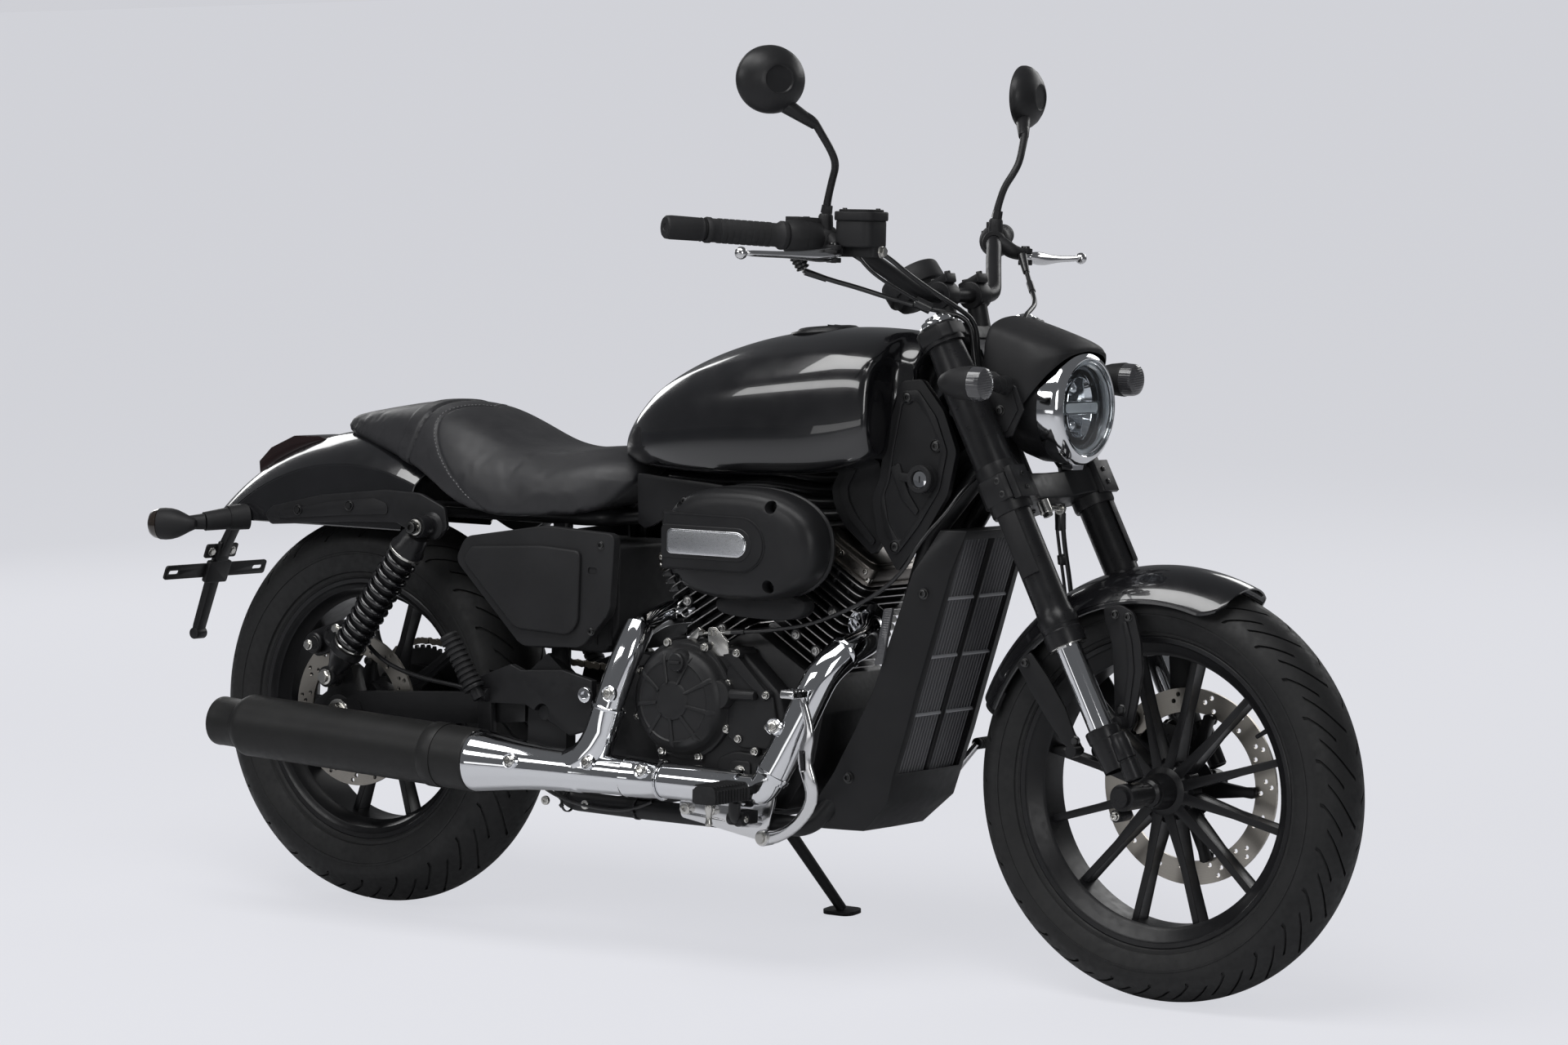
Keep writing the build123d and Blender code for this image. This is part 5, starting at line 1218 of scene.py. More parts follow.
def domeRibs(profile, middle, side, count, start, name, raised=2.0, inner=27, outer=79):
    centre = at(middle[0], 0, middle[1])
    rings = []
    for k in range(8):
        reach = inner + (outer - inner) * k / 7
        wide = 2.0 + 2.2 * k / 7
        height = domeHeight(profile, reach)
        tip = raised * (1 - (k / 7) ** 6)
        rings.append([(middle[0] + reach, side * (height - 4), middle[1] - wide - 1),
                      (middle[0] + reach, side * (height + tip - 0.6), middle[1] - wide),
                      (middle[0] + reach, side * (height + tip), middle[1] - wide + 1),
                      (middle[0] + reach, side * (height + tip), middle[1] + wide - 1),
                      (middle[0] + reach, side * (height + tip - 0.6), middle[1] + wide),
                      (middle[0] + reach, side * (height - 4), middle[1] + wide + 1)])
    rib = skinned(name, rings)
    rib.data.transform(Matrix.Translation(centre) @ Matrix.Rotation(radians(start), 4, "Y") @
        Matrix.Translation(-centre))
    return around(rib, centre, alongY, count)


def caseBoss(x, z, side, base, top, radius=8.5):
    boss = cylinder("caseBoss", at(x, side * base, z), at(x, side * top, z), radius, 24, radius * 0.9)
    return bevelled(boss, 1, 2, 50)


def makeCovers():
    parts, bolts = [], []
    outline = ((-98, 318), (-84, 350), (-60, 440), (-20, 452), (30, 464), (60, 462), (132, 400), (150, 336),
        (146, 290), (112, 262), (-20, 258), (-80, 270))
    base = sideSlab("rightCover", outline, -93, -128, 8)
    bevelled(base, 5, 4, 25)
    raised = sideSlab("rightRaised", ((44, 330), (40, 430), (58, 448), (74, 440), (124, 396), (134, 350), (118, 318),
        (70, 316)), -127, -135, 6)
    bevelled(raised, 3.5, 4, 25)
    web = sideSlab("rightWeb", ((36, 452), (58, 456), (120, 398), (112, 388), (60, 432)), -126, -139, 3)
    bevelled(web, 2, 3, 25)
    lower = sideSlab("rightSump", ((26, 300), (60, 312), (118, 308), (140, 300), (134, 268), (108, 254), (30, 254)),
        -126, -133, 8)
    bevelled(lower, 4, 4, 25)
    pad = sideSlab("sumpPad", ((52, 266), (52, 298), (88, 298), (88, 266)), -132, -136.5, 7)
    bevelled(pad, 1.6, 3, 25)
    dome = lathe("clutchDome", clutchProfile, at(engine["clutch"][0], 0, engine["clutch"][1]), -alongY, 96)
    ribs = domeRibs(clutchProfile, engine["clutch"], -1, 9, 12, "clutchRib")
    cap = [lathe("oilCap", ((150, 0), (150, 19), (158, 18), (162, 14.5), (163, 14), (168, 13.6), (169.5, 12),
        (169.5, 0)), at(-28, 0, 438), -alongY, 40)]
    grip = sideSlab("oilCapGrip", ((-38, 440), (-38, 436), (-18, 436), (-18, 440)), -168, -173, 1)
    cap.append(bevelled(grip, 0.8, 2))
    pump = [cylinder("pumpBody", at(34, -130, 393), at(34, -149, 393), 24, 40, 21),
            cylinder("pumpArm", at(36, -140, 394), at(98, -140, 396), 8.5, 24, 7)]
    for piece in pump:
        bevelled(piece, 1.6, 2, 50)
    parts += [base, raised, web, lower, pad, dome, ribs] + cap + pump
    for index in range(8):
        spot = polar(index * 45 + 20) * 88
        x, z = engine["clutch"][0] + spot.x, engine["clutch"][1] + spot.z
        parts.append(caseBoss(x, z, -1, 94, 134))
        bolts.append(boltHead("clutchBolt", at(x, -133.6, z), -alongY, 5.6, 5.4, washer=1))
    for x, z, top in ((62, 456, 139), (116, 398, 139), (124, 352, 142), (66, 330, 137), (96, 314, 137),
            (138, 300, 134), (128, 270, 134)):
        parts.append(caseBoss(x, z, -1, 100, top, 7.5))
        bolts.append(boltHead("coverBolt", at(x, -top + 0.3, z), -alongY, 5, 5, washer=0.8))
    bolts.append(boltHead("sumpBolt", at(70, -136.2, 282), -alongY, 8, 5, washer=1.5))
    leftProfile = ((93, 50), (93, 89), (130, 89), (134, 86), (136, 81), (146, 78), (150, 70), (151, 60), (149, 57),
        (153, 30), (156, 28), (156.5, 20), (156, 0))
    leftBase = sideSlab("leftCover", ((-22, 290), (-22, 430), (58, 463), (138, 420), (150, 330), (100, 268),
        (20, 262)), 93, 128, 8)
    bevelled(leftBase, 5, 4, 25)
    leftDome = lathe("statorDome", leftProfile, at(engine["crank"][0], 0, engine["crank"][1]), alongY, 96)
    leftRibs = domeRibs(leftProfile, engine["crank"], 1, 6, 0, "statorRib", 2.4, 30, 76)
    sprocketCover = sideSlab("sprocketCover", ((-205, 302), (-205, 393), (-122, 394), (-104, 388), (-66, 380),
        (-60, 300), (-120, 291), (-190, 294)), 100, 127, 10)
    bevelled(sprocketCover, 5, 4, 25)
    slots = [sideSlab("coverVent", ((x, 328), (x + 5, 328), (x + 5, 366), (x, 366)), 126, 129.5, 2)
        for x in range(-188, -120, 13)]
    stay = sideSlab("coverStay", ((-104, 390), (-60, 380), (-60, 300), (-104, 294)), 93, 103, 4)
    parts += [leftBase, leftDome, leftRibs, sprocketCover, stay] + slots
    for index in range(8):
        spot = polar(index * 45 + 10) * 88
        x, z = engine["crank"][0] + spot.x, engine["crank"][1] + spot.z
        parts.append(caseBoss(x, z, 1, 94, 133))
        bolts.append(boltHead("statorBolt", at(x, 132.7, z), alongY, 5.6, 5.4, washer=1))
    for x, z in ((-195, 310), (-195, 384), (-76, 372), (-76, 310), (-130, 388)):
        bolts.append(boltHead("sprocketCoverBolt", at(x, 126.6, z), alongY, 5, 5, washer=1))
    finished(joined("engineCovers", parts), "chassis", "machined_black", finish["caseBlack"], "engine_covers")
    finished(joined("caseBolts", bolts), "chassis", "alloy_silver", finish["zinc"])
    dressed("crankcase", "chassis", finish["cast"], 2.2, 2)


def egg(scale):
    x0, z0 = engine["cleaner"]
    long, high = engine["cleanerLong"] / 2 * scale, engine["cleanerHigh"] / 2 * scale
    ring = []
    for k in range(88):
        turn = tau * k / 88
        c, s = cos(turn), sin(turn)
        bulge = 2.7 if c < 0 else 2.3
        ring.append((x0 + copysign(abs(c) ** (2 / bulge), c) * long, z0 + copysign(abs(s) ** (2 / bulge), s) * high))
    return ring


def makeCleaner():
    layers = ((112, 0.88), (113, 0.90), (128, 0.93), (130, 0.985), (131.5, 0.998), (134.5, 0.998), (136, 0.985),
        (137, 0.972), (140, 0.984), (146, 0.986), (160, 0.975), (170, 0.955), (178, 0.915), (183, 0.865),
        (186.5, 0.79), (188.5, 0.68), (189.4, 0.5))
    body = skinned("cleanerBody", [[(x, -out, z) for x, z in egg(scale)] for out, scale in layers])
    screwsAt = ((-17, 676), (150, 675), (148, 561), (-17, 562))
    level = 618.5
    holes = []
    for x, z in screwsAt:
        way = Vector((x - 70, 0, z - 618)).normalized()
        hole = cylinder("screwWell", at(x, -166, z), at(x, -200, z) + way * 0.002, 8.5, 24, 10.5)
        holes.append(hole)
    cutBy(body, *holes)
    bevelled(body, 1.4, 3, 38)

    def band(name, left, right, half, yIn, yOut, soft):
        bend = min(half, 8)
        outline = [(left + bend - bend * cos(radians(a)), level + half - bend + bend * sin(radians(a)))
            for a in range(0, 91, 15)]
        outline += [(right - half, level + half)]
        outline += [(right - half + half * sin(radians(a)), level + half * cos(radians(a)))
            for a in range(12, 180, 12)]
        outline += [(right - half, level - half)]
        outline += [(left + bend - bend * sin(radians(a)), level - half + bend - bend * cos(radians(a)))
            for a in range(0, 91, 15)]
        return bevelled(sideSlab(name, outline, yIn, yOut), soft, 4, 30)

    outer = skinned("cleanerBand", [[(x, -y, z) for x, z in [(left, level + half)] +
        [(100 + half * 1.1 * sin(radians(a)), level + half * cos(radians(a))) for a in range(0, 181, 10)] +
        [(left, level - half)]] for y, left, half in ((170, -49, 43), (182, -46, 42.4), (188, -40, 41.5),
        (191, -34, 40), (192, -30, 38), (191.8, -28, 36), (191, -27, 34))])
    lip = band("badgeSeat", -40, 122, 24.5, -184, -193.2, 1.6)
    parts = [body, outer, lip]
    finished(joined("airCleaner", parts), "chassis", "plastic_black", finish["cleaner"], "air_cleaner", angle=40)
    rim = band("badgeRim", -28.5, 114, 18.5, -190, -194.4, 1.0)
    plate = band("badgePlate", -26, 111.5, 16.2, -192, -195.0, 0.5)
    finished(rim, "chassis", "bright_chrome", finish["chrome"])
    finished(plate, "chassis", "alloy_silver", finish["badge"])
    screws = [boltHead("cleanerScrew", at(x, -166.2, z), -alongY, 5.4, 4) for x, z in screwsAt]
    finished(joined("cleanerScrews", screws), "chassis", "satin_black", finish["darkBolt"])
    duct = skinned("intakeDuct", [[(30 + a * 0.5, y, 540), (16 + a, y, 530), (20 + a, y, 516), (40, y, 509),
        (150, y, 507), (176 - a, y, 514), (186 - a, y, 530), (180 - a, y, 546), (100, y, 552)]
        for y, a in ((-104, 8), (-110, 2), (-130, 0), (-138, 3), (-141, 10))])
    subdivided(duct, 1)
    finished(duct, "chassis", "plastic_black", finish["plastic"])
    body = [lathe("throttleBody", ((-111.5, 26), (-96, 26), (-95, 30), (-88, 30), (-86, 26), (-60, 24), (-30, 27),
        (52, 27)), at(56, 0, 600), alongY, 48), lathe("intakeRunner", ((-87, 19), (-60, 19), (-58, 21), (-52, 21),
        (-50, 19), (50, 19), (52, 21), (58, 21), (60, 19), (87, 19)), at(56, 0, 600), alongX, 40)]
    piece = joined("intakeBody", body)
    editing(piece, "EDGE")
    bpy.ops.mesh.select_non_manifold()
    bpy.ops.mesh.fill_holes(sides=0)
    leaveEditing()
    finished(piece, "chassis", "plastic_black", finish["plastic"], "intake_body")


def makeCable():
    y = 127
    line = wire("clutchLine", [(46, -y, 485), (80, -125, 488), (113, -122, 492), (160, -122, 500), (203, -122, 512),
        (278, -120, 545), (333, -117, 585), (362, -112, 636), (388, -88, 674), (399, -70, 702), (407, -52, 720),
        (412, -36, 734)], 3.0, 5)
    sleeve = cylinder("lineSleeve", at(44, -y, 484.8), at(66, -125.8, 487), 4.4, 20)
    finished(joined("clutchLine", [line, sleeve]), "chassis", "plastic_black", finish["line"])
    metal = [cylinder("adjusterRod", at(-14, -y, 479), at(46, -y, 484.8), 2.6, 16)]
    for x, radius, long in ((-14, 5, 8), (4, 5.2, 5), (12, 5.2, 5), (34, 4.4, 12)):
        z = 479 + (x + 14) * 0.0967
        metal.append(cylinder("adjusterNut", at(x, -y, z), at(x + long, -y, z + long * 0.0967), radius, 6))
    for x in range(17, 33, 2):
        z = 479 + (x + 14) * 0.0967
        metal.append(lathe("adjusterThread", ((0, 2.4), (0.7, 3.3), (1.4, 2.4)), at(x, -y, z), alongX, 14))
    stay = sideSlab("adjusterStay", ((6, 448), (42, 448), (38, 470), (16, 491), (2, 489), (2, 474)), -y + 2.5,
        -y - 2.5, 3)
    bevelled(stay, 0.9, 2)
    arm = sideSlab("clutchArm", ((-44, 458), (-30, 458), (-14, 484), (-20, 488), (-40, 470)), -118, -123, 2)
    bevelled(arm, 0.9, 2)
    shaft = cylinder("clutchShaft", at(-38, -112, 462), at(-38, -126, 462), 6, 20)
    finished(joined("lineAdjuster", metal + [stay, arm, shaft]), "chassis", "alloy_silver", finish["zinc"])


finish["caseBlack"] = satinPaint("caseBlack", (0.017, 0.017, 0.018), 0.36, 0.46, 0.16)
finish["cleaner"] = mouldedPlastic("cleanerBlack", (0.014, 0.014, 0.015), 0.34, 0.42)
finish["badge"] = brushedMetal("badgeAlloy", (0.78, 0.79, 0.82), 0.24, 0.34, (1, 8, 8), 300, 0.05)
finish["line"] = finishOf("cableSheath", (0.012, 0.012, 0.013), 0.36, Coat_Weight=0.3, Coat_Roughness=0.2)
makeCylinder(1, "front")
makeCylinder(-1, "rear")
makeCovers()
makeCleaner()
makeCable()
print("stage: engine")


# exhaust
exhaust = {"pipeY": -178, "pipeZ": 264, "cone": (-194, -184, 265), "mufflerStart": (-378, -190, 266),
           "mufflerEnd": (-838, -190, 284), "muffler": 48}


def runLathe(name, start, end, profile, steps=72):
    start, end = at(*start), at(*end)
    return lathe(name, profile, start, end - start, steps)


def clampBand(name, start, end, radius, wide):
    return runLathe(name, start, end, ((0, radius - 2), (0, radius + 0.8), (1.2, radius + 2.2), (3, radius + 1.4),
        (wide - 3, radius + 1.4), (wide - 1.2, radius + 2.2), (wide, radius + 0.8), (wide, radius - 2)))


def makeExhaust():
    y, z = exhaust["pipeY"], exhaust["pipeZ"]
    pipes = [wire("frontPipe", [(214, -34, 507), (236, -48, 500), (249, -66, 486), (240, -100, 471), (222, -138, 452),
        (207, -150, 412), (184, -163, 352), (163, -172, 306), (150, -178, 276), (138, -178, 264), (118, -178, z),
        (60, y, z), (-40, y, z), (-100, y, z)], 22, 9), wire("rearPipe",
        [(-88, -32, 505), (-112, -46, 502), (-126, -66, 498), (-122, -104, 490), (-119, -144, 476), (-128, -162, 430),
        (-138, -172, 386), (-147, -178, 345), (-158, -180, 312), (-167, -182, 284)], 19, 8)]
    for spot, ahead in (((222, -36, 506), 1), ((-98, -36, 504), -1)):
        flange = cylinder("portFlange", at(spot[0] - ahead * 8, spot[1] + 4, spot[2] + 3),
            at(spot[0] + ahead * 2, spot[1] - 3, spot[2] - 1), 30, 40)
        pipes.append(bevelled(flange, 1.5, 2, 50))
    shields = []
    front = wire("frontShield", [(235, -112, 466), (222, -139, 446), (207, -151, 408), (186, -163, 352),
        (166, -172, 306), (153, -178, 282)], 25.2, 9)
    shields.append(front)
    for place in (((236, -110, 468), (228, -128, 456)), ((158, -175, 291), (152, -178, 279))):
        shields.append(runLathe("shieldLip", *place, ((0, 21), (0, 25.4), (1.2, 26.8), (6, 26.6), (8, 25.4), (8, 21)),
            48))
    shields.append(wire("rearShield", [(-121, -134, 482), (-121, -152, 458), (-131, -165, 418), (-140, -174, 378),
        (-146, -178, 352)], 22.4, 8))
    shields.append(runLathe("shieldLip", (-145, -178, 356), (-148, -179, 344),
        ((0, 19), (0, 22.8), (1, 24), (6, 23.8), (8, 22.6), (8, 19)), 48))
    shields.append(wire("rearElbow", [(-142, -177, 362), (-148, -179, 340), (-155, -182, 316), (-166, -184, 294),
        (-184, -185, 276), (-210, -185, 267)], 25.5, 8, radii=[0.98, 0.98, 1.02, 1.1, 1.16, 1.14]))
    shields.append(runLathe("cupLip", (-141, -177, 366), (-148, -179, 340),
        ((0, 20), (0, 25.4), (1.4, 26.6), (5, 26.2), (6, 24.6)), 48))
    shields.append(runLathe("mainShield", (104, y, z), (-62, y, z), ((0, 20), (0, 25), (1.4, 26.4), (8, 26.6),
        (132, 26.8), (136, 26.8), (140, 25.6), (140, 21))))
    shields.append(clampBand("mainClamp", (-36, y, z), (-104, y, z), 28.4, 66))
    shields.append(runLathe("mainJoint", (-98, y, z), exhaust["cone"], ((0, 22), (0, 27.4), (1, 28.4), (90, 31),
        (96, 31.6), (97, 26))))
    cone = runLathe("exhaustCone", exhaust["cone"], exhaust["mufflerStart"],
        ((-12, 26), (-12, 30.6), (-10.5, 31.8), (-4, 32), (20, 32.3), (50, 33.2), (64, 34), (90, 36.2), (130, 41),
        (160, 45.2), (176, 47.4), (181.5, 48.1), (183.5, 47.6), (183.6, 44)), 96)
    shields.append(cone)
    tabs, bolts = [], []
    for place, way in (((166, -190, 360), (0.15, -1, 0.2)), ((-60, -205.5, 279), (0, -1, 0.45)),
            ((-130, -195, 386), (0.1, -1, 0.1)), ((-157, -210, 284), (0, -1, 0.25)),
            ((-291, -226, 276), (0, -1, 0.2))):
        way = Vector(way).normalized()
        spot = at(*place)
        seat = lathe("boltDish", ((-5, 12.5), (0.5, 12.2), (1.6, 10.8), (1.2, 8.8), (0.6, 8), (0.6, 0)), spot, way,
            36)
        tabs.append(seat)
        bolts.append(boltHead("shieldBolt", spot + way * 0.0006, way, 7, 4.6, washer=0))
    finished(joined("exhaustHeaders", pipes + shields + tabs), "chassis", "bright_chrome", finish["chrome"],
        "exhaust_headers", angle=42)
    finished(joined("shieldBolts", bolts), "chassis", "alloy_silver", finish["zinc"])
    # painted shade: a dark ring on the joint beside the clamp band stands in for the shade in the gap between them
    gapShade = runLathe("pipeGapShade", (-103, y, z), (-107, y, z), ((0, 20), (0, 28.9), (3, 28.9), (3, 20)), 48)
    finished(gapShade, "chassis", "bright_chrome", finish["darkBolt"])
    body = runLathe("mufflerBody", exhaust["mufflerStart"], exhaust["mufflerEnd"],
        ((0, 40), (0, 46.4), (1.5, 47.6), (5, 48), (448, 48), (452, 48.6), (457, 48.6), (460, 47.8), (466, 45),
        (471, 40.4), (473, 38.6), (476, 38), (512, 38), (518, 38.6), (522, 38.2), (523, 36.4), (521, 34.4),
        (512, 33.4), (480, 33), (474, 30), (472, 0)), 96)
    seam = runLathe("mufflerBand", exhaust["mufflerStart"], exhaust["mufflerEnd"],
        ((60, 47.6), (60, 49.2), (61, 49.8), (84, 49.8), (85, 49.2), (85, 47.6)), 96)
    finished(joined("mufflerBody", [body, seam]), "chassis", "satin_black", finish["muffler"], "muffler", angle=36)


makeExhaust()
print("stage: exhaust")


# bars, controls, mirrors, instrument, lines
bars = {
    "clamp": (346, 0, 985), "low": (344, 92, 986), "high": (274, 200, 1062), "end": (140, 438, 1075), "tube": 11.4,
    "pivot": (298, 252, 1042), "tip": (277, 445, 1041), "reservoir": (322, -220, 1052),
    "mirror": (238, 331, 1283), "mirrorTurn": 24.0, "pod": (270, 0, 994),
}


def onBar(y):
    share = (abs(y) - bars["high"][1]) / (bars["end"][1] - bars["high"][1])
    a, b = bars["high"], bars["end"]
    return at(a[0] + (b[0] - a[0]) * share, y, a[2] + (b[2] - a[2]) * share)


# profile rows are (distance from the centre plane, radius)
def barLathe(name, start, end, profile, steps=48):
    base = onBar(start)
    way = (onBar(end) - base).normalized()
    slope = (onBar(end) - base).length / abs(end - start)
    return lathe(name, [((abs(y) - abs(start)) * 1000 * slope, r) for y, r in profile], base, way, steps)


def makeBars():
    half = [(345.8, 62, 985.3), (344, 84, 986), (338, 104, 991), (322, 128, 1010), (298, 164, 1037), (282, 190, 1054),
        (268, 210, 1062), (252, 238, 1064), (210, 312, 1068), (141, 437, 1075)]
    route = [(x, -y, z) for x, y, z in reversed(half)] + [(346, -20, 985), (346, 20, 985)] + half
    bar = wire("handleBar", route, bars["tube"], 8)
    clamps, bolts = [bar], []
    for side in (-1, 1):
        base = onFork(722, side * 42, -27)
        top = at(bars["clamp"][0], side * 42, bars["clamp"][2])
        way = (top - base).normalized()
        riser = lathe("barRiser", ((0, 18), (2, 18.6), (6, 17), (12, 15), ((top - base).length * 1000 - 8, 14.6)),
            base, way, 36)
        cap = cylinder("barClamp", top - alongY * 0.015, top + alongY * 0.015, 20.5, 40)
        bevelled(cap, 2.2, 3, 50)
        bridge = slab("clampBridge", [top + way * 0.012 + forkAhead * a + alongY * b
            for a, b in ((-0.019, -0.014), (0.019, -0.014), (0.019, 0.014), (-0.019, 0.014))], way * 0.013, 3)
        bevelled(bridge, 1.6, 2, 30)
        clamps += [riser, cap, bridge]
        for ahead in (-0.0135, 0.0135):
            bolts.append(boltHead("clampCap", top + way * 0.0248 + forkAhead * ahead, way, 4.6, 5))
    finished(joined("handleBar", clamps), "steering", "satin_black", finish["satin"], "handlebar", angle=40)
    finished(joined("barBolts", bolts), "steering", "satin_black", finish["darkBolt"])


def makeControls():
    grips, parts, bolts = [], [], []
    for side in (-1, 1):
        def g(name, profile, steps=48):
            return barLathe(name, side * 200, side * 438, profile, steps)
        grips.append(g("barGrip", ((277, 11), (277, 19.4), (279, 20.4), (283, 20.4), (285, 18.6), (288, 16.8),
            (300, 16.6), (330, 16.9), (360, 16.6), (376, 16.8), (378, 18.2), (383, 18.4), (385, 17.2), (385, 11))))
        for k in range(9):
            y = 297 + k * 8.2
            grips.append(g("gripRib", ((y, 16), (y + 0.4, 17.5), (y + 4.8, 17.5), (y + 5.2, 16)), 48))
        parts.append(g("barWeight", ((388, 10), (388, 16), (390, 17), (392, 16.4), (394, 16.6), (430, 16.9),
            (436, 16.2), (438, 14), (438, 6), (437, 5), (437, 0))))
        parts.append(g("barSpacer", ((384.5, 11), (384.5, 13), (388.5, 13), (388.5, 11))))
        case = g("switchCase", ((229, 15), (230, 19.5), (233, 22), (246, 24), (262, 24.4), (271, 23.4), (275.5, 20.8),
            (276.5, 18), (276.5, 11)), 28)
        seam = g("caseSeam", ((252, 23.4), (252.2, 24.6), (253.2, 24.6), (253.4, 23.4)), 28)
        perch = g("leverPerch", ((211, 11), (211, 16.4), (213, 17.6), (228, 17.6), (229.4, 16.6), (229.4, 11)), 36)
        parts += [case, seam, perch]
        spot = onBar(side * 222)
        px, py, pz = bars["pivot"]
        arm = wire("perchArm", [tuple((spot + alongX * 0.008) * 1000), (286, side * 226, 1052),
            (292, side * 234, 1048), (297, side * 244, 1046)], 11, 6, radii=[1.1, 1.05, 0.95, 0.85])
        jaws = []
        for z0, z1 in ((pz - 12.5, pz - 5.5), (pz + 5.5, pz + 12.5)):
            jaw = cylinder("perchJaw", at(px, side * py, z0), at(px, side * py, z1), 10.6, 32)
            jaws.append(bevelled(jaw, 1, 2, 50))
        parts += [arm] + jaws
        bolts.append(boltHead("pivotBolt", at(px, side * py, pz + 12.2), alongZ, 6.4, 4, washer=1))
        bolts.append(cylinder("pivotPin", at(px, side * py, pz - 13), at(px, side * py, pz + 13), 3.9, 16))
        boot = lathe("stemBoot", ((0, 11), (2, 12.4), (10, 12), (34, 10.6), (42, 10.4), (45, 8.6), (46, 6)),
            at(263, side * 223, 1053), alongZ, 32)
        parts.append(boot)
        block = slab("switchBlock", [onBar(side * y) + alongZ * 0.018 + alongX * a
            for y, a in ((236, -0.016), (236, 0.010), (264, 0.008), (264, -0.018))], alongZ * 0.010, 4)
        bevelled(block, 2, 3, 25)
        parts.append(block)
        for y, high, wide in ((243, 0.0295, 5), (256, 0.0285, 4)):
            knob = cylinder("switchKnob", onBar(side * y) + alongZ * 0.026 - alongX * 0.006, onBar(side * y) +
                alongZ * high + alongX * -0.006, wide, 20)
            parts.append(bevelled(knob, 0.8, 2, 50))
        kill = slab("switchRocker", [onBar(side * y) + alongZ * 0.008 + alongX * a
            for y, a in ((241, -0.025), (241, -0.018), (255, -0.018), (255, -0.025))], alongZ * 0.007, 1)
        parts.append(bevelled(kill, 1, 2))
    x, y, z = bars["reservoir"]
    def boxed(half, wide, low, high, corner, soft):
        block = slab("fluidTank", [at(x + a, y + b, z + low) for a, b in ((-half, -wide), (half, -wide), (half, wide),
            (-half, wide))], alongZ * (high - low) / 1000, corner)
        return bevelled(block, soft, 3, 40)

    tank = joined("fluidTank", [boxed(31, 28, 0, 38, 15, 3), boxed(33.5, 30.5, 37, 50, 17, 2.2),
        boxed(28, 25, 49.5, 53, 14, 1.4)])
    body = slab("cylinderBody", [at(x + a, y + b, z - 14) for a, b in ((-52, -10), (24, -12), (30, -6), (30, 8),
        (22, 14), (-50, 12))], alongZ * 0.018, 5)
    bevelled(body, 2.6, 3, 30)
    parts += [tank, body]
    banjo = [cylinder("banjo", at(x + 21, y + 8, z - 6), at(x + 29, y + 8, z - 6), 8, 28),
        hexBolt("banjoBolt", at(x + 29, y + 8, z - 6), alongX, 7, 7)]
    for a in (-24, 24):
        bolts.append(boltHead("lidScrew", at(x + a * 0.7, y + a * 0.7, z + 52.6), alongZ, 3.4, 2.2, washer=0))
    finished(joined("barGrips", grips), "steering", "plastic_black", finish["grip"], "bar_controls")
    finished(joined("barControls", parts), "steering", "plastic_black", finish["plastic"])
    finished(joined("controlBolts", bolts), "steering", "satin_black", finish["darkBolt"])
    finished(joined("brakeBanjo", banjo), "steering", "alloy_silver", finish["zinc"])


def makeLevers():
    levers = []
    px, py, pz = bars["pivot"]
    for side in (-1, 1):
        rings = []
        for x, y, z, wide, tall in ((px + 3, 246, 1042, 9, 4.6), (px + 4, 256, 1042, 10.5, 6),
                (px + 5, 266, 1041, 11, 9), (px + 5, 280, 1040, 10.5, 10.4), (px + 4, 300, 1039, 9.6, 9.4),
                (px + 1, 322, 1039, 8, 7), (px - 3, 352, 1039.4, 6.2, 5), (px - 8, 384, 1039.8, 5.8, 4.8),
                (px - 14, 414, 1040.4, 5.2, 4.6), (px - 20, 438, 1041, 4.4, 4.2)):
            rings.append([(x + wide * cos(t), side * y, z + tall * sin(t))
                for t in (k * tau / 16 for k in range(16))])
        lever = skinned("handLever", rings)
        subdivided(lever, 1)
        ball = primitive("uv_sphere", "leverBall", segments=28, ring_count=16, radius=0.0088,
            location=at(bars["tip"][0], side * bars["tip"][1], 1041))
        bpy.ops.object.transform_apply(location=True)
        eye = lathe("leverEye", ((-4.6, 4), (-4.6, 10), (-3.8, 10.8), (3.8, 10.8), (4.6, 10), (4.6, 4)),
            at(px, side * py, pz), alongZ, 40)
        levers += [lever, ball, eye]
    finished(joined("handLevers", levers), "steering", "alloy_silver", finish["lever"], "levers", angle=50)


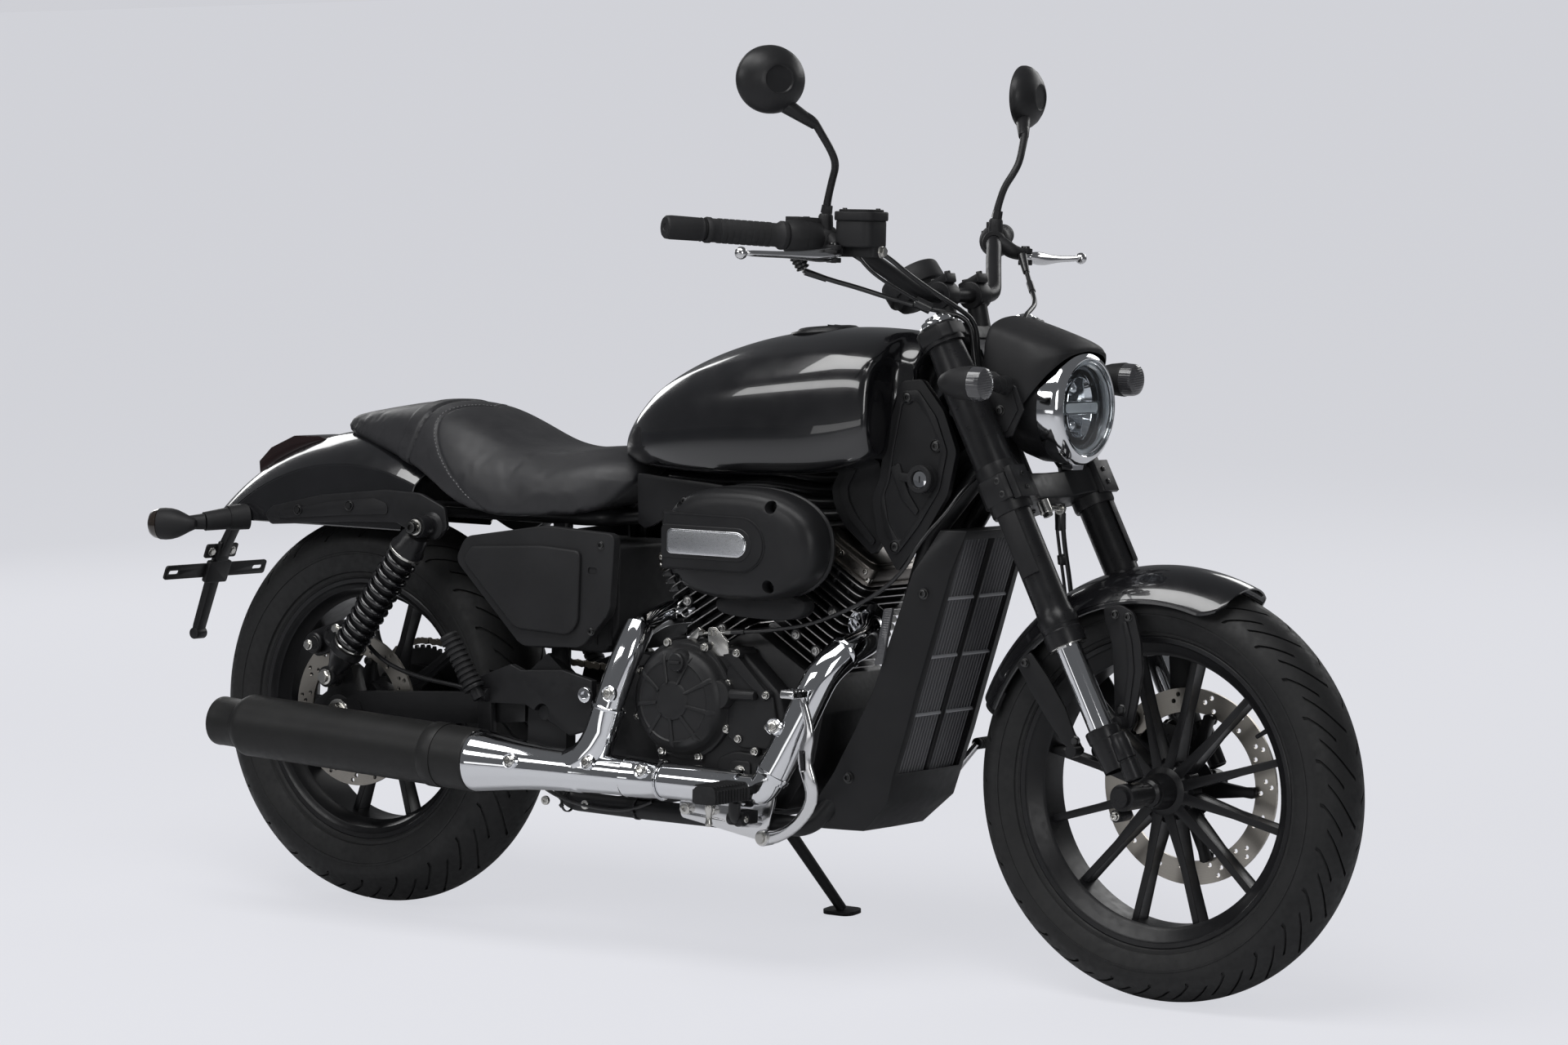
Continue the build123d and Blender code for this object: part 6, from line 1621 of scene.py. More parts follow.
def makeMirrors():
    shells, glasses, stems = [], [], []
    mx, my, mz = bars["mirror"]
    for side in (-1, 1):
        turn = radians(bars["mirrorTurn"] if side < 0 else 11)
        facing = Vector((cos(turn), side * sin(turn), 0))
        count = len(shells)
        centre = at(mx, side * my, mz)
        shells.append(lathe("mirrorShell", ((-2, 45.8), (-2, 48.4), (-0.8, 49.2), (4, 49.3), (9, 47.8), (16, 42.6),
            (22.6, 34), (26.6, 26.5), (28.4, 22.8), (28.8, 20.6), (28.0, 19.4), (27.0, 18.6), (26.8, 16), (27.4, 0)),
            centre, facing, 72, 360.0, alongZ))
        glasses.append(lathe("mirrorGlass", ((0.4, 46), (0.2, 45.6), (-0.6, 30), (-1.0, 0)), centre, facing, 64,
            360.0, alongZ))
        wider = (Matrix.Translation(centre) @ Matrix.Rotation(side * turn, 4, "Z") @
            Matrix.Diagonal((1, 1.1, 0.97, 1)) @ Matrix.Rotation(-side * turn, 4, "Z") @ Matrix.Translation(-centre))
        for piece in shells[count:] + glasses[count:]:
            piece.data.transform(wider)
        neck = centre + facing * 0.012 + Vector((0, -side * 0.022, -0.038))
        n = neck * 1000
        stem = wire("mirrorStem", [(263, side * 223, 1092), (264, side * 223, 1108), (268, side * 224, 1124),
            (275, side * 226, 1146), (286, side * 233, 1166), (288, side * 246, 1184), (281, side * 266, 1212),
            (275, side * 282, 1234), tuple(n)], 5.4, 6, radii=[1.1, 1.1, 1.0, 1.0, 1.0, 1.0, 1.05, 1.15, 1.3])
        socket = cylinder("mirrorNeck", at(277, side * 273, 1222), neck + Vector((-0.004, side * 0.008, 0.010)), 7.6,
            28, 12.5)
        bevelled(socket, 1, 2, 50)
        nut = cylinder("stemNut", at(264, side * 223, 1099), at(266, side * 223.6, 1110), 8.4, 6, 7.8)
        stems += [stem, socket, nut]
    finished(joined("mirrorShells", shells + stems), "steering", "plastic_black", finish["mirror"], "mirrors",
        angle=40)
    finished(joined("mirrorGlasses", glasses), "steering", "bright_chrome", finish["mirrorGlass"])


def makeInstrument():
    x, y, z = bars["pod"]
    tilt = Vector((-0.6, 0, 0.8))
    shell = lathe("podShell", ((-24, 0), (-24, 30), (-21, 36), (-12, 40), (-9, 41), (-8, 45), (-6, 46), (18, 46),
        (20.5, 45), (21.4, 43.4), (20.4, 41.6), (18, 41), (17, 40)), at(x, y, z), tilt, 72)
    stay = wire("podStay", [(282, 0, 984), (300, 0, 975), (322, 0, 962), (333, 0, 944)], 7, 5)
    finished(joined("podShell", [shell, stay]), "steering", "plastic_black", finish["plastic"], "instrument")
    face = lathe("podFace", ((17.4, 41), (18.6, 39), (19.4, 30), (19.8, 0)), at(x, y, z), tilt, 56)
    finished(face, "steering", "lens_clear", finish["dial"])


def makeLines():
    s = []
    for side, above in ((-1, ((240, -244, 1018), (262, -216, 1006), (288, -184, 996), (320, -150, 982),
            (350, -114, 969), (384, -92, 962), (402, -76, 956))), (1, ((304, 233, 1046), (328, 212, 1014),
            (350, 190, 993), (372, 166, 974), (390, 124, 965), (404, 88, 958)))):
        s.append(wire("controlLine", list(above) + [(411, side * 66, 940), (413, side * 62, 896),
            (427, side * 60, 838), (450, side * 60, 790), (470, side * 60, 760), (486, side * 60, 742)], 3.6, 4))
    s.append(lathe("throttleBoot", [(a, 10.6 + (2.8 if k % 2 else 0) - k * 0.26)
        for k, a in enumerate(range(0, 42, 3))], at(233, -265, 1054), Vector((9, 23, -38)), 28))
    s.append(cylinder("throttleFerrule", at(242, -242, 1016), at(262, -217, 1006), 5.2, 20, 4.4))
    s.append(cylinder("clutchBoot", at(306, 231, 1043), at(324, 214.5, 1019), 7, 24, 5))
    s.append(cylinder("clutchFerrule", at(338, 202, 1004), at(352, 188, 991), 5, 20))
    s.append(wire("brakeLine", [(344, -212, 1048), (356, -200, 1038), (368, -182, 1022), (376, -150, 1004),
        (386, -122, 988), (400, -84, 968), (411, -54, 948), (413, -50, 896), (425, -50, 840), (445, -50, 790),
        (472, -48, 758), (492, -46, 738)], 3.5, 4))
    s.append(wire("switchLine", [(311, -214, 1042), (316, -202, 1028), (326, -184, 1011), (344, -148, 990),
        (359, -116, 973)], 2.6, 4))
    s.append(cylinder("lineClip", at(350, -121, 976.5), at(367, -107, 966.5), 8.4, 20))
    s.append(wire("lowerHose", [(492, 60, 697), (490, 64, 668), (490, 70, 630), (493, 85, 570), (496, 89, 520),
        (508, 90, 450), (520, 89, 412), (540, 85, 378), (556, 77, 364), (571, 69, 353)], 3.5, 4))
    s.append(wire("lowerLead", [(480, 62, 689), (478, 66, 664), (479, 73, 628), (482, 86, 570), (486, 91, 520),
        (497, 93, 446), (510, 93, 402), (530, 92, 368), (552, 81, 352), (570, 70, 340)], 2.5, 4))
    for top, bottom, radius in (((485.5, 65, 675), (484.5, 68, 650), 8.6), ((484.5, 74, 614), (484.5, 77, 600), 8)):
        clip = cylinder("hoseClip", at(*top), at(*bottom), radius, 6)
        s.append(bevelled(clip, 1.4, 2, 30))
    finished(joined("steeringLines", s), "steering", "plastic_black", finish["line"])
    banjo = [cylinder("clampBanjo", onFork(446, -34, 6), onFork(428, -34, 6), 9, 28),
        hexBolt("clampBanjoBolt", onFork(428, -34, 6), -forkUp, 7.5, 6),
        cylinder("clampUnion", onFork(438, -40, 4), onFork(438, 30, -8), 4, 20),
        hexBolt("unionNut", onFork(437, 26, -8), alongY, 6, 10)]
    finished(joined("clampBanjo", banjo), "steering", "alloy_silver", finish["zinc"])
    horn = lathe("hornBody", ((0, 0), (0, 14), (4, 24), (8, 27), (11, 28), (14, 27), (15, 24), (13, 20), (11, 8),
        (14, 6), (14, 0)), onFork(545, -38, 22), (forkAhead + alongZ * 0.1).normalized(), 48)
    finished(horn, "steering", "plastic_black", finish["plastic"])


finish["grip"] = softRubber("gripRubber", (0.017, 0.017, 0.018))
finish["lever"] = chromePlate("leverAlloy", (0.74, 0.74, 0.75), 0.12, 0.24)
finish["mirror"] = satinPaint("mirrorBlack", (0.016, 0.016, 0.017), 0.34, 0.44, 0.06)
finish["mirrorGlass"] = finishOf("mirrorGlass", (0.66, 0.68, 0.70), 0.02, 1.0)
finish["dial"] = smokedLens("dialGlass", (0.008, 0.008, 0.009), 0.05)
makeBars()
makeControls()
makeLevers()
makeMirrors()
makeInstrument()
makeLines()
print("stage: bars")


# swingarm, shocks, chain, calipers, tail, brackets, frame
def makeSwingarm():
    dressed("swingarm", "chassis", finish["satin"], 2.4, 3)
    bolts, parts = [], []
    for side in (-1, 1):
        parts.append(bevelled(cylinder("axleBlock", at(-716.5, side * 99, 310), at(-716.5, side * 122.5, 310), 27,
            40), 2, 2, 50))
        parts.append(sideSlab("adjusterPlate", [(-742, 294), (-742, 328), (-676, 332), (-668, 316), (-676, 296)],
            side * 121, side * 124, 6))
        bolts.append(hexBolt("axleNut", at(-716.5, side * 124, 310), alongY * side, 15, 11))
        bolts.append(lathe("axleWasher", ((0, 19), (2.5, 19), (3, 17), (3, 0)), at(-716.5, side * 123, 310),
            alongY * side, 40))
        bolts.append(hexBolt("pivotNut", at(-300, side * 101, 340), alongY * side, 13, 8))
        bolts.append(lathe("adjusterScrew", ((0, 5), (26, 5), (27, 4), (27, 0)), at(-744, side * 111, 311), -alongX,
            20))
        bolts.append(hexBolt("adjusterNut", at(-742, side * 111, 311), -alongX, 9, 6))
    finished(joined("swingarmBlocks", parts), "chassis", "satin_black", finish["satin"])
    finished(joined("swingarmNuts", bolts), "chassis", "alloy_silver", finish["zinc"])


def makeShocks():
    coils, dark, bright = [], [], []
    for side in (-1, 1):
        top, foot = at(-535, side * 146, 610), at(-713, side * 146, 367)
        way = (foot - top).normalized()
        reach = (foot - top).length * 1000
        across = way.cross(alongY).normalized()
        turns, perTurn = 12.5, 22
        low, high = 54, reach - 62
        path = []
        for k in range(int(turns * perTurn) + 1):
            t = k / perTurn
            spot = top + way * ((low + (high - low) * t / turns) / 1000) + (across * cos(t * tau) +
                alongY * sin(t * tau)) * 0.0228
            path.append(tuple(spot * 1000))
        coils.append(wire("shockSpring", path, 4.3, 3))
        dark.append(lathe("shockCore", ((30, 8), (34, 17), (60, 19), (reach - 66, 19), (reach - 60, 12),
            (reach - 10, 11)), top, way, 40))
        dark.append(lathe("shockHead", ((12, 8), (16, 19), (22, 22), (34, 23.5), (42, 27.4), (47, 27.6), (49, 26),
            (50, 18)), top, way, 48))
        dark.append(lathe("shockFoot", ((reach - 62, 20), (reach - 60, 27.4), (reach - 50, 27.4), (reach - 46, 24),
            (reach - 34, 20), (reach - 20, 14), (reach - 8, 11)), top, way, 48))
        bright.append(lathe("springCollar", ((46, 18), (46.5, 26.8), (47.5, 27.9), (51, 27.9), (52, 26.6), (52, 18)),
            top, way, 48))
        bright.append(lathe("adjusterRing", ((reach - 66, 18), (reach - 66, 25), (reach - 64, 26), (reach - 62, 25),
            (reach - 61, 18)), top, way, 48))
        for spot, radius in ((top, 17), (foot, 16.5)):
            dark.append(lathe("shockEye", ((-12.5, radius - 4), (-12.5, radius - 1), (-11, radius), (11, radius),
                (12.5, radius - 1), (12.5, radius - 4)), spot, alongY * side, 40))
            bright.append(lathe("shockWasher", ((11, 12), (12.6, 12.2), (14.6, 12), (14.6, 0)), spot, alongY * side,
                32))
            bright.append(hexBolt("shockNut", spot + alongY * side * 0.0144, alongY * side, 9.5, 7))
            bright.append(cylinder("shockStud", spot - alongY * side * 0.026, spot + alongY * side * 0.012, 7, 20))
    finished(joined("shockSprings", coils), "chassis", "gloss_black", finish["gloss"], "rear_shocks", angle=60)
    finished(joined("shockBodies", dark), "chassis", "satin_black", finish["fork"])
    finished(joined("shockBolts", bright), "chassis", "alloy_silver", finish["zinc"])


def chainPath():
    wheel, small, big, low = Vector((-716.5, 310)), Vector((-158, 345)), 98.3, 37.3
    span = small - wheel
    base, turn = atan2(span.y, span.x), asin((big - low) / span.length)
    upper, lower = base + (pi / 2 - turn), base - (pi / 2 - turn)
    points = []
    for k in range(25):
        a = upper + (tau - (upper - lower)) * k / 24
        points.append(wheel + Vector((cos(a), sin(a))) * big)
    for k in range(25):
        a = lower + (upper - lower) * k / 24
        points.append(small + Vector((cos(a), sin(a))) * low)
    return points + [points[0]]


def makeChain():
    points = chainPath()
    lengths = [0.0]
    for a, b in zip(points, points[1:]):
        lengths.append(lengths[-1] + (b - a).length)

    def along(d):
        d %= lengths[-1]
        k = max(i for i in range(len(lengths) - 1) if lengths[i] <= d)
        return points[k].lerp(points[k + 1], (d - lengths[k]) / (lengths[k + 1] - lengths[k]))

    count = 2 * round(lengths[-1] / 15.875 / 2)
    pitch = lengths[-1] / count
    pieces = []
    for kind, near, far in (("outer", 4.9, 6.3), ("inner", 3.0, 4.4)):
        halves = []
        for side in (-1, 1):
            outline = ([(7.9 + 5.4 * cos(t), 5.4 * sin(t)) for t in (radians(a) for a in range(-80, 81, 20))] +
                [(0, 3.7)] + [(-7.9 + 5.4 * cos(t), 5.4 * sin(t)) for t in (radians(a)
                for a in range(100, 261, 20))] + [(0, -3.7)])
            halves.append(sideSlab("chainPlate", outline, side * near, side * far, 0))
        for end in (-7.9, 7.9):
            halves.append(cylinder("chainPin", at(end, -far - 0.4, 0), at(end, far + 0.4, 0), 2.6, 10)
                if kind == "outer" else cylinder("chainRoller", at(end, -3.1, 0), at(end, 3.1, 0), 4.6, 12))
        shape = joined(kind + "Link", halves)
        for k in range(0 if kind == "outer" else 1, count, 2):
            a, b = along(k * pitch), along((k + 1) * pitch)
            middle, lean = (a + b) / 2, atan2(b.y - a.y, b.x - a.x)
            place = Matrix.Translation((middle.x / 1000, 0.088, middle.y / 1000)) @ Matrix.Rotation(-lean, 4, "Y")
            pieces.append(copyOf(shape, place))
        bpy.data.objects.remove(shape)
    finished(joined("driveChain", pieces), "chassis", "chain_steel", finish["chain"], "chain", angle=40)


def makeTail():
    dressed("tail_lamp", "chassis", finish["tailLens"], 2.5, 3)
    bodies, lenses, bolts = [], [], []
    for side in (-1, 1):
        stem, neck, nose = (-936, side * 112.3, 604), (-964, side * 166, 597), (-990, side * 200, 594)
        bodies.append(cylinder("rearStalk", at(*stem), at(*neck), 19, 36, 15))
        bodies.append(cylinder("rearStalkNut", at(-930, side * 104, 605), at(-945, side * 131, 602), 21.5, 36, 19.5))
        bodies.append(cylinder("rearNeck", at(*neck), at(*nose), 13, 28, 9.5))
        tip, way = at(-958, side * 191, 594.5), Vector((-0.94, side * 0.34, -0.03)).normalized()
        bodies.append(lathe("rearBullet", ((0, 0), (0.8, 6), (4, 9.4), (12, 12.6), (22, 17.6), (32, 22), (42, 24.6),
            (52, 25.4), (60, 25), (61, 23), (61, 20)), tip, way, 56))
        lenses.append(lathe("rearLens", ((61, 22.6), (61.5, 24.4), (69, 22.6), (75, 18.8), (78, 13), (79, 6),
            (79, 0)), tip, way, 56))
        bolts.append(boltHead("rearStalkBolt", at(-935, side * 112, 588), -alongZ, 5, 3))
    finished(joined("rearSignals", bodies), "chassis", "plastic_black", finish["plastic"], "rear_signals")
    finished(joined("rearSignalLenses", lenses), "chassis", "lens_smoke", finish["signalLens"])
    finished(joined("rearSignalBolts", bolts), "chassis", "satin_black", finish["darkBolt"])
    dressed("rear_caliper", "chassis", finish["fork"], 3, 3)
    dressed("passenger_brackets", "chassis", finish["satin"], 2.2, 3)
    dressed("front_caliper", "steering", finish["fork"], 3, 3)


def onBoard(y, up, out):
    return at(-1090 + up * 0.342 - out * 0.94, y, 505 + up * 0.94 + out * 0.342)


def boardPiece(name, low, high, left, right, out, thick, corner):
    spots = [onBoard(y, up, out) for y, up in ((left, low), (right, low), (right, high), (left, high))]
    return slab(name, spots, onBoard(0, 0, thick) - onBoard(0, 0, 0), corner)


def makePlateBracket():
    arm = sideSlab("plateArm", [(-1018, 614), (-1044, 578), (-1080, 516), (-1120, 406), (-1123, 394), (-1133, 393),
        (-1131, 412), (-1096, 516), (-1056, 580), (-1034, 618)], -10, 10, 4)
    bevelled(arm, 2, 2, 30)
    knob = bevelled(cylinder("plateKnob", at(-1127, -12, 399), at(-1127, 12, 399), 9.5, 32), 1.5, 2, 50)
    pieces = [arm, knob, bevelled(boardPiece("plateBlock", -20, 18, -26, 26, -7, 9, 4), 1.4, 2),
        bevelled(boardPiece("upperBoard", 22, 46, -37, 37, -1, 4, 4), 0.8, 2),
        bevelled(boardPiece("boardSeat", 18, 52, -14, 14, -8, 8, 3), 1, 2)]
    for side in (-1, 1):
        wing = boardPiece("plateWing", -12, 12, side * 22, side * 120, -1, 4, 5)
        cutBy(wing, boardPiece("wingSlot", -3.5, 3.5, side * 88, side * 112, -8, 20, 3.4))
        pieces.append(bevelled(wing, 0.7, 2, 50))
    finished(joined("plateBracket", pieces), "chassis", "satin_black", finish["satin"], "plate_bracket")
    screws = []
    for side in (-1, 1):
        for way in (-1, 1):
            start = onBoard(side * 24, 34, 3 if way > 0 else -1)
            screws.append(hexBolt("boardScrew", start, (onBoard(0, 0, way) - onBoard(0, 0, 0)).normalized(), 5.6, 4))
    finished(joined("boardScrews", screws), "chassis", "alloy_silver", finish["zinc"])


def makeBrakeDetails():
    bright, dark = [], []
    turn = radians(20)
    for a in (-26, 14):
        spot = at(-758 + a * cos(turn), -104, 421 + a * sin(turn))
        dark.append(lathe("caliperPot", ((0, 17), (5, 17), (7, 15), (7.4, 12), (6, 10), (6, 0)), spot, -alongY, 40))
    for a in (-36, 36):
        bright.append(hexBolt("caliperPin", at(-758 + a * cos(turn), -110, 421 + a * sin(turn)), -alongY, 6.5, 5))
    dark.append(wire("rearHose", [(-736, -100, 440), (-716, -106, 452), (-690, -112, 440), (-640, -116, 396),
        (-560, -120, 374), (-460, -120, 366), (-392, -112, 352)], 3.4, 4))
    bright.append(hexBolt("rearBanjo", at(-736, -108, 438), -alongY, 6, 6))
    dark.append(cylinder("hoseUnion", at(-736, -98, 438), at(-736, -108, 438), 8, 24))
    finished(joined("rearBrakeParts", dark), "chassis", "caliper_black", finish["fork"])
    finished(joined("rearBrakeBolts", bright), "chassis", "alloy_silver", finish["zinc"])
    bolts = [boltHead("bracketBolt", at(-215, side * 138.2, 374), alongY * side, 12, 6.6) for side in (-1, 1)]
    finished(joined("bracketCaps", bolts), "chassis", "bright_chrome", finish["chrome"])


def makeFrame():
    for name in ("frame_spine", "frame_downtubes", "frame_lower_rails", "frame_uprights"):
        dressed(name, "chassis", finish["satin"], 0)
    ties, bolts = [], []
    for x in (-262, -128):
        ties.append(lathe("cableTie", ((-2, 15), (-2, 16.6), (2, 16.6), (2, 15)), at(x, -118, 208), alongX, 32))
        ties.append(cylinder("tieHead", at(x, -132, 203), at(x, -136, 203), 4, 4))
    for k in range(10):
        z, y = 640 + (k % 5) * 19, -20 + (k // 5) * 40
        ties.append(wire("frameLoom", [(-150, y, z + 4), (-60, y + 6, z - 5 + k), (40, y - 5, z + 6),
            (130, y + 4, z - 3 - k), (200, y, z + 8), (250, y * 0.8, z + 26)], 9.5, 5))
    ties.append(wire("railLead", [(-300, -124, 224), (-262, -134, 212), (-190, -136, 204), (-128, -134, 206),
        (-96, -128, 222)], 3, 4))
    for x in (-292, -216):
        bolts.append(boltHead("railBolt", at(x, -133, 208), -alongY, 7, 4.5))
    finished(joined("railTies", ties), "chassis", "plastic_black", finish["line"])
    finished(joined("railBolts", bolts), "chassis", "alloy_silver", finish["zinc"])


makeSwingarm()
makeShocks()
makeChain()
makeTail()
makePlateBracket()
makeBrakeDetails()
makeFrame()
print("stage: rear")


# pegs, pedal, shifter, side stand
def makeRiderPeg(side):
    rubber, metal, bright = [], [], []
    body = slab("pegRubber", [at(122 + a, side * 212, 264 + b) for a, b in ((-20, -12), (20, -12), (21, 0), (17, 14),
        (-17, 14), (-21, 0))], alongY * side * 0.084, 6)
    bevelled(body, 3, 3, 35)
    rubber.append(body)
    for k in range(11):
        y = side * (218 + k * 7.2)
        rubber.append(sideSlab("pegRib", [(103, 277.6), (105, 280), (139, 280), (141, 277.6)], y, y + side * 3.4, 0))
        rubber.append(sideSlab("pegRib", [(99.6, 254), (99.6, 272), (101.4, 273), (101.4, 253)], y, y + side * 3.4,
            0))
        rubber.append(sideSlab("pegRib", [(144.4, 254), (144.4, 272), (142.6, 273), (142.6, 253)], y, y + side * 3.4,
            0))
    metal.append(wire("pegArm", [(108, side * 190, 218), (112, side * 212, 226), (120, side * 216, 250)], 9, 6))
    metal.append(bevelled(cylinder("pegHinge", at(96, side * 196, 222), at(124, side * 196, 222), 10, 28), 1.2, 2,
        50))
    metal.append(slab("pegYoke", [at(98 + a, side * 190 + b * side, 214)
        for a, b in ((0, -30), (24, -30), (24, 14), (0, 14))], alongZ * 0.018, 3))
    bright.append(boltHead("pegPin", at(124, side * 196, 222), alongX, 5, 3, washer=0))
    feeler = lathe("pegFeeler", ((0, 5), (3, 6), (10, 6), (14, 4.6), (26, 4.4), (29, 5.4), (33, 5.2), (34.5, 3),
        (34.5, 0)), at(122, side * 283, 254), -alongZ, 28)
    bright.append(feeler)
    return rubber, metal, bright


def makePassengerPeg(side):
    rubber, metal = [], []
    base, tip = at(-412, side * 157, 366), at(-462, side * 166, 450)
    way = (tip - base).normalized()
    metal.append(bevelled(cylinder("pegKnuckle", at(-424, side * 141, 360), at(-400, side * 141, 360), 10, 28), 1, 2,
        50))
    metal.append(cylinder("pegBase", base - way * 0.012, base + way * 0.012, 10, 32))
    ring = bevelled(cylinder("pegFlange", base + way * 0.004, base + way * 0.010, 17, 36), 1.4, 2, 50)
    metal.append(ring)
    reach = (tip - base).length * 1000
    profile = [(8, 10)]
    for k in range(9):
        d = 12 + k * (reach - 18) / 9
        profile += [(d, 12.4), (d + 0.8, 15.4), (d + 5.2, 15.4), (d + 6, 12.4)]
    profile += [(reach - 4, 14.6), (reach - 0.6, 13.4), (reach, 10), (reach, 0)]
    rubber.append(lathe("passengerRubber", profile, base, way, 48))
    return rubber, metal


def makeFeet():
    rubber, black, bright = [], [], []
    for side in (-1, 1):
        a, b, c = makeRiderPeg(side)
        rubber += a
        black += b
        bright += c
        a, b = makePassengerPeg(side)
        rubber += a
        black += b
    finished(joined("pegRubbers", rubber), "chassis", "peg_rubber", finish["rubber"], "foot_pegs", angle=30)
    finished(joined("pegMetal", black), "chassis", "satin_black", finish["satin"])
    finished(joined("pegFeelers", bright), "chassis", "alloy_silver", finish["zinc"])


def makeControlsBelow():
    alloy, bolts = [], []
    outline = [(-38, 232), (96, 232), (104, 250), (120, 270), (138, 276), (134, 240), (124, 204), (112, 184),
        (70, 190), (20, 198), (-34, 206)]
    for side in (-1, 1):
        plate = sideSlab("pegPlate", outline, side * 133.5, side * 139.2, 5)
        bevelled(plate, 1.4, 2, 30)
        alloy.append(plate)
        alloy.append(bevelled(sideSlab("plateRib", [(-24, 210), (60, 203), (62, 208), (-22, 215)], side * 139,
            side * 142, 2), 0.8, 2))
        alloy.append(bevelled(cylinder("pivotBoss", at(126, side * 134, 191), at(126, side * 158, 191), 12, 36), 1.4,
            2, 50))
        alloy.append(wire("pegStub", [(104, side * 137, 212), (107, side * 170, 216), (109, side * 192, 219)], 9.5,
            6))
        for x, z in ((-24, 220), (22, 222), (78, 218)):
            bolts.append(boltHead("plateBolt", at(x, side * 139, z), alongY * side, 9, 6))
        bolts.append(hexBolt("pivotBolt", at(126, side * 158, 191), alongY * side, 8, 5))
    sections = ((124, 148, 190, 15, 10), (148, 153, 194, 12, 9), (182, 163, 208, 11, 8), (212, 174, 232, 12, 8),
        (234, 184, 258, 14, 8), (234, 189, 282, 15, 8), (224, 191, 304, 15, 7.6), (222, 192, 328, 15, 7.4),
        (230, 192, 346, 13, 7), (231, 192, 366, 9, 6.4), (221, 192, 394, 8, 6.2), (215, 192, 410, 8, 6))
    rings = []
    for k, (x, y, z, wide, thick) in enumerate(sections):
        ahead = sections[min(k + 1, len(sections) - 1)]
        back = sections[max(k - 1, 0)]
        way = Vector((ahead[0] - back[0], back[1] - ahead[1], ahead[2] - back[2])).normalized()
        flat = way.cross(alongY).normalized()
        deep = way.cross(flat).normalized()
        rings.append([tuple(Vector((x, -y, z)) + flat * wide * 0.8 * cos(t) + deep * thick * 0.8 * sin(t))
            for t in (j * tau / 16 for j in range(16))])
    pedal = skinned("brakePedal", rings)
    subdivided(pedal, 1)
    slot = sideSlab("pedalSlot", [(217, 330), (228, 331), (229, 300), (219, 299)], -150, -230, 2)
    cutBy(pedal, slot)
    alloy.append(pedal)
    pad = slab("pedalPad", [at(200 + a, -190, 404 + b) for a, b in ((2, 2), (26, 2), (26, 13), (2, 13))],
        -alongY * 0.037, 3)
    alloy.append(bevelled(pad, 1.6, 3, 35))
    for k in range(4):
        alloy.append(slab("padRib", [at(203 + a, -195 - k * 8.6, 416.4 + b)
            for a, b in ((0, 0), (22, 0), (22, 1.8), (0, 1.8))], -alongY * 0.004, 0))
    shifter = wire("gearLever", [(126, 152, 192), (150, 154, 198), (200, 161, 219), (236, 166, 256), (262, 169, 290),
        (284, 172, 316)], 6.6, 6, radii=[1.2, 1, 0.95, 0.92, 0.9, 0.9])
    alloy.append(shifter)
    tipRubber = lathe("gearTip", [(0, 6), (1, 8.6)] + [p for k in range(6)
        for p in ((4 + k * 5.4, 8.8), (6.4 + k * 5.4, 8.8), (6.8 + k * 5.4, 7.9), (8.8 + k * 5.4, 7.9))] +
        [(37, 8.8), (39.5, 7.6), (40, 0)], at(284, 168, 316), alongY, 32)
    finished(joined("footControls", alloy), "chassis", "alloy_silver", finish["forged"], "foot_controls", angle=34)
    finished(joined("plateBolts", bolts), "chassis", "alloy_silver", finish["zinc"])
    finished(tipRubber, "chassis", "peg_rubber", finish["rubber"])


def makeStand():
    dressed("side_stand", "side_stand", finish["satin"], 1.6, 2)


makeFeet()
makeControlsBelow()
makeStand()
print("stage: feet")


# wheels
wheels = {
    "front": {"axle": frontAxle, "radius": 299, "half": 60, "flange": 217, "rimHalf": 43, "spokes": 12,
              "firstSpoke": 17.0, "body": "front_wheel", "hub": 34, "hubHalf": 56, "discY": 58, "discBore": 106,
              "pitch": 12, "tyre": "front_tyre", "rim": "front_rim", "disc": "front_disc"},
    "rear": {"axle": rearAxle, "radius": 310, "half": 75, "flange": 204, "rimHalf": 56, "spokes": 10,
             "firstSpoke": 0.0, "body": "rear_wheel", "hub": 42, "hubHalf": 62, "discY": -80, "discBore": 88,
             "pitch": 14, "tyre": "rear_tyre", "rim": "rear_rim", "disc": "rear_disc"},
}
treadShape = {"steps": 336, "sweep": 15.0, "depth": 0.0038, "from": 0.12, "to": 0.84}


def tyreProfile(w):
    r, half, bead, beadHalf = w["radius"], w["half"], w["flange"], w["rimHalf"]
    drop = r - bead
    outer = [(0, r)]
    for k in range(1, 13):
        a = k / 12 * 62
        outer.append((half * 0.985 * sin(radians(a)) / sin(radians(62)),
                      r - drop * 0.43 * (1 - cos(radians(a))) / (1 - cos(radians(62)))))
    outer += [(half, bead + drop * 0.50), (half * 0.995, bead + drop * 0.42), (half + 0.6, bead + drop * 0.415),
        (half + 0.6, bead + drop * 0.385), (half * 0.99, bead + drop * 0.38),
        (beadHalf + (half - beadHalf) * 0.78, bead + drop * 0.22), (beadHalf + (half - beadHalf) * 0.5, bead +
        drop * 0.12), (beadHalf + 6, bead + drop * 0.105), (beadHalf + 5.4, bead + drop * 0.06),
        (beadHalf + 1.6, bead + 2), (beadHalf - 1, bead - 3)]
    inner = [(half * 0.8, bead + drop * 0.3), (half * 0.72, bead + drop * 0.62)]
    ring = [(-a, rr) for a, rr in reversed(outer[1:])] + outer + inner
    return ring + [(-a, rr) for a, rr in reversed(inner)] + [ring[0]]


def sweptAngle(w, y):
    share = min(1.0, abs(y) / (w["half"] * 0.9))
    return treadShape["sweep"] * share ** 1.4 * (1 if w["radius"] < 305 else 1.15)


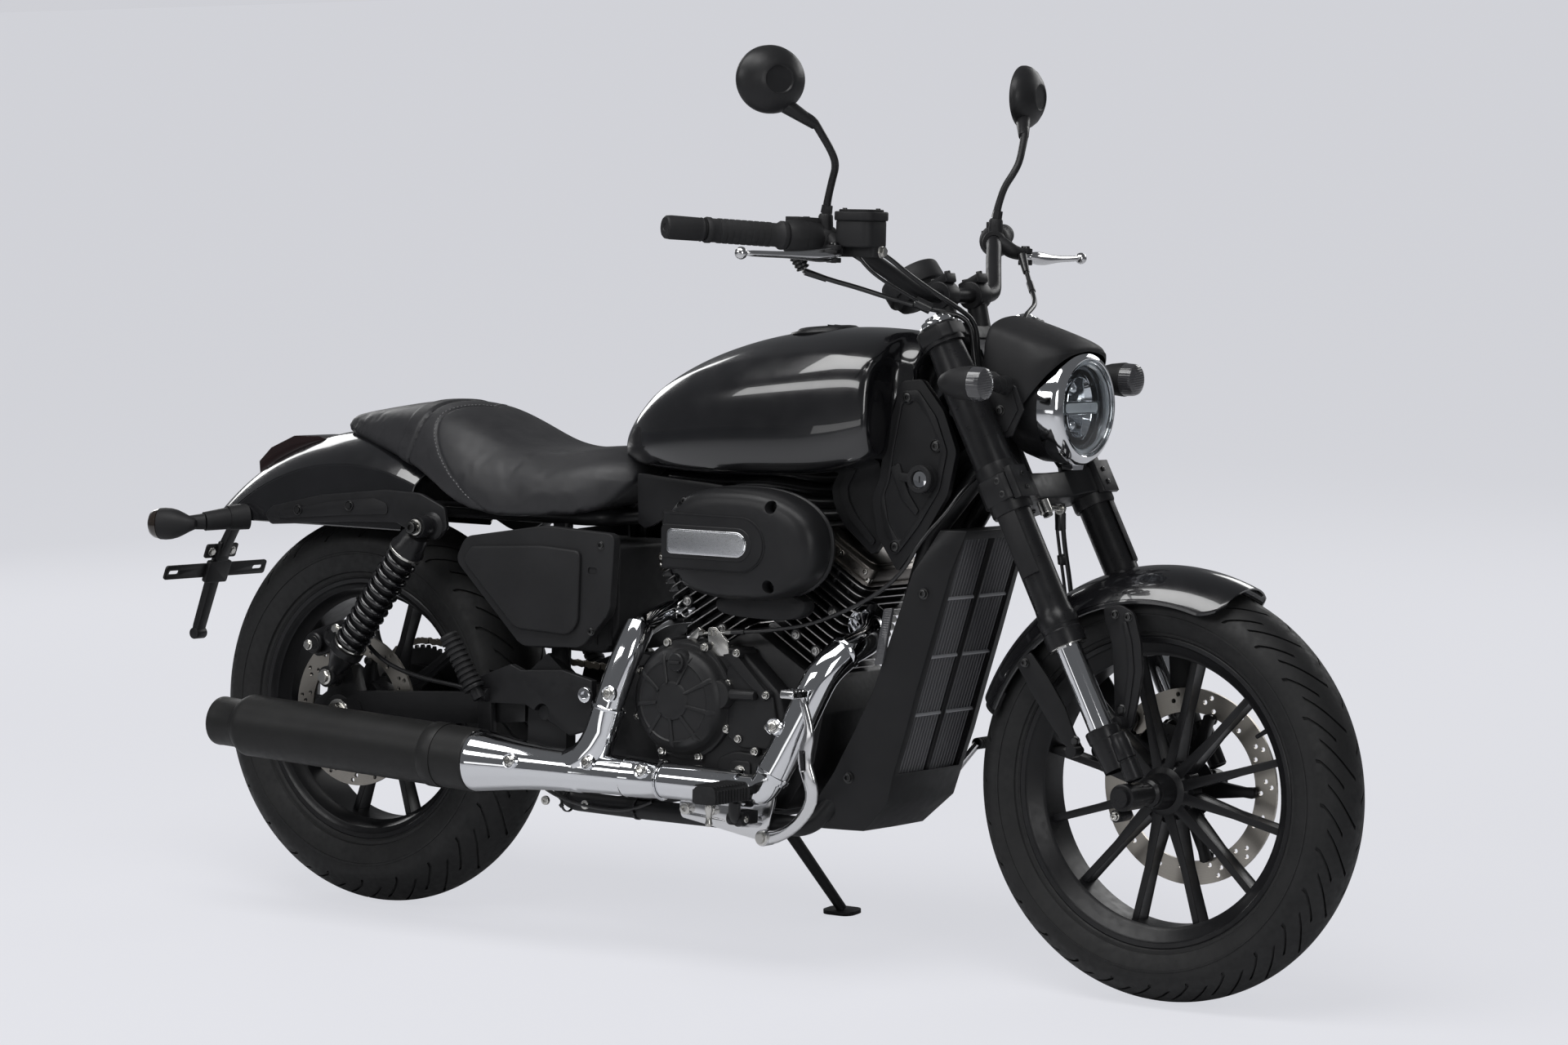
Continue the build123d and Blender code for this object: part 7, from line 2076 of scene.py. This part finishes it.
def makeTyre(w):
    points = []
    for a, r in tyreProfile(w):
        way = Vector((cos(radians(sweptAngle(w, a))), 0, sin(radians(sweptAngle(w, a)))))
        points.append(w["axle"] + way * r / 1000 + alongY * a / 1000)
    piece = drawn(w["tyre"].replace("_", "") + "Tread", points)
    pickAll()
    bpy.ops.mesh.spin(steps=treadShape["steps"], angle=tau, center=w["axle"], axis=alongY)
    pickAll()
    bpy.ops.mesh.remove_doubles(threshold=0.00003)
    faceOut()
    step = 360 / treadShape["steps"]
    pitch = w["pitch"]

    def grooved(c, n):
        off = c - w["axle"]
        y = off.y * 1000
        reach = hypot(off.x, off.z) * 1000
        share = abs(y) / w["half"]
        if reach < w["flange"] + (w["radius"] - w["flange"]) * 0.52 or n.dot(Vector((off.x, 0, off.z))) < 0:
            return False
        column = round((degrees(atan2(off.z, off.x)) - sweptAngle(w, y)) / step - 0.5) % pitch
        if column == (0 if y > 0 else pitch // 2):
            return treadShape["from"] < share < treadShape["to"]
        if column == (pitch // 2 - 1 if y > 0 else pitch - 1):
            return 0.46 < share < 0.93
        return False

    bpy.ops.mesh.select_mode(type="FACE")
    pick(piece, "faces", grooved)
    bpy.ops.mesh.extrude_region_shrink_fatten(TRANSFORM_OT_shrink_fatten={"value": -treadShape["depth"]})
    leaveEditing()
    finished(piece, w["body"], "tyre_rubber", finish["tyre"], w["tyre"], angle=28)


def makeSpoke(w, name):
    hub, rim, thick = w["hub"] - 3, w["flange"] - 22, 15
    middle = (hub + rim) / 2
    piece = primitive("cube", name, size=1)
    piece.data.transform(Matrix.Diagonal(((rim - hub) / 1000, 0.026, thick / 1000, 1)))
    piece.data.transform(Matrix.Translation((middle / 1000, 0, 0)))
    editing(piece, "VERT")
    pickAll()
    bpy.ops.mesh.subdivide(number_cuts=1)
    pick(piece, "verts", lambda p: p.x > rim / 1000 - 0.001)
    bpy.ops.transform.resize(value=(1, 1.15, 0.66), center_override=(rim / 1000, 0, 0))
    pick(piece, "verts", lambda p: p.x < hub / 1000 + 0.001)
    bpy.ops.transform.resize(value=(1, 1.5, 1.1), center_override=(hub / 1000, 0, 0))
    pick(piece, "verts", lambda p: abs(p.x - middle / 1000) < 0.001)
    bpy.ops.transform.resize(value=(1, 0.92, 0.72), center_override=(middle / 1000, 0, 0))
    bpy.ops.mesh.select_mode(type="FACE")
    pick(piece, "faces", lambda c, n: abs(n.z) > 0.8)
    bpy.ops.mesh.inset(thickness=0.0022, use_boundary=True)
    bpy.ops.mesh.extrude_region_shrink_fatten(TRANSFORM_OT_shrink_fatten={"value": -0.0012})
    leaveEditing()
    bevelled(piece, 1.4, 2, 28)
    return piece


def makeRim(w):
    f, h = w["flange"], w["rimHalf"]
    outer = [(-h - 4, f + 1), (-h - 1, f + 5), (-h + 3, f + 1), (-h + 6, f - 9), (-h * 0.5, f - 17), (0, f - 19)]
    inner = [(-h - 2.5, f - 5), (-h + 2, f - 8), (-h + 5, f - 14), (-h * 0.62, f - 21), (-h * 0.56, f - 26),
        (0, f - 27)]
    ring = outer + [(-a, r) for a, r in reversed(outer[:-1])]
    ring += [(-a, r) for a, r in inner[:-1]] + list(reversed(inner))
    barrel = lathe("rimBarrel", ring + [ring[0]], w["axle"], alongY, 120)
    spoke = makeSpoke(w, "rimSpoke")
    spoke.data.transform(Matrix.Translation(w["axle"]) @ Matrix.Rotation(-radians(w["firstSpoke"]), 4, "Y"))
    spokes = around(spoke, w["axle"], alongY, w["spokes"], "rimSpokes")
    hub, half = w["hub"], w["hubHalf"]
    core = lathe("rimHub", ((-half, 11), (-half, 17), (-half + 1, 22), (-half + 4, hub - 12), (-half + 12, hub - 10),
                            (-24, hub - 8), (-17, hub + 4), (-14, hub + 6), (14, hub + 6), (17, hub + 4),
                            (24, hub - 8), (half - 12, hub - 10), (half - 4, hub - 12), (half - 1, 22), (half, 17),
                            (half, 11), (-half, 11)), w["axle"], alongY, 72)
    webs = []
    for index in range(w["spokes"]):
        angle = w["firstSpoke"] + 360 * (index + 0.5) / w["spokes"]
        spot = w["axle"] + polar(angle) * (hub + 5) / 1000
        webs.append(cylinder("hubWeb", spot - alongY * 0.012, spot + alongY * 0.012, 6.5, 16))
    webs = joined("hubWebs", webs)
    y0, bore = w["discY"], w["discBore"]
    way = 1 if y0 > 0 else -1
    carrierIn = y0 - way * 2.6
    arm = sideSlab("discArm", ((hub - 9, -7), (hub + 10, -13), (bore - 13, -7), (bore + 1, -8), (bore + 4, -3),
                               (bore + 4, 3), (bore + 1, 8), (bore - 13, 7), (hub + 10, 13), (hub - 9, 7)),
                   carrierIn - way * 11, carrierIn, 0)
    arm.data.transform(Matrix.Translation(w["axle"]))
    bevelled(arm, 1.2, 2)
    arms = around(arm, w["axle"], alongY, 5, "discArms")
    ringPart = lathe("discRing", ((carrierIn - way * 9, hub - 12), (carrierIn - way * 9, hub + 12),
                                  (carrierIn - way * 1, hub + 9), (carrierIn - way * 1, hub - 12),
                                  (carrierIn - way * 9, hub - 12)), w["axle"], alongY, 60)
    pieces = [barrel, spokes, core, webs, arms, ringPart]
    valve = cylinder("tyreValve", w["axle"] + polar(w["firstSpoke"] + 15) * (f - 27) / 1000,
                     w["axle"] + polar(w["firstSpoke"] + 15) * (f - 56) / 1000, 4, 16, 3)
    pieces.append(valve)
    if way < 0:
        pieces += makeSprocket(w)
    finished(joined(w["rim"].replace("_", "") + "Casting", pieces), w["body"], "wheel_black", finish["wheel"],
        w["rim"])
    face = y0 + way * 2.3
    bolts = []
    for index in range(5):
        spot = w["axle"] + polar(index * 72) * (bore - 5) / 1000 + alongY * face / 1000
        bolts.append(boltHead("discBolt", spot + alongY * way * -0.0006, alongY * way, 7, 4))
        spot = w["axle"] + polar(index * 72 + 36) * (hub + 3) / 1000
        bolts.append(hexBolt("carrierBolt", spot + alongY * (carrierIn - way * 1) / 1000, alongY * way, 5, 4))
    finished(joined(w["disc"].replace("_", "") + "Bolts", bolts), w["body"], "disc_steel", finish["darkBolt"])


def makeSprocket(w):
    plate = lathe("sprocketPlate", ((91.5, 46), (91.5, 87), (84.5, 87), (84.5, 46), (91.5, 46)), w["axle"],
                  alongY, 120)
    tooth = sideSlab("sprocketTooth", ((85, -4.2), (92, -1.4), (92, 1.4), (85, 4.2)), 85, 91)
    tooth.data.transform(Matrix.Translation(w["axle"]))
    teeth = around(tooth, w["axle"], alongY, 46, "sprocketTeeth")
    drum = lathe("sprocketDrum", ((w["hubHalf"] - 2, 40), (w["hubHalf"] - 2, 62), (80, 60), (84.5, 54), (84.5, 30),
                                  (w["hubHalf"] - 2, 40)), w["axle"], alongY, 60)
    return [plate, teeth, drum]


for w in wheels.values():
    makeTyre(w)
    makeRim(w)
print("stage: wheels")


# fork
forkShape = {"spread": 110, "tube": 25, "stanchion": 18.5, "upper": ((228, 20), (228, 28), (231, 28.6), (250, 28.6),
    (252, 27.2), (256, 27.2), (258, 28.6), (272, 28.6), (276, 26), (286, 25.4), (290, 25), (446, 25), (446, 20)),
    "shaft": ((440, 25), (490, 25), (490.5, 28.2), (494, 28.8), (640, 28.8), (652, 27.6), (698, 25), (724, 25),
    (726, 22)), "foot": ((40, 20), (78, 22.6), (84, 23), (86, 24.6), (96, 25.4), (101, 25.2), (102.5, 24), (102, 19)),
    "damper": ((16, 11), (18, 13), (44, 13.4), (45, 12.2), (47.5, 12.2), (48.5, 13.8), (74, 14), (76, 13), (84, 12.6),
    (86, 11), (86, 0)), "cap": ((724, 23), (730, 23.4), (733, 22), (734, 15), (738, 14), (738.5, 9), (737, 8.6),
    (737, 0))}


def forkSide(name, profile, side):
    return lathe(name, profile, onFork(0, side * forkShape["spread"]), forkUp, 56)


def makeFork():
    uppers, feet, chromes, caps = [], [], [], []
    for side in (-1, 1):
        uppers += [forkSide("forkUpper", forkShape["upper"], side), forkSide("forkShaft", forkShape["shaft"], side)]
        chromes.append(forkSide("stanchion", ((95, 17), (95, 18.5), (232, 18.5), (232, 17)), side))
        caps.append(forkSide("forkCap", forkShape["cap"], side))
        caps.append(forkSide("forkTopRing", ((722, 25.5), (722, 28), (725, 28.4), (727, 27), (727, 23)), side))
        foot = forkSide("forkFoot", forkShape["foot"], side)
        feet.append(lathe("footDamper", forkShape["damper"], onFork(0, side * (forkShape["spread"] + 5), 22), forkUp,
            40))
        low = [(-26, -20), (-20, -27), (6, -28), (24, -22), (29, -6), (27, 14), (20, 40), (16, 86), (-20, 86),
            (-24, 40), (-28, 4)]
        y0, y1 = side * 92, side * 128
        lug = slab("forkLug", [onFork(u, y0, a - 2) for a, u in low], alongY * (y1 - y0) / 1000, 5)
        bevelled(lug, 3, 3, 30)
        cutBy(lug, cylinder("axleHole", onFork(0, side * 80), onFork(0, side * 140), 13.5, 40))
        ring = lathe("axleSeat", ((side * 92, 13.5), (side * 92, 19), (side * 131, 19), (side * 132, 17),
            (side * 132, 13.5), (side * 92, 13.5)), frontAxle, alongY, 48)
        pinch = cylinder("pinchBoss", onFork(-18, side * 92, -24), onFork(-18, side * 126, -24), 9, 24)
        bevelled(pinch, 1.5)
        feet += [foot, lug, ring, pinch]
        spacer = lathe("axleSpacer", ((side * 56.5, 10), (side * 56.5, 20), (side * 62, 20), (side * 66, 16),
                                      (side * 92, 16), (side * 92, 10)) if side < 0 else
                       ((side * 64, 10), (side * 64, 16), (side * 92, 16), (side * 92, 10)),
                       frontAxle, alongY, 40)
        feet.append(spacer)
    feet.append(makeCaliperLug())
    finished(joined("forkUppers", uppers), "steering", "satin_black", finish["fork"], "fork_tubes")
    finished(joined("forkFeet", feet), "steering", "satin_black", finish["fork"], "fork_feet")
    finished(joined("forkStanchions", chromes), "steering", "bright_chrome", finish["chrome"], "fork_stanchions")
    finished(joined("forkCaps", caps), "steering", "bright_chrome", finish["chrome"])
    shine = []
    for side in (-1, 1):
        shine.append(lathe("axleNut", ((side * 121, 5), (side * 121, 13.4), (side * 127, 13.4), (side * 128, 11.5),
            (side * 128, 7.5), (side * 121, 5)), frontAxle, alongY, 40))
        shine.append(boltHead("pinchBolt", onFork(-18, side * 125, -24), alongY * side, 5.5, 6, washer=1))
        shine.append(forkSide("snapRing", ((226.6, 19), (226.6, 27), (228, 27), (228, 19)), side))
    shine.append(lathe("axleShaft", ((-121, 5), (-121, 9), (121, 9), (121, 5), (-121, 5)),
                       frontAxle, alongY, 32))
    finished(joined("axleFittings", shine), "steering", "alloy_silver", finish["zinc"])
    pads = []
    for side in (-1, 1):
        pad = lathe("forkReflector", ((338, 25.2), (338, 27.6), (340, 28.4), (430, 28.4), (432, 27.6), (432, 25.2)),
                    onFork(0, side * forkShape["spread"]), forkUp, 14, 64.0,
                    (alongY * side * 0.82 + forkAhead * 0.57).normalized())
        pads.append(pad)
    reflectors = joined("forkReflectors", pads)
    editing(reflectors, "VERT")
    bpy.ops.mesh.select_non_manifold()
    bpy.ops.mesh.fill_holes(sides=0)
    leaveEditing()
    finished(reflectors, "steering", "plastic_black", finish["plastic"])


# the ears of the left leg that carry the caliper
def makeCaliperLug():
    return slab("caliperEars", [onFork(u, 94, a) for a, u in ((-10, 60), (-34, 70), (-60, 60), (-66, 74), (-40, 100),
                                                               (-14, 108))], alongY * 0.014, 3)


def clampPlate(name, low, high):
    outline = [(20, 60), (24, 84), (30, 92), (30, 128), (18, 141), (-18, 141), (-30, 128), (-30, 96), (-44, 62),
               (-74, 30), (-78, 0)]
    full = outline + [(a, -y) for a, y in reversed(outline[:-1])] + [(12, -46), (10, 0), (12, 46)]
    piece = slab(name, [onFork(low, y, a) for a, y in full], forkUp * (high - low) / 1000, 0)
    bevelled(piece, 3, 3, 25)
    return piece


def makeClamps():
    lower = clampPlate("lowerClamp", 448, 488)
    upper = clampPlate("upperClamp", 699, 721)
    blocks = []
    for side in (-1, 1):
        block = slab("clampBlock", [onFork(444, side * y, a) for a, y in ((27, 88), (36, 92), (36, 132), (27, 138))],
                     forkUp * 0.048, 2)
        bevelled(block, 1.5)
        blocks.append(block)
        blocks.append(forkSide("clampCollar", ((432, 25.2), (432, 29), (436, 30.5), (500, 30.5), (506, 29),
            (506, 25.2)), side))
        blocks.append(forkSide("topCollar", ((694, 25.2), (694, 30), (722, 30), (724, 28.6), (724, 25.2)), side))
    stem = lathe("stemNut", ((721, 12), (721, 20), (724, 21), (728, 20), (728, 12)), onFork(0, 0, -45), forkUp, 40)
    nut = lathe("stemCap", ((728, 17), (736, 17), (738, 15), (738, 6), (735, 5), (735, 0)), onFork(0, 0, -45), forkUp,
        6)
    tube = lathe("stemTube", ((446, 12), (446, 13), (724, 13), (724, 12), (446, 12)), onFork(0, 0, -45), forkUp, 32)
    finished(joined("forkClamps", [lower, upper, stem, nut, tube] + blocks), "steering", "satin_black",
        finish["satin"], "fork_clamps")
    bolts = []
    for side in (-1, 1):
        for along in (458, 478):
            bolts.append(boltHead("clampBolt", onFork(along, side * 136.5, 12), alongY * side, 5, 5, washer=0.8))
            bolts.append(boltHead("clampBolt", onFork(along, side * 110, 35.6), forkAhead, 3.6, 2.6))
    finished(joined("clampBolts", bolts), "steering", "satin_black", finish["darkBolt"])


makeFork()
makeClamps()
print("stage: fork")


# headlamp, cowl, front signals
lamp = {"face": 565, "height": 831, "outer": 82}
lampMiddle = at(lamp["face"], 0, lamp["height"])


def makeHeadlamp():
    shell = lathe("lampShell", ((-34, 70), (-33, 77), (-35, 79.6), (-60, 79), (-86, 71), (-108, 54), (-122, 34),
        (-130, 16), (-131, 0)), lampMiddle, alongX, 96)
    ears = []
    for side in (-1, 1):
        ears.append(cylinder("lampEar", at(lamp["face"] - 70, side * 66, lamp["height"] - 6),
                             at(lamp["face"] - 70, side * 90, lamp["height"] - 6), 13, 28))
    finished(joined("lampShell", [shell] + ears), "steering", "satin_black", finish["satin"], "headlight_shell")
    bezel = lathe("lampBezel", ((-34, 75), (-34, 79.6), (-33, 81.4), (-10, 82.8), (-6, 82), (-2, 79), (1, 75.5),
        (3.4, 72), (4, 70), (3.4, 68.6), (1, 68.2), (-4, 68), (-34, 75)), lampMiddle, alongX, 128)
    tab = slab("bezelTab", [at(lamp["face"] - 30, y, z + lamp["height"])
        for y, z in ((-16, -81), (16, -81), (13, -89), (-13, -89))], alongX * 0.018, 1)
    finished(joined("lampBezel", [bezel, tab]), "steering", "bright_chrome", finish["chrome"], "headlight_bezel")
    glass = lathe("lampGlass", ((0.6, 68), (3, 66), (6, 52), (8.6, 34), (9.8, 16), (10.2, 0), (8.0, 0), (7.6, 16),
                                (6.2, 34), (3.6, 52), (0.8, 65), (-2, 68), (0.6, 68)), lampMiddle, alongX, 96)
    finished(glass, "steering", "lens_clear", finish["lens"], "headlight_glass")
    bowl = lathe("lampBowl", ((-3, 67.6), (-5, 66), (-14, 63), (-16, 56), (-30, 54), (-40, 44), (-44, 20), (-44, 0)),
                 lampMiddle, alongX, 96)
    guide = lathe("lampGuide", ((-4, 67), (-2.4, 66), (-2.4, 62), (-5, 60.5), (-9, 61), (-9, 66), (-4, 67)),
        lampMiddle, alongX, 128)
    bar = slab("lampBars", [lampMiddle + at(-24, y, z) for y, z in ((-57, -10), (57, -10), (57, 9), (-57, 9))],
               alongX * 0.013, 4)
    bevelled(bar, 1.2)
    strip = slab("lampStrip", [lampMiddle + at(-12, y, z) for y, z in ((-44, -7.5), (44, -7.5), (44, 6.5),
        (-44, 6.5))], alongX * 0.0035, 5)
    bevelled(strip, 1.2)
    slot = slab("lampSlot", [lampMiddle + at(-9.4, y, z) for y, z in ((-24, -2.6), (24, -2.6), (24, 1.8),
        (-24, 1.8))], alongX * 0.003, 1)
    cutBy(strip, slot)
    cups = []
    for side in (-1, 1):
        cup = lathe("lampCup", ((-38, 9), (-36, 16), (-26, 27), (-14, 33), (-13, 34), (-14, 35), (-27, 29), (-38, 18),
            (-40, 9)), lampMiddle + alongZ * side * 0.009, alongX, 40, 180.0, -alongY * side)
        cups.append(cup)
        eye = lathe("lampEye", ((-36, 11), (-30, 11), (-25, 9), (-21, 5), (-20, 0)), lampMiddle +
            alongZ * side * 0.026, alongX, 32)
        cups.append(eye)
        for reach in (38, 46):
            cups.append(lathe("lampStep", ((-30, reach), (-20, reach + 3), (-18, reach + 4), (-20, reach + 5),
                (-31, reach + 2)), lampMiddle, alongX, 30, 110.0, Vector((0, -cos(radians(35)) * side,
                sin(radians(35)) * side))))
    finished(bowl, "steering", "reflector_bright", finish["bowl"], "headlight_reflector")
    finished(joined("lampCups", cups), "steering", "reflector_bright", finish["chrome"])
    finished(bar, "steering", "reflector_bright", finish["bowl"])
    finished(joined("lampGuides", [strip, guide]), "steering", "lens_clear", finish["guide"])


finish["bowl"] = chromePlate("lampBowlGrey", (0.16, 0.17, 0.18), 0.16, 0.3)
finish["guide"] = smokedLens("lampGuideWhite", (0.62, 0.66, 0.7), 0.18)

cowlShape = {
    # x, half width at the skirt, skirt z, half width at the brow, brow z, top z
    "rows": ((566, 40, 908, 34, 913, 917), (560, 62, 898, 52, 911, 922), (548, 76, 882, 62, 912, 930),
             (530, 84, 860, 68, 914, 937), (508, 86, 830, 70, 920, 944), (486, 86, 806, 70, 926, 951),
             (464, 85, 812, 68, 932, 957), (446, 82, 850, 64, 938, 960), (432, 76, 896, 58, 942, 961)),
    "wall": 3.0,
}


def cowlArch(row, inset):
    x, half, skirt, browHalf, brow, top = row
    half, browHalf, brow, top = half - inset, browHalf - inset, brow - inset, top - inset
    right = [(half - 1, skirt), (half, skirt + (brow - skirt) * 0.35), (half - 1, skirt + (brow - skirt) * 0.72),
             (browHalf + (half - browHalf) * 0.45, brow - 3), (browHalf, brow + (top - brow) * 0.35),
             (browHalf * 0.55, top - (top - brow) * 0.22)]
    return [(x, y, z) for y, z in right] + [(x, 0, top)] + [(x, -y, z) for y, z in reversed(right)]


def makeCowl():
    rings = []
    for row in cowlShape["rows"]:
        outer = cowlArch(row, 0)
        inner = cowlArch(row, cowlShape["wall"])
        rings.append(outer + inner[::-1])
    piece = skinned("lampCowl", rings)
    subdivided(piece, 2)
    finished(piece, "steering", "gloss_black", finish["plastic"], "cowl", angle=50)
    plates, bolts = [], []
    for side in (-1, 1):
        outline = ((418, 872), (434, 884), (470, 880), (506, 860), (519, 828), (500, 790), (470, 782), (452, 788),
            (440, 830))
        plate = sideSlab("lampBracket", outline, side * 90, side * 95, 0)
        bevelled(plate, 1.6, 3)
        rim = sideSlab("lampBracketRim", ((430, 876), (468, 873), (500, 855), (511, 828), (494, 797), (472, 790),
                                          (458, 794), (449, 832)), side * 94.6, side * 97.4, 0)
        bevelled(rim, 1.2, 2)
        plates += [plate, rim]
        for x, z in ((482, 826), (474, 803)):
            bolts.append(boltHead("bracketBolt", at(x, side * 97.2, z), alongY * side, 6, 4.5, washer=1.5))
    finished(joined("lampBrackets", plates), "steering", "satin_black", finish["satin"], "headlight_brackets")
    bodies, lenses = [], []
    for side in (-1, 1):
        middle = at(527, side * 204, 866)
        bodies.append(lathe("signalBody", ((-79, 0), (-78, 6), (-72, 12.5), (-60, 18.6), (-44, 22.8), (-26, 24.8),
            (-22, 25), (-20, 24.6), (-20, 20)), middle, alongX, 56))
        lenses.append(lathe("signalLens", ((-21, 22), (-20, 24.2), (-6, 23.4), (-2, 21.5), (0, 18), (0.6, 10),
            (0.6, 0)), middle, alongX, 56))
        start, end = at(488, side * 97, 862), at(490, side * 182, 866)
        bodies.append(cylinder("signalStalk", start + (end - start) * 0.22, end, 9.5, 28, 8.5))
        bodies.append(cylinder("signalNut", start, start + (end - start) * 0.16, 14, 28, 12.5))
        bodies.append(cylinder("signalGaiter", start + (end - start) * 0.14, start + (end - start) * 0.3, 11.5, 28,
            10.5))
        bolts.append(boltHead("stalkBolt", at(488, side * 96.6, 862), alongY * side, 4, 3))
    finished(joined("frontSignalBodies", bodies), "steering", "plastic_black", finish["plastic"], "front_signals")
    finished(joined("frontSignalLenses", lenses), "steering", "lens_clear", finish["signalClear"])
    finished(joined("bracketBolts", bolts), "steering", "satin_black", finish["darkBolt"])


makeHeadlamp()
makeCowl()
print("stage: headlamp")


# finishes of the CAD nodes that stay
kept = {
    "gloss": ("fuel_tank", "rear_fender", "front_fender"),
    "plastic": ("cowl", "side_covers", "headstock_panels", "air_cleaner", "intake_body", "battery_case", "mirrors",
                "instrument", "bar_controls", "front_signals", "rear_signals"),
    "shroud": ("radiator_shroud",),
    "satin": ("fork_clamps", "fender_struts", "handlebar", "frame_spine", "frame_downtubes", "frame_lower_rails",
              "frame_uprights", "swingarm", "headlight_shell", "headlight_brackets", "passenger_brackets",
              "side_stand", "rear_shocks", "plate_bracket", "front_caliper", "rear_caliper"),
    "fork": ("fork_tubes", "fork_feet"),
    "wheel": ("front_rim", "rear_rim"),
    "muffler": ("muffler",),
    "cast": ("crankcase", "engine_covers", "front_cylinder", "rear_cylinder"),
    "chrome": ("headlight_bezel", "exhaust_headers", "fork_stanchions", "headlight_reflector"),
    "forged": ("levers", "foot_controls"),
    "chain": ("chain",),
    "rubber": ("foot_pegs",),
    "tyre": ("front_tyre", "rear_tyre"),
    "seat": ("seat",),
    "lens": ("headlight_glass",),
    "tailLens": ("tail_lamp",),
    "core": ("radiator",),
    "discFront": ("front_disc",),
    "discRear": ("rear_disc",),
}
for key, names in kept.items():
    for name in names:
        if not frame["nodes"][name].hide_render:
            paint(frame["nodes"][name], finish[key])


# studio
studio = {"floor": (0.72, 0.725, 0.75), "sky": (0.665, 0.672, 0.712), "skyLight": 0.13, "glow": 0.93,
    "shade": (0.19, 0.19, 0.197)}


def makeStudio():
    floor = primitive("plane", "studioFloor", size=400, location=(0, 0, 0))
    paper = finishOf("studioPaper", studio["floor"], 0.9, Specular_IOR_Level=0.0)
    even = node(paper, "ShaderNodeEmission")
    even.inputs["Color"].default_value = (*studio["sky"], 1)
    even.inputs["Strength"].default_value = studio["glow"]
    soft = node(paper, "ShaderNodeBsdfDiffuse")
    soft.inputs["Color"].default_value = (*studio["shade"], 1)
    both = node(paper, "ShaderNodeAddShader")
    ray = node(paper, "ShaderNodeLightPath")
    seen = node(paper, "ShaderNodeMixShader")
    link(paper, even.outputs[0], both.inputs[0])
    link(paper, soft.outputs[0], both.inputs[1])
    link(paper, ray.outputs["Is Camera Ray"], seen.inputs[0])
    link(paper, shaderOf(paper).outputs[0], seen.inputs[1])
    link(paper, both.outputs[0], seen.inputs[2])
    link(paper, seen.outputs[0], paper.node_tree.nodes["Material Output"].inputs["Surface"])
    paint(floor, paper)
    world = bpy.data.worlds.new("studioAir")
    bpy.context.scene.world = world
    world.use_nodes = True
    tree = world.node_tree
    back = tree.nodes["Background"]
    back.inputs["Color"].default_value = (0.80, 0.82, 0.86, 1)
    back.inputs["Strength"].default_value = studio["skyLight"]
    seen = tree.nodes.new("ShaderNodeBackground")
    seen.inputs["Color"].default_value = (*studio["sky"], 1)
    seen.inputs["Strength"].default_value = studio["glow"] + 0.005
    ray = tree.nodes.new("ShaderNodeLightPath")
    both = tree.nodes.new("ShaderNodeMixShader")
    tree.links.new(ray.outputs["Is Camera Ray"], both.inputs[0])
    tree.links.new(back.outputs[0], both.inputs[1])
    tree.links.new(seen.outputs[0], both.inputs[2])
    tree.links.new(both.outputs[0], tree.nodes["World Output"].inputs["Surface"])
    for name, place, target, size, power in (
            ("overheadBox", (0.0, -1.2, 3.6), (0, 0, 0.7), (3.8, 1.4), 84),
            ("frontBox", (4.2, -2.6, 1.9), (0.5, 0, 0.6), (1.2, 2.2), 34),
            ("sideBox", (-1.8, -4.4, 3.2), (-0.2, 0, 0.5), (3.6, 1.0), 48),
            ("lowBox", (0.2, -5.2, 0.5), (0, 0, 0.3), (5.0, 0.5), 9),
            ("rearBox", (-3.8, 2.2, 2.0), (0, 0, 0.6), (1.2, 2.0), 24),
            ("farBox", (0.6, 4.2, 2.2), (0, 0, 0.6), (3.4, 1.2), 34)):
        bpy.ops.object.light_add(type="AREA", location=place)
        lamp = bpy.context.object
        lamp.name = name
        lamp.data.shape = "RECTANGLE"
        lamp.data.size, lamp.data.size_y = size
        lamp.data.energy = power
        lamp.rotation_euler = (Vector(target) - Vector(place)).to_track_quat("-Z", "Y").to_euler()
    bpy.context.scene.view_settings.view_transform = "Standard"


makeStudio()
print("stage: studio")
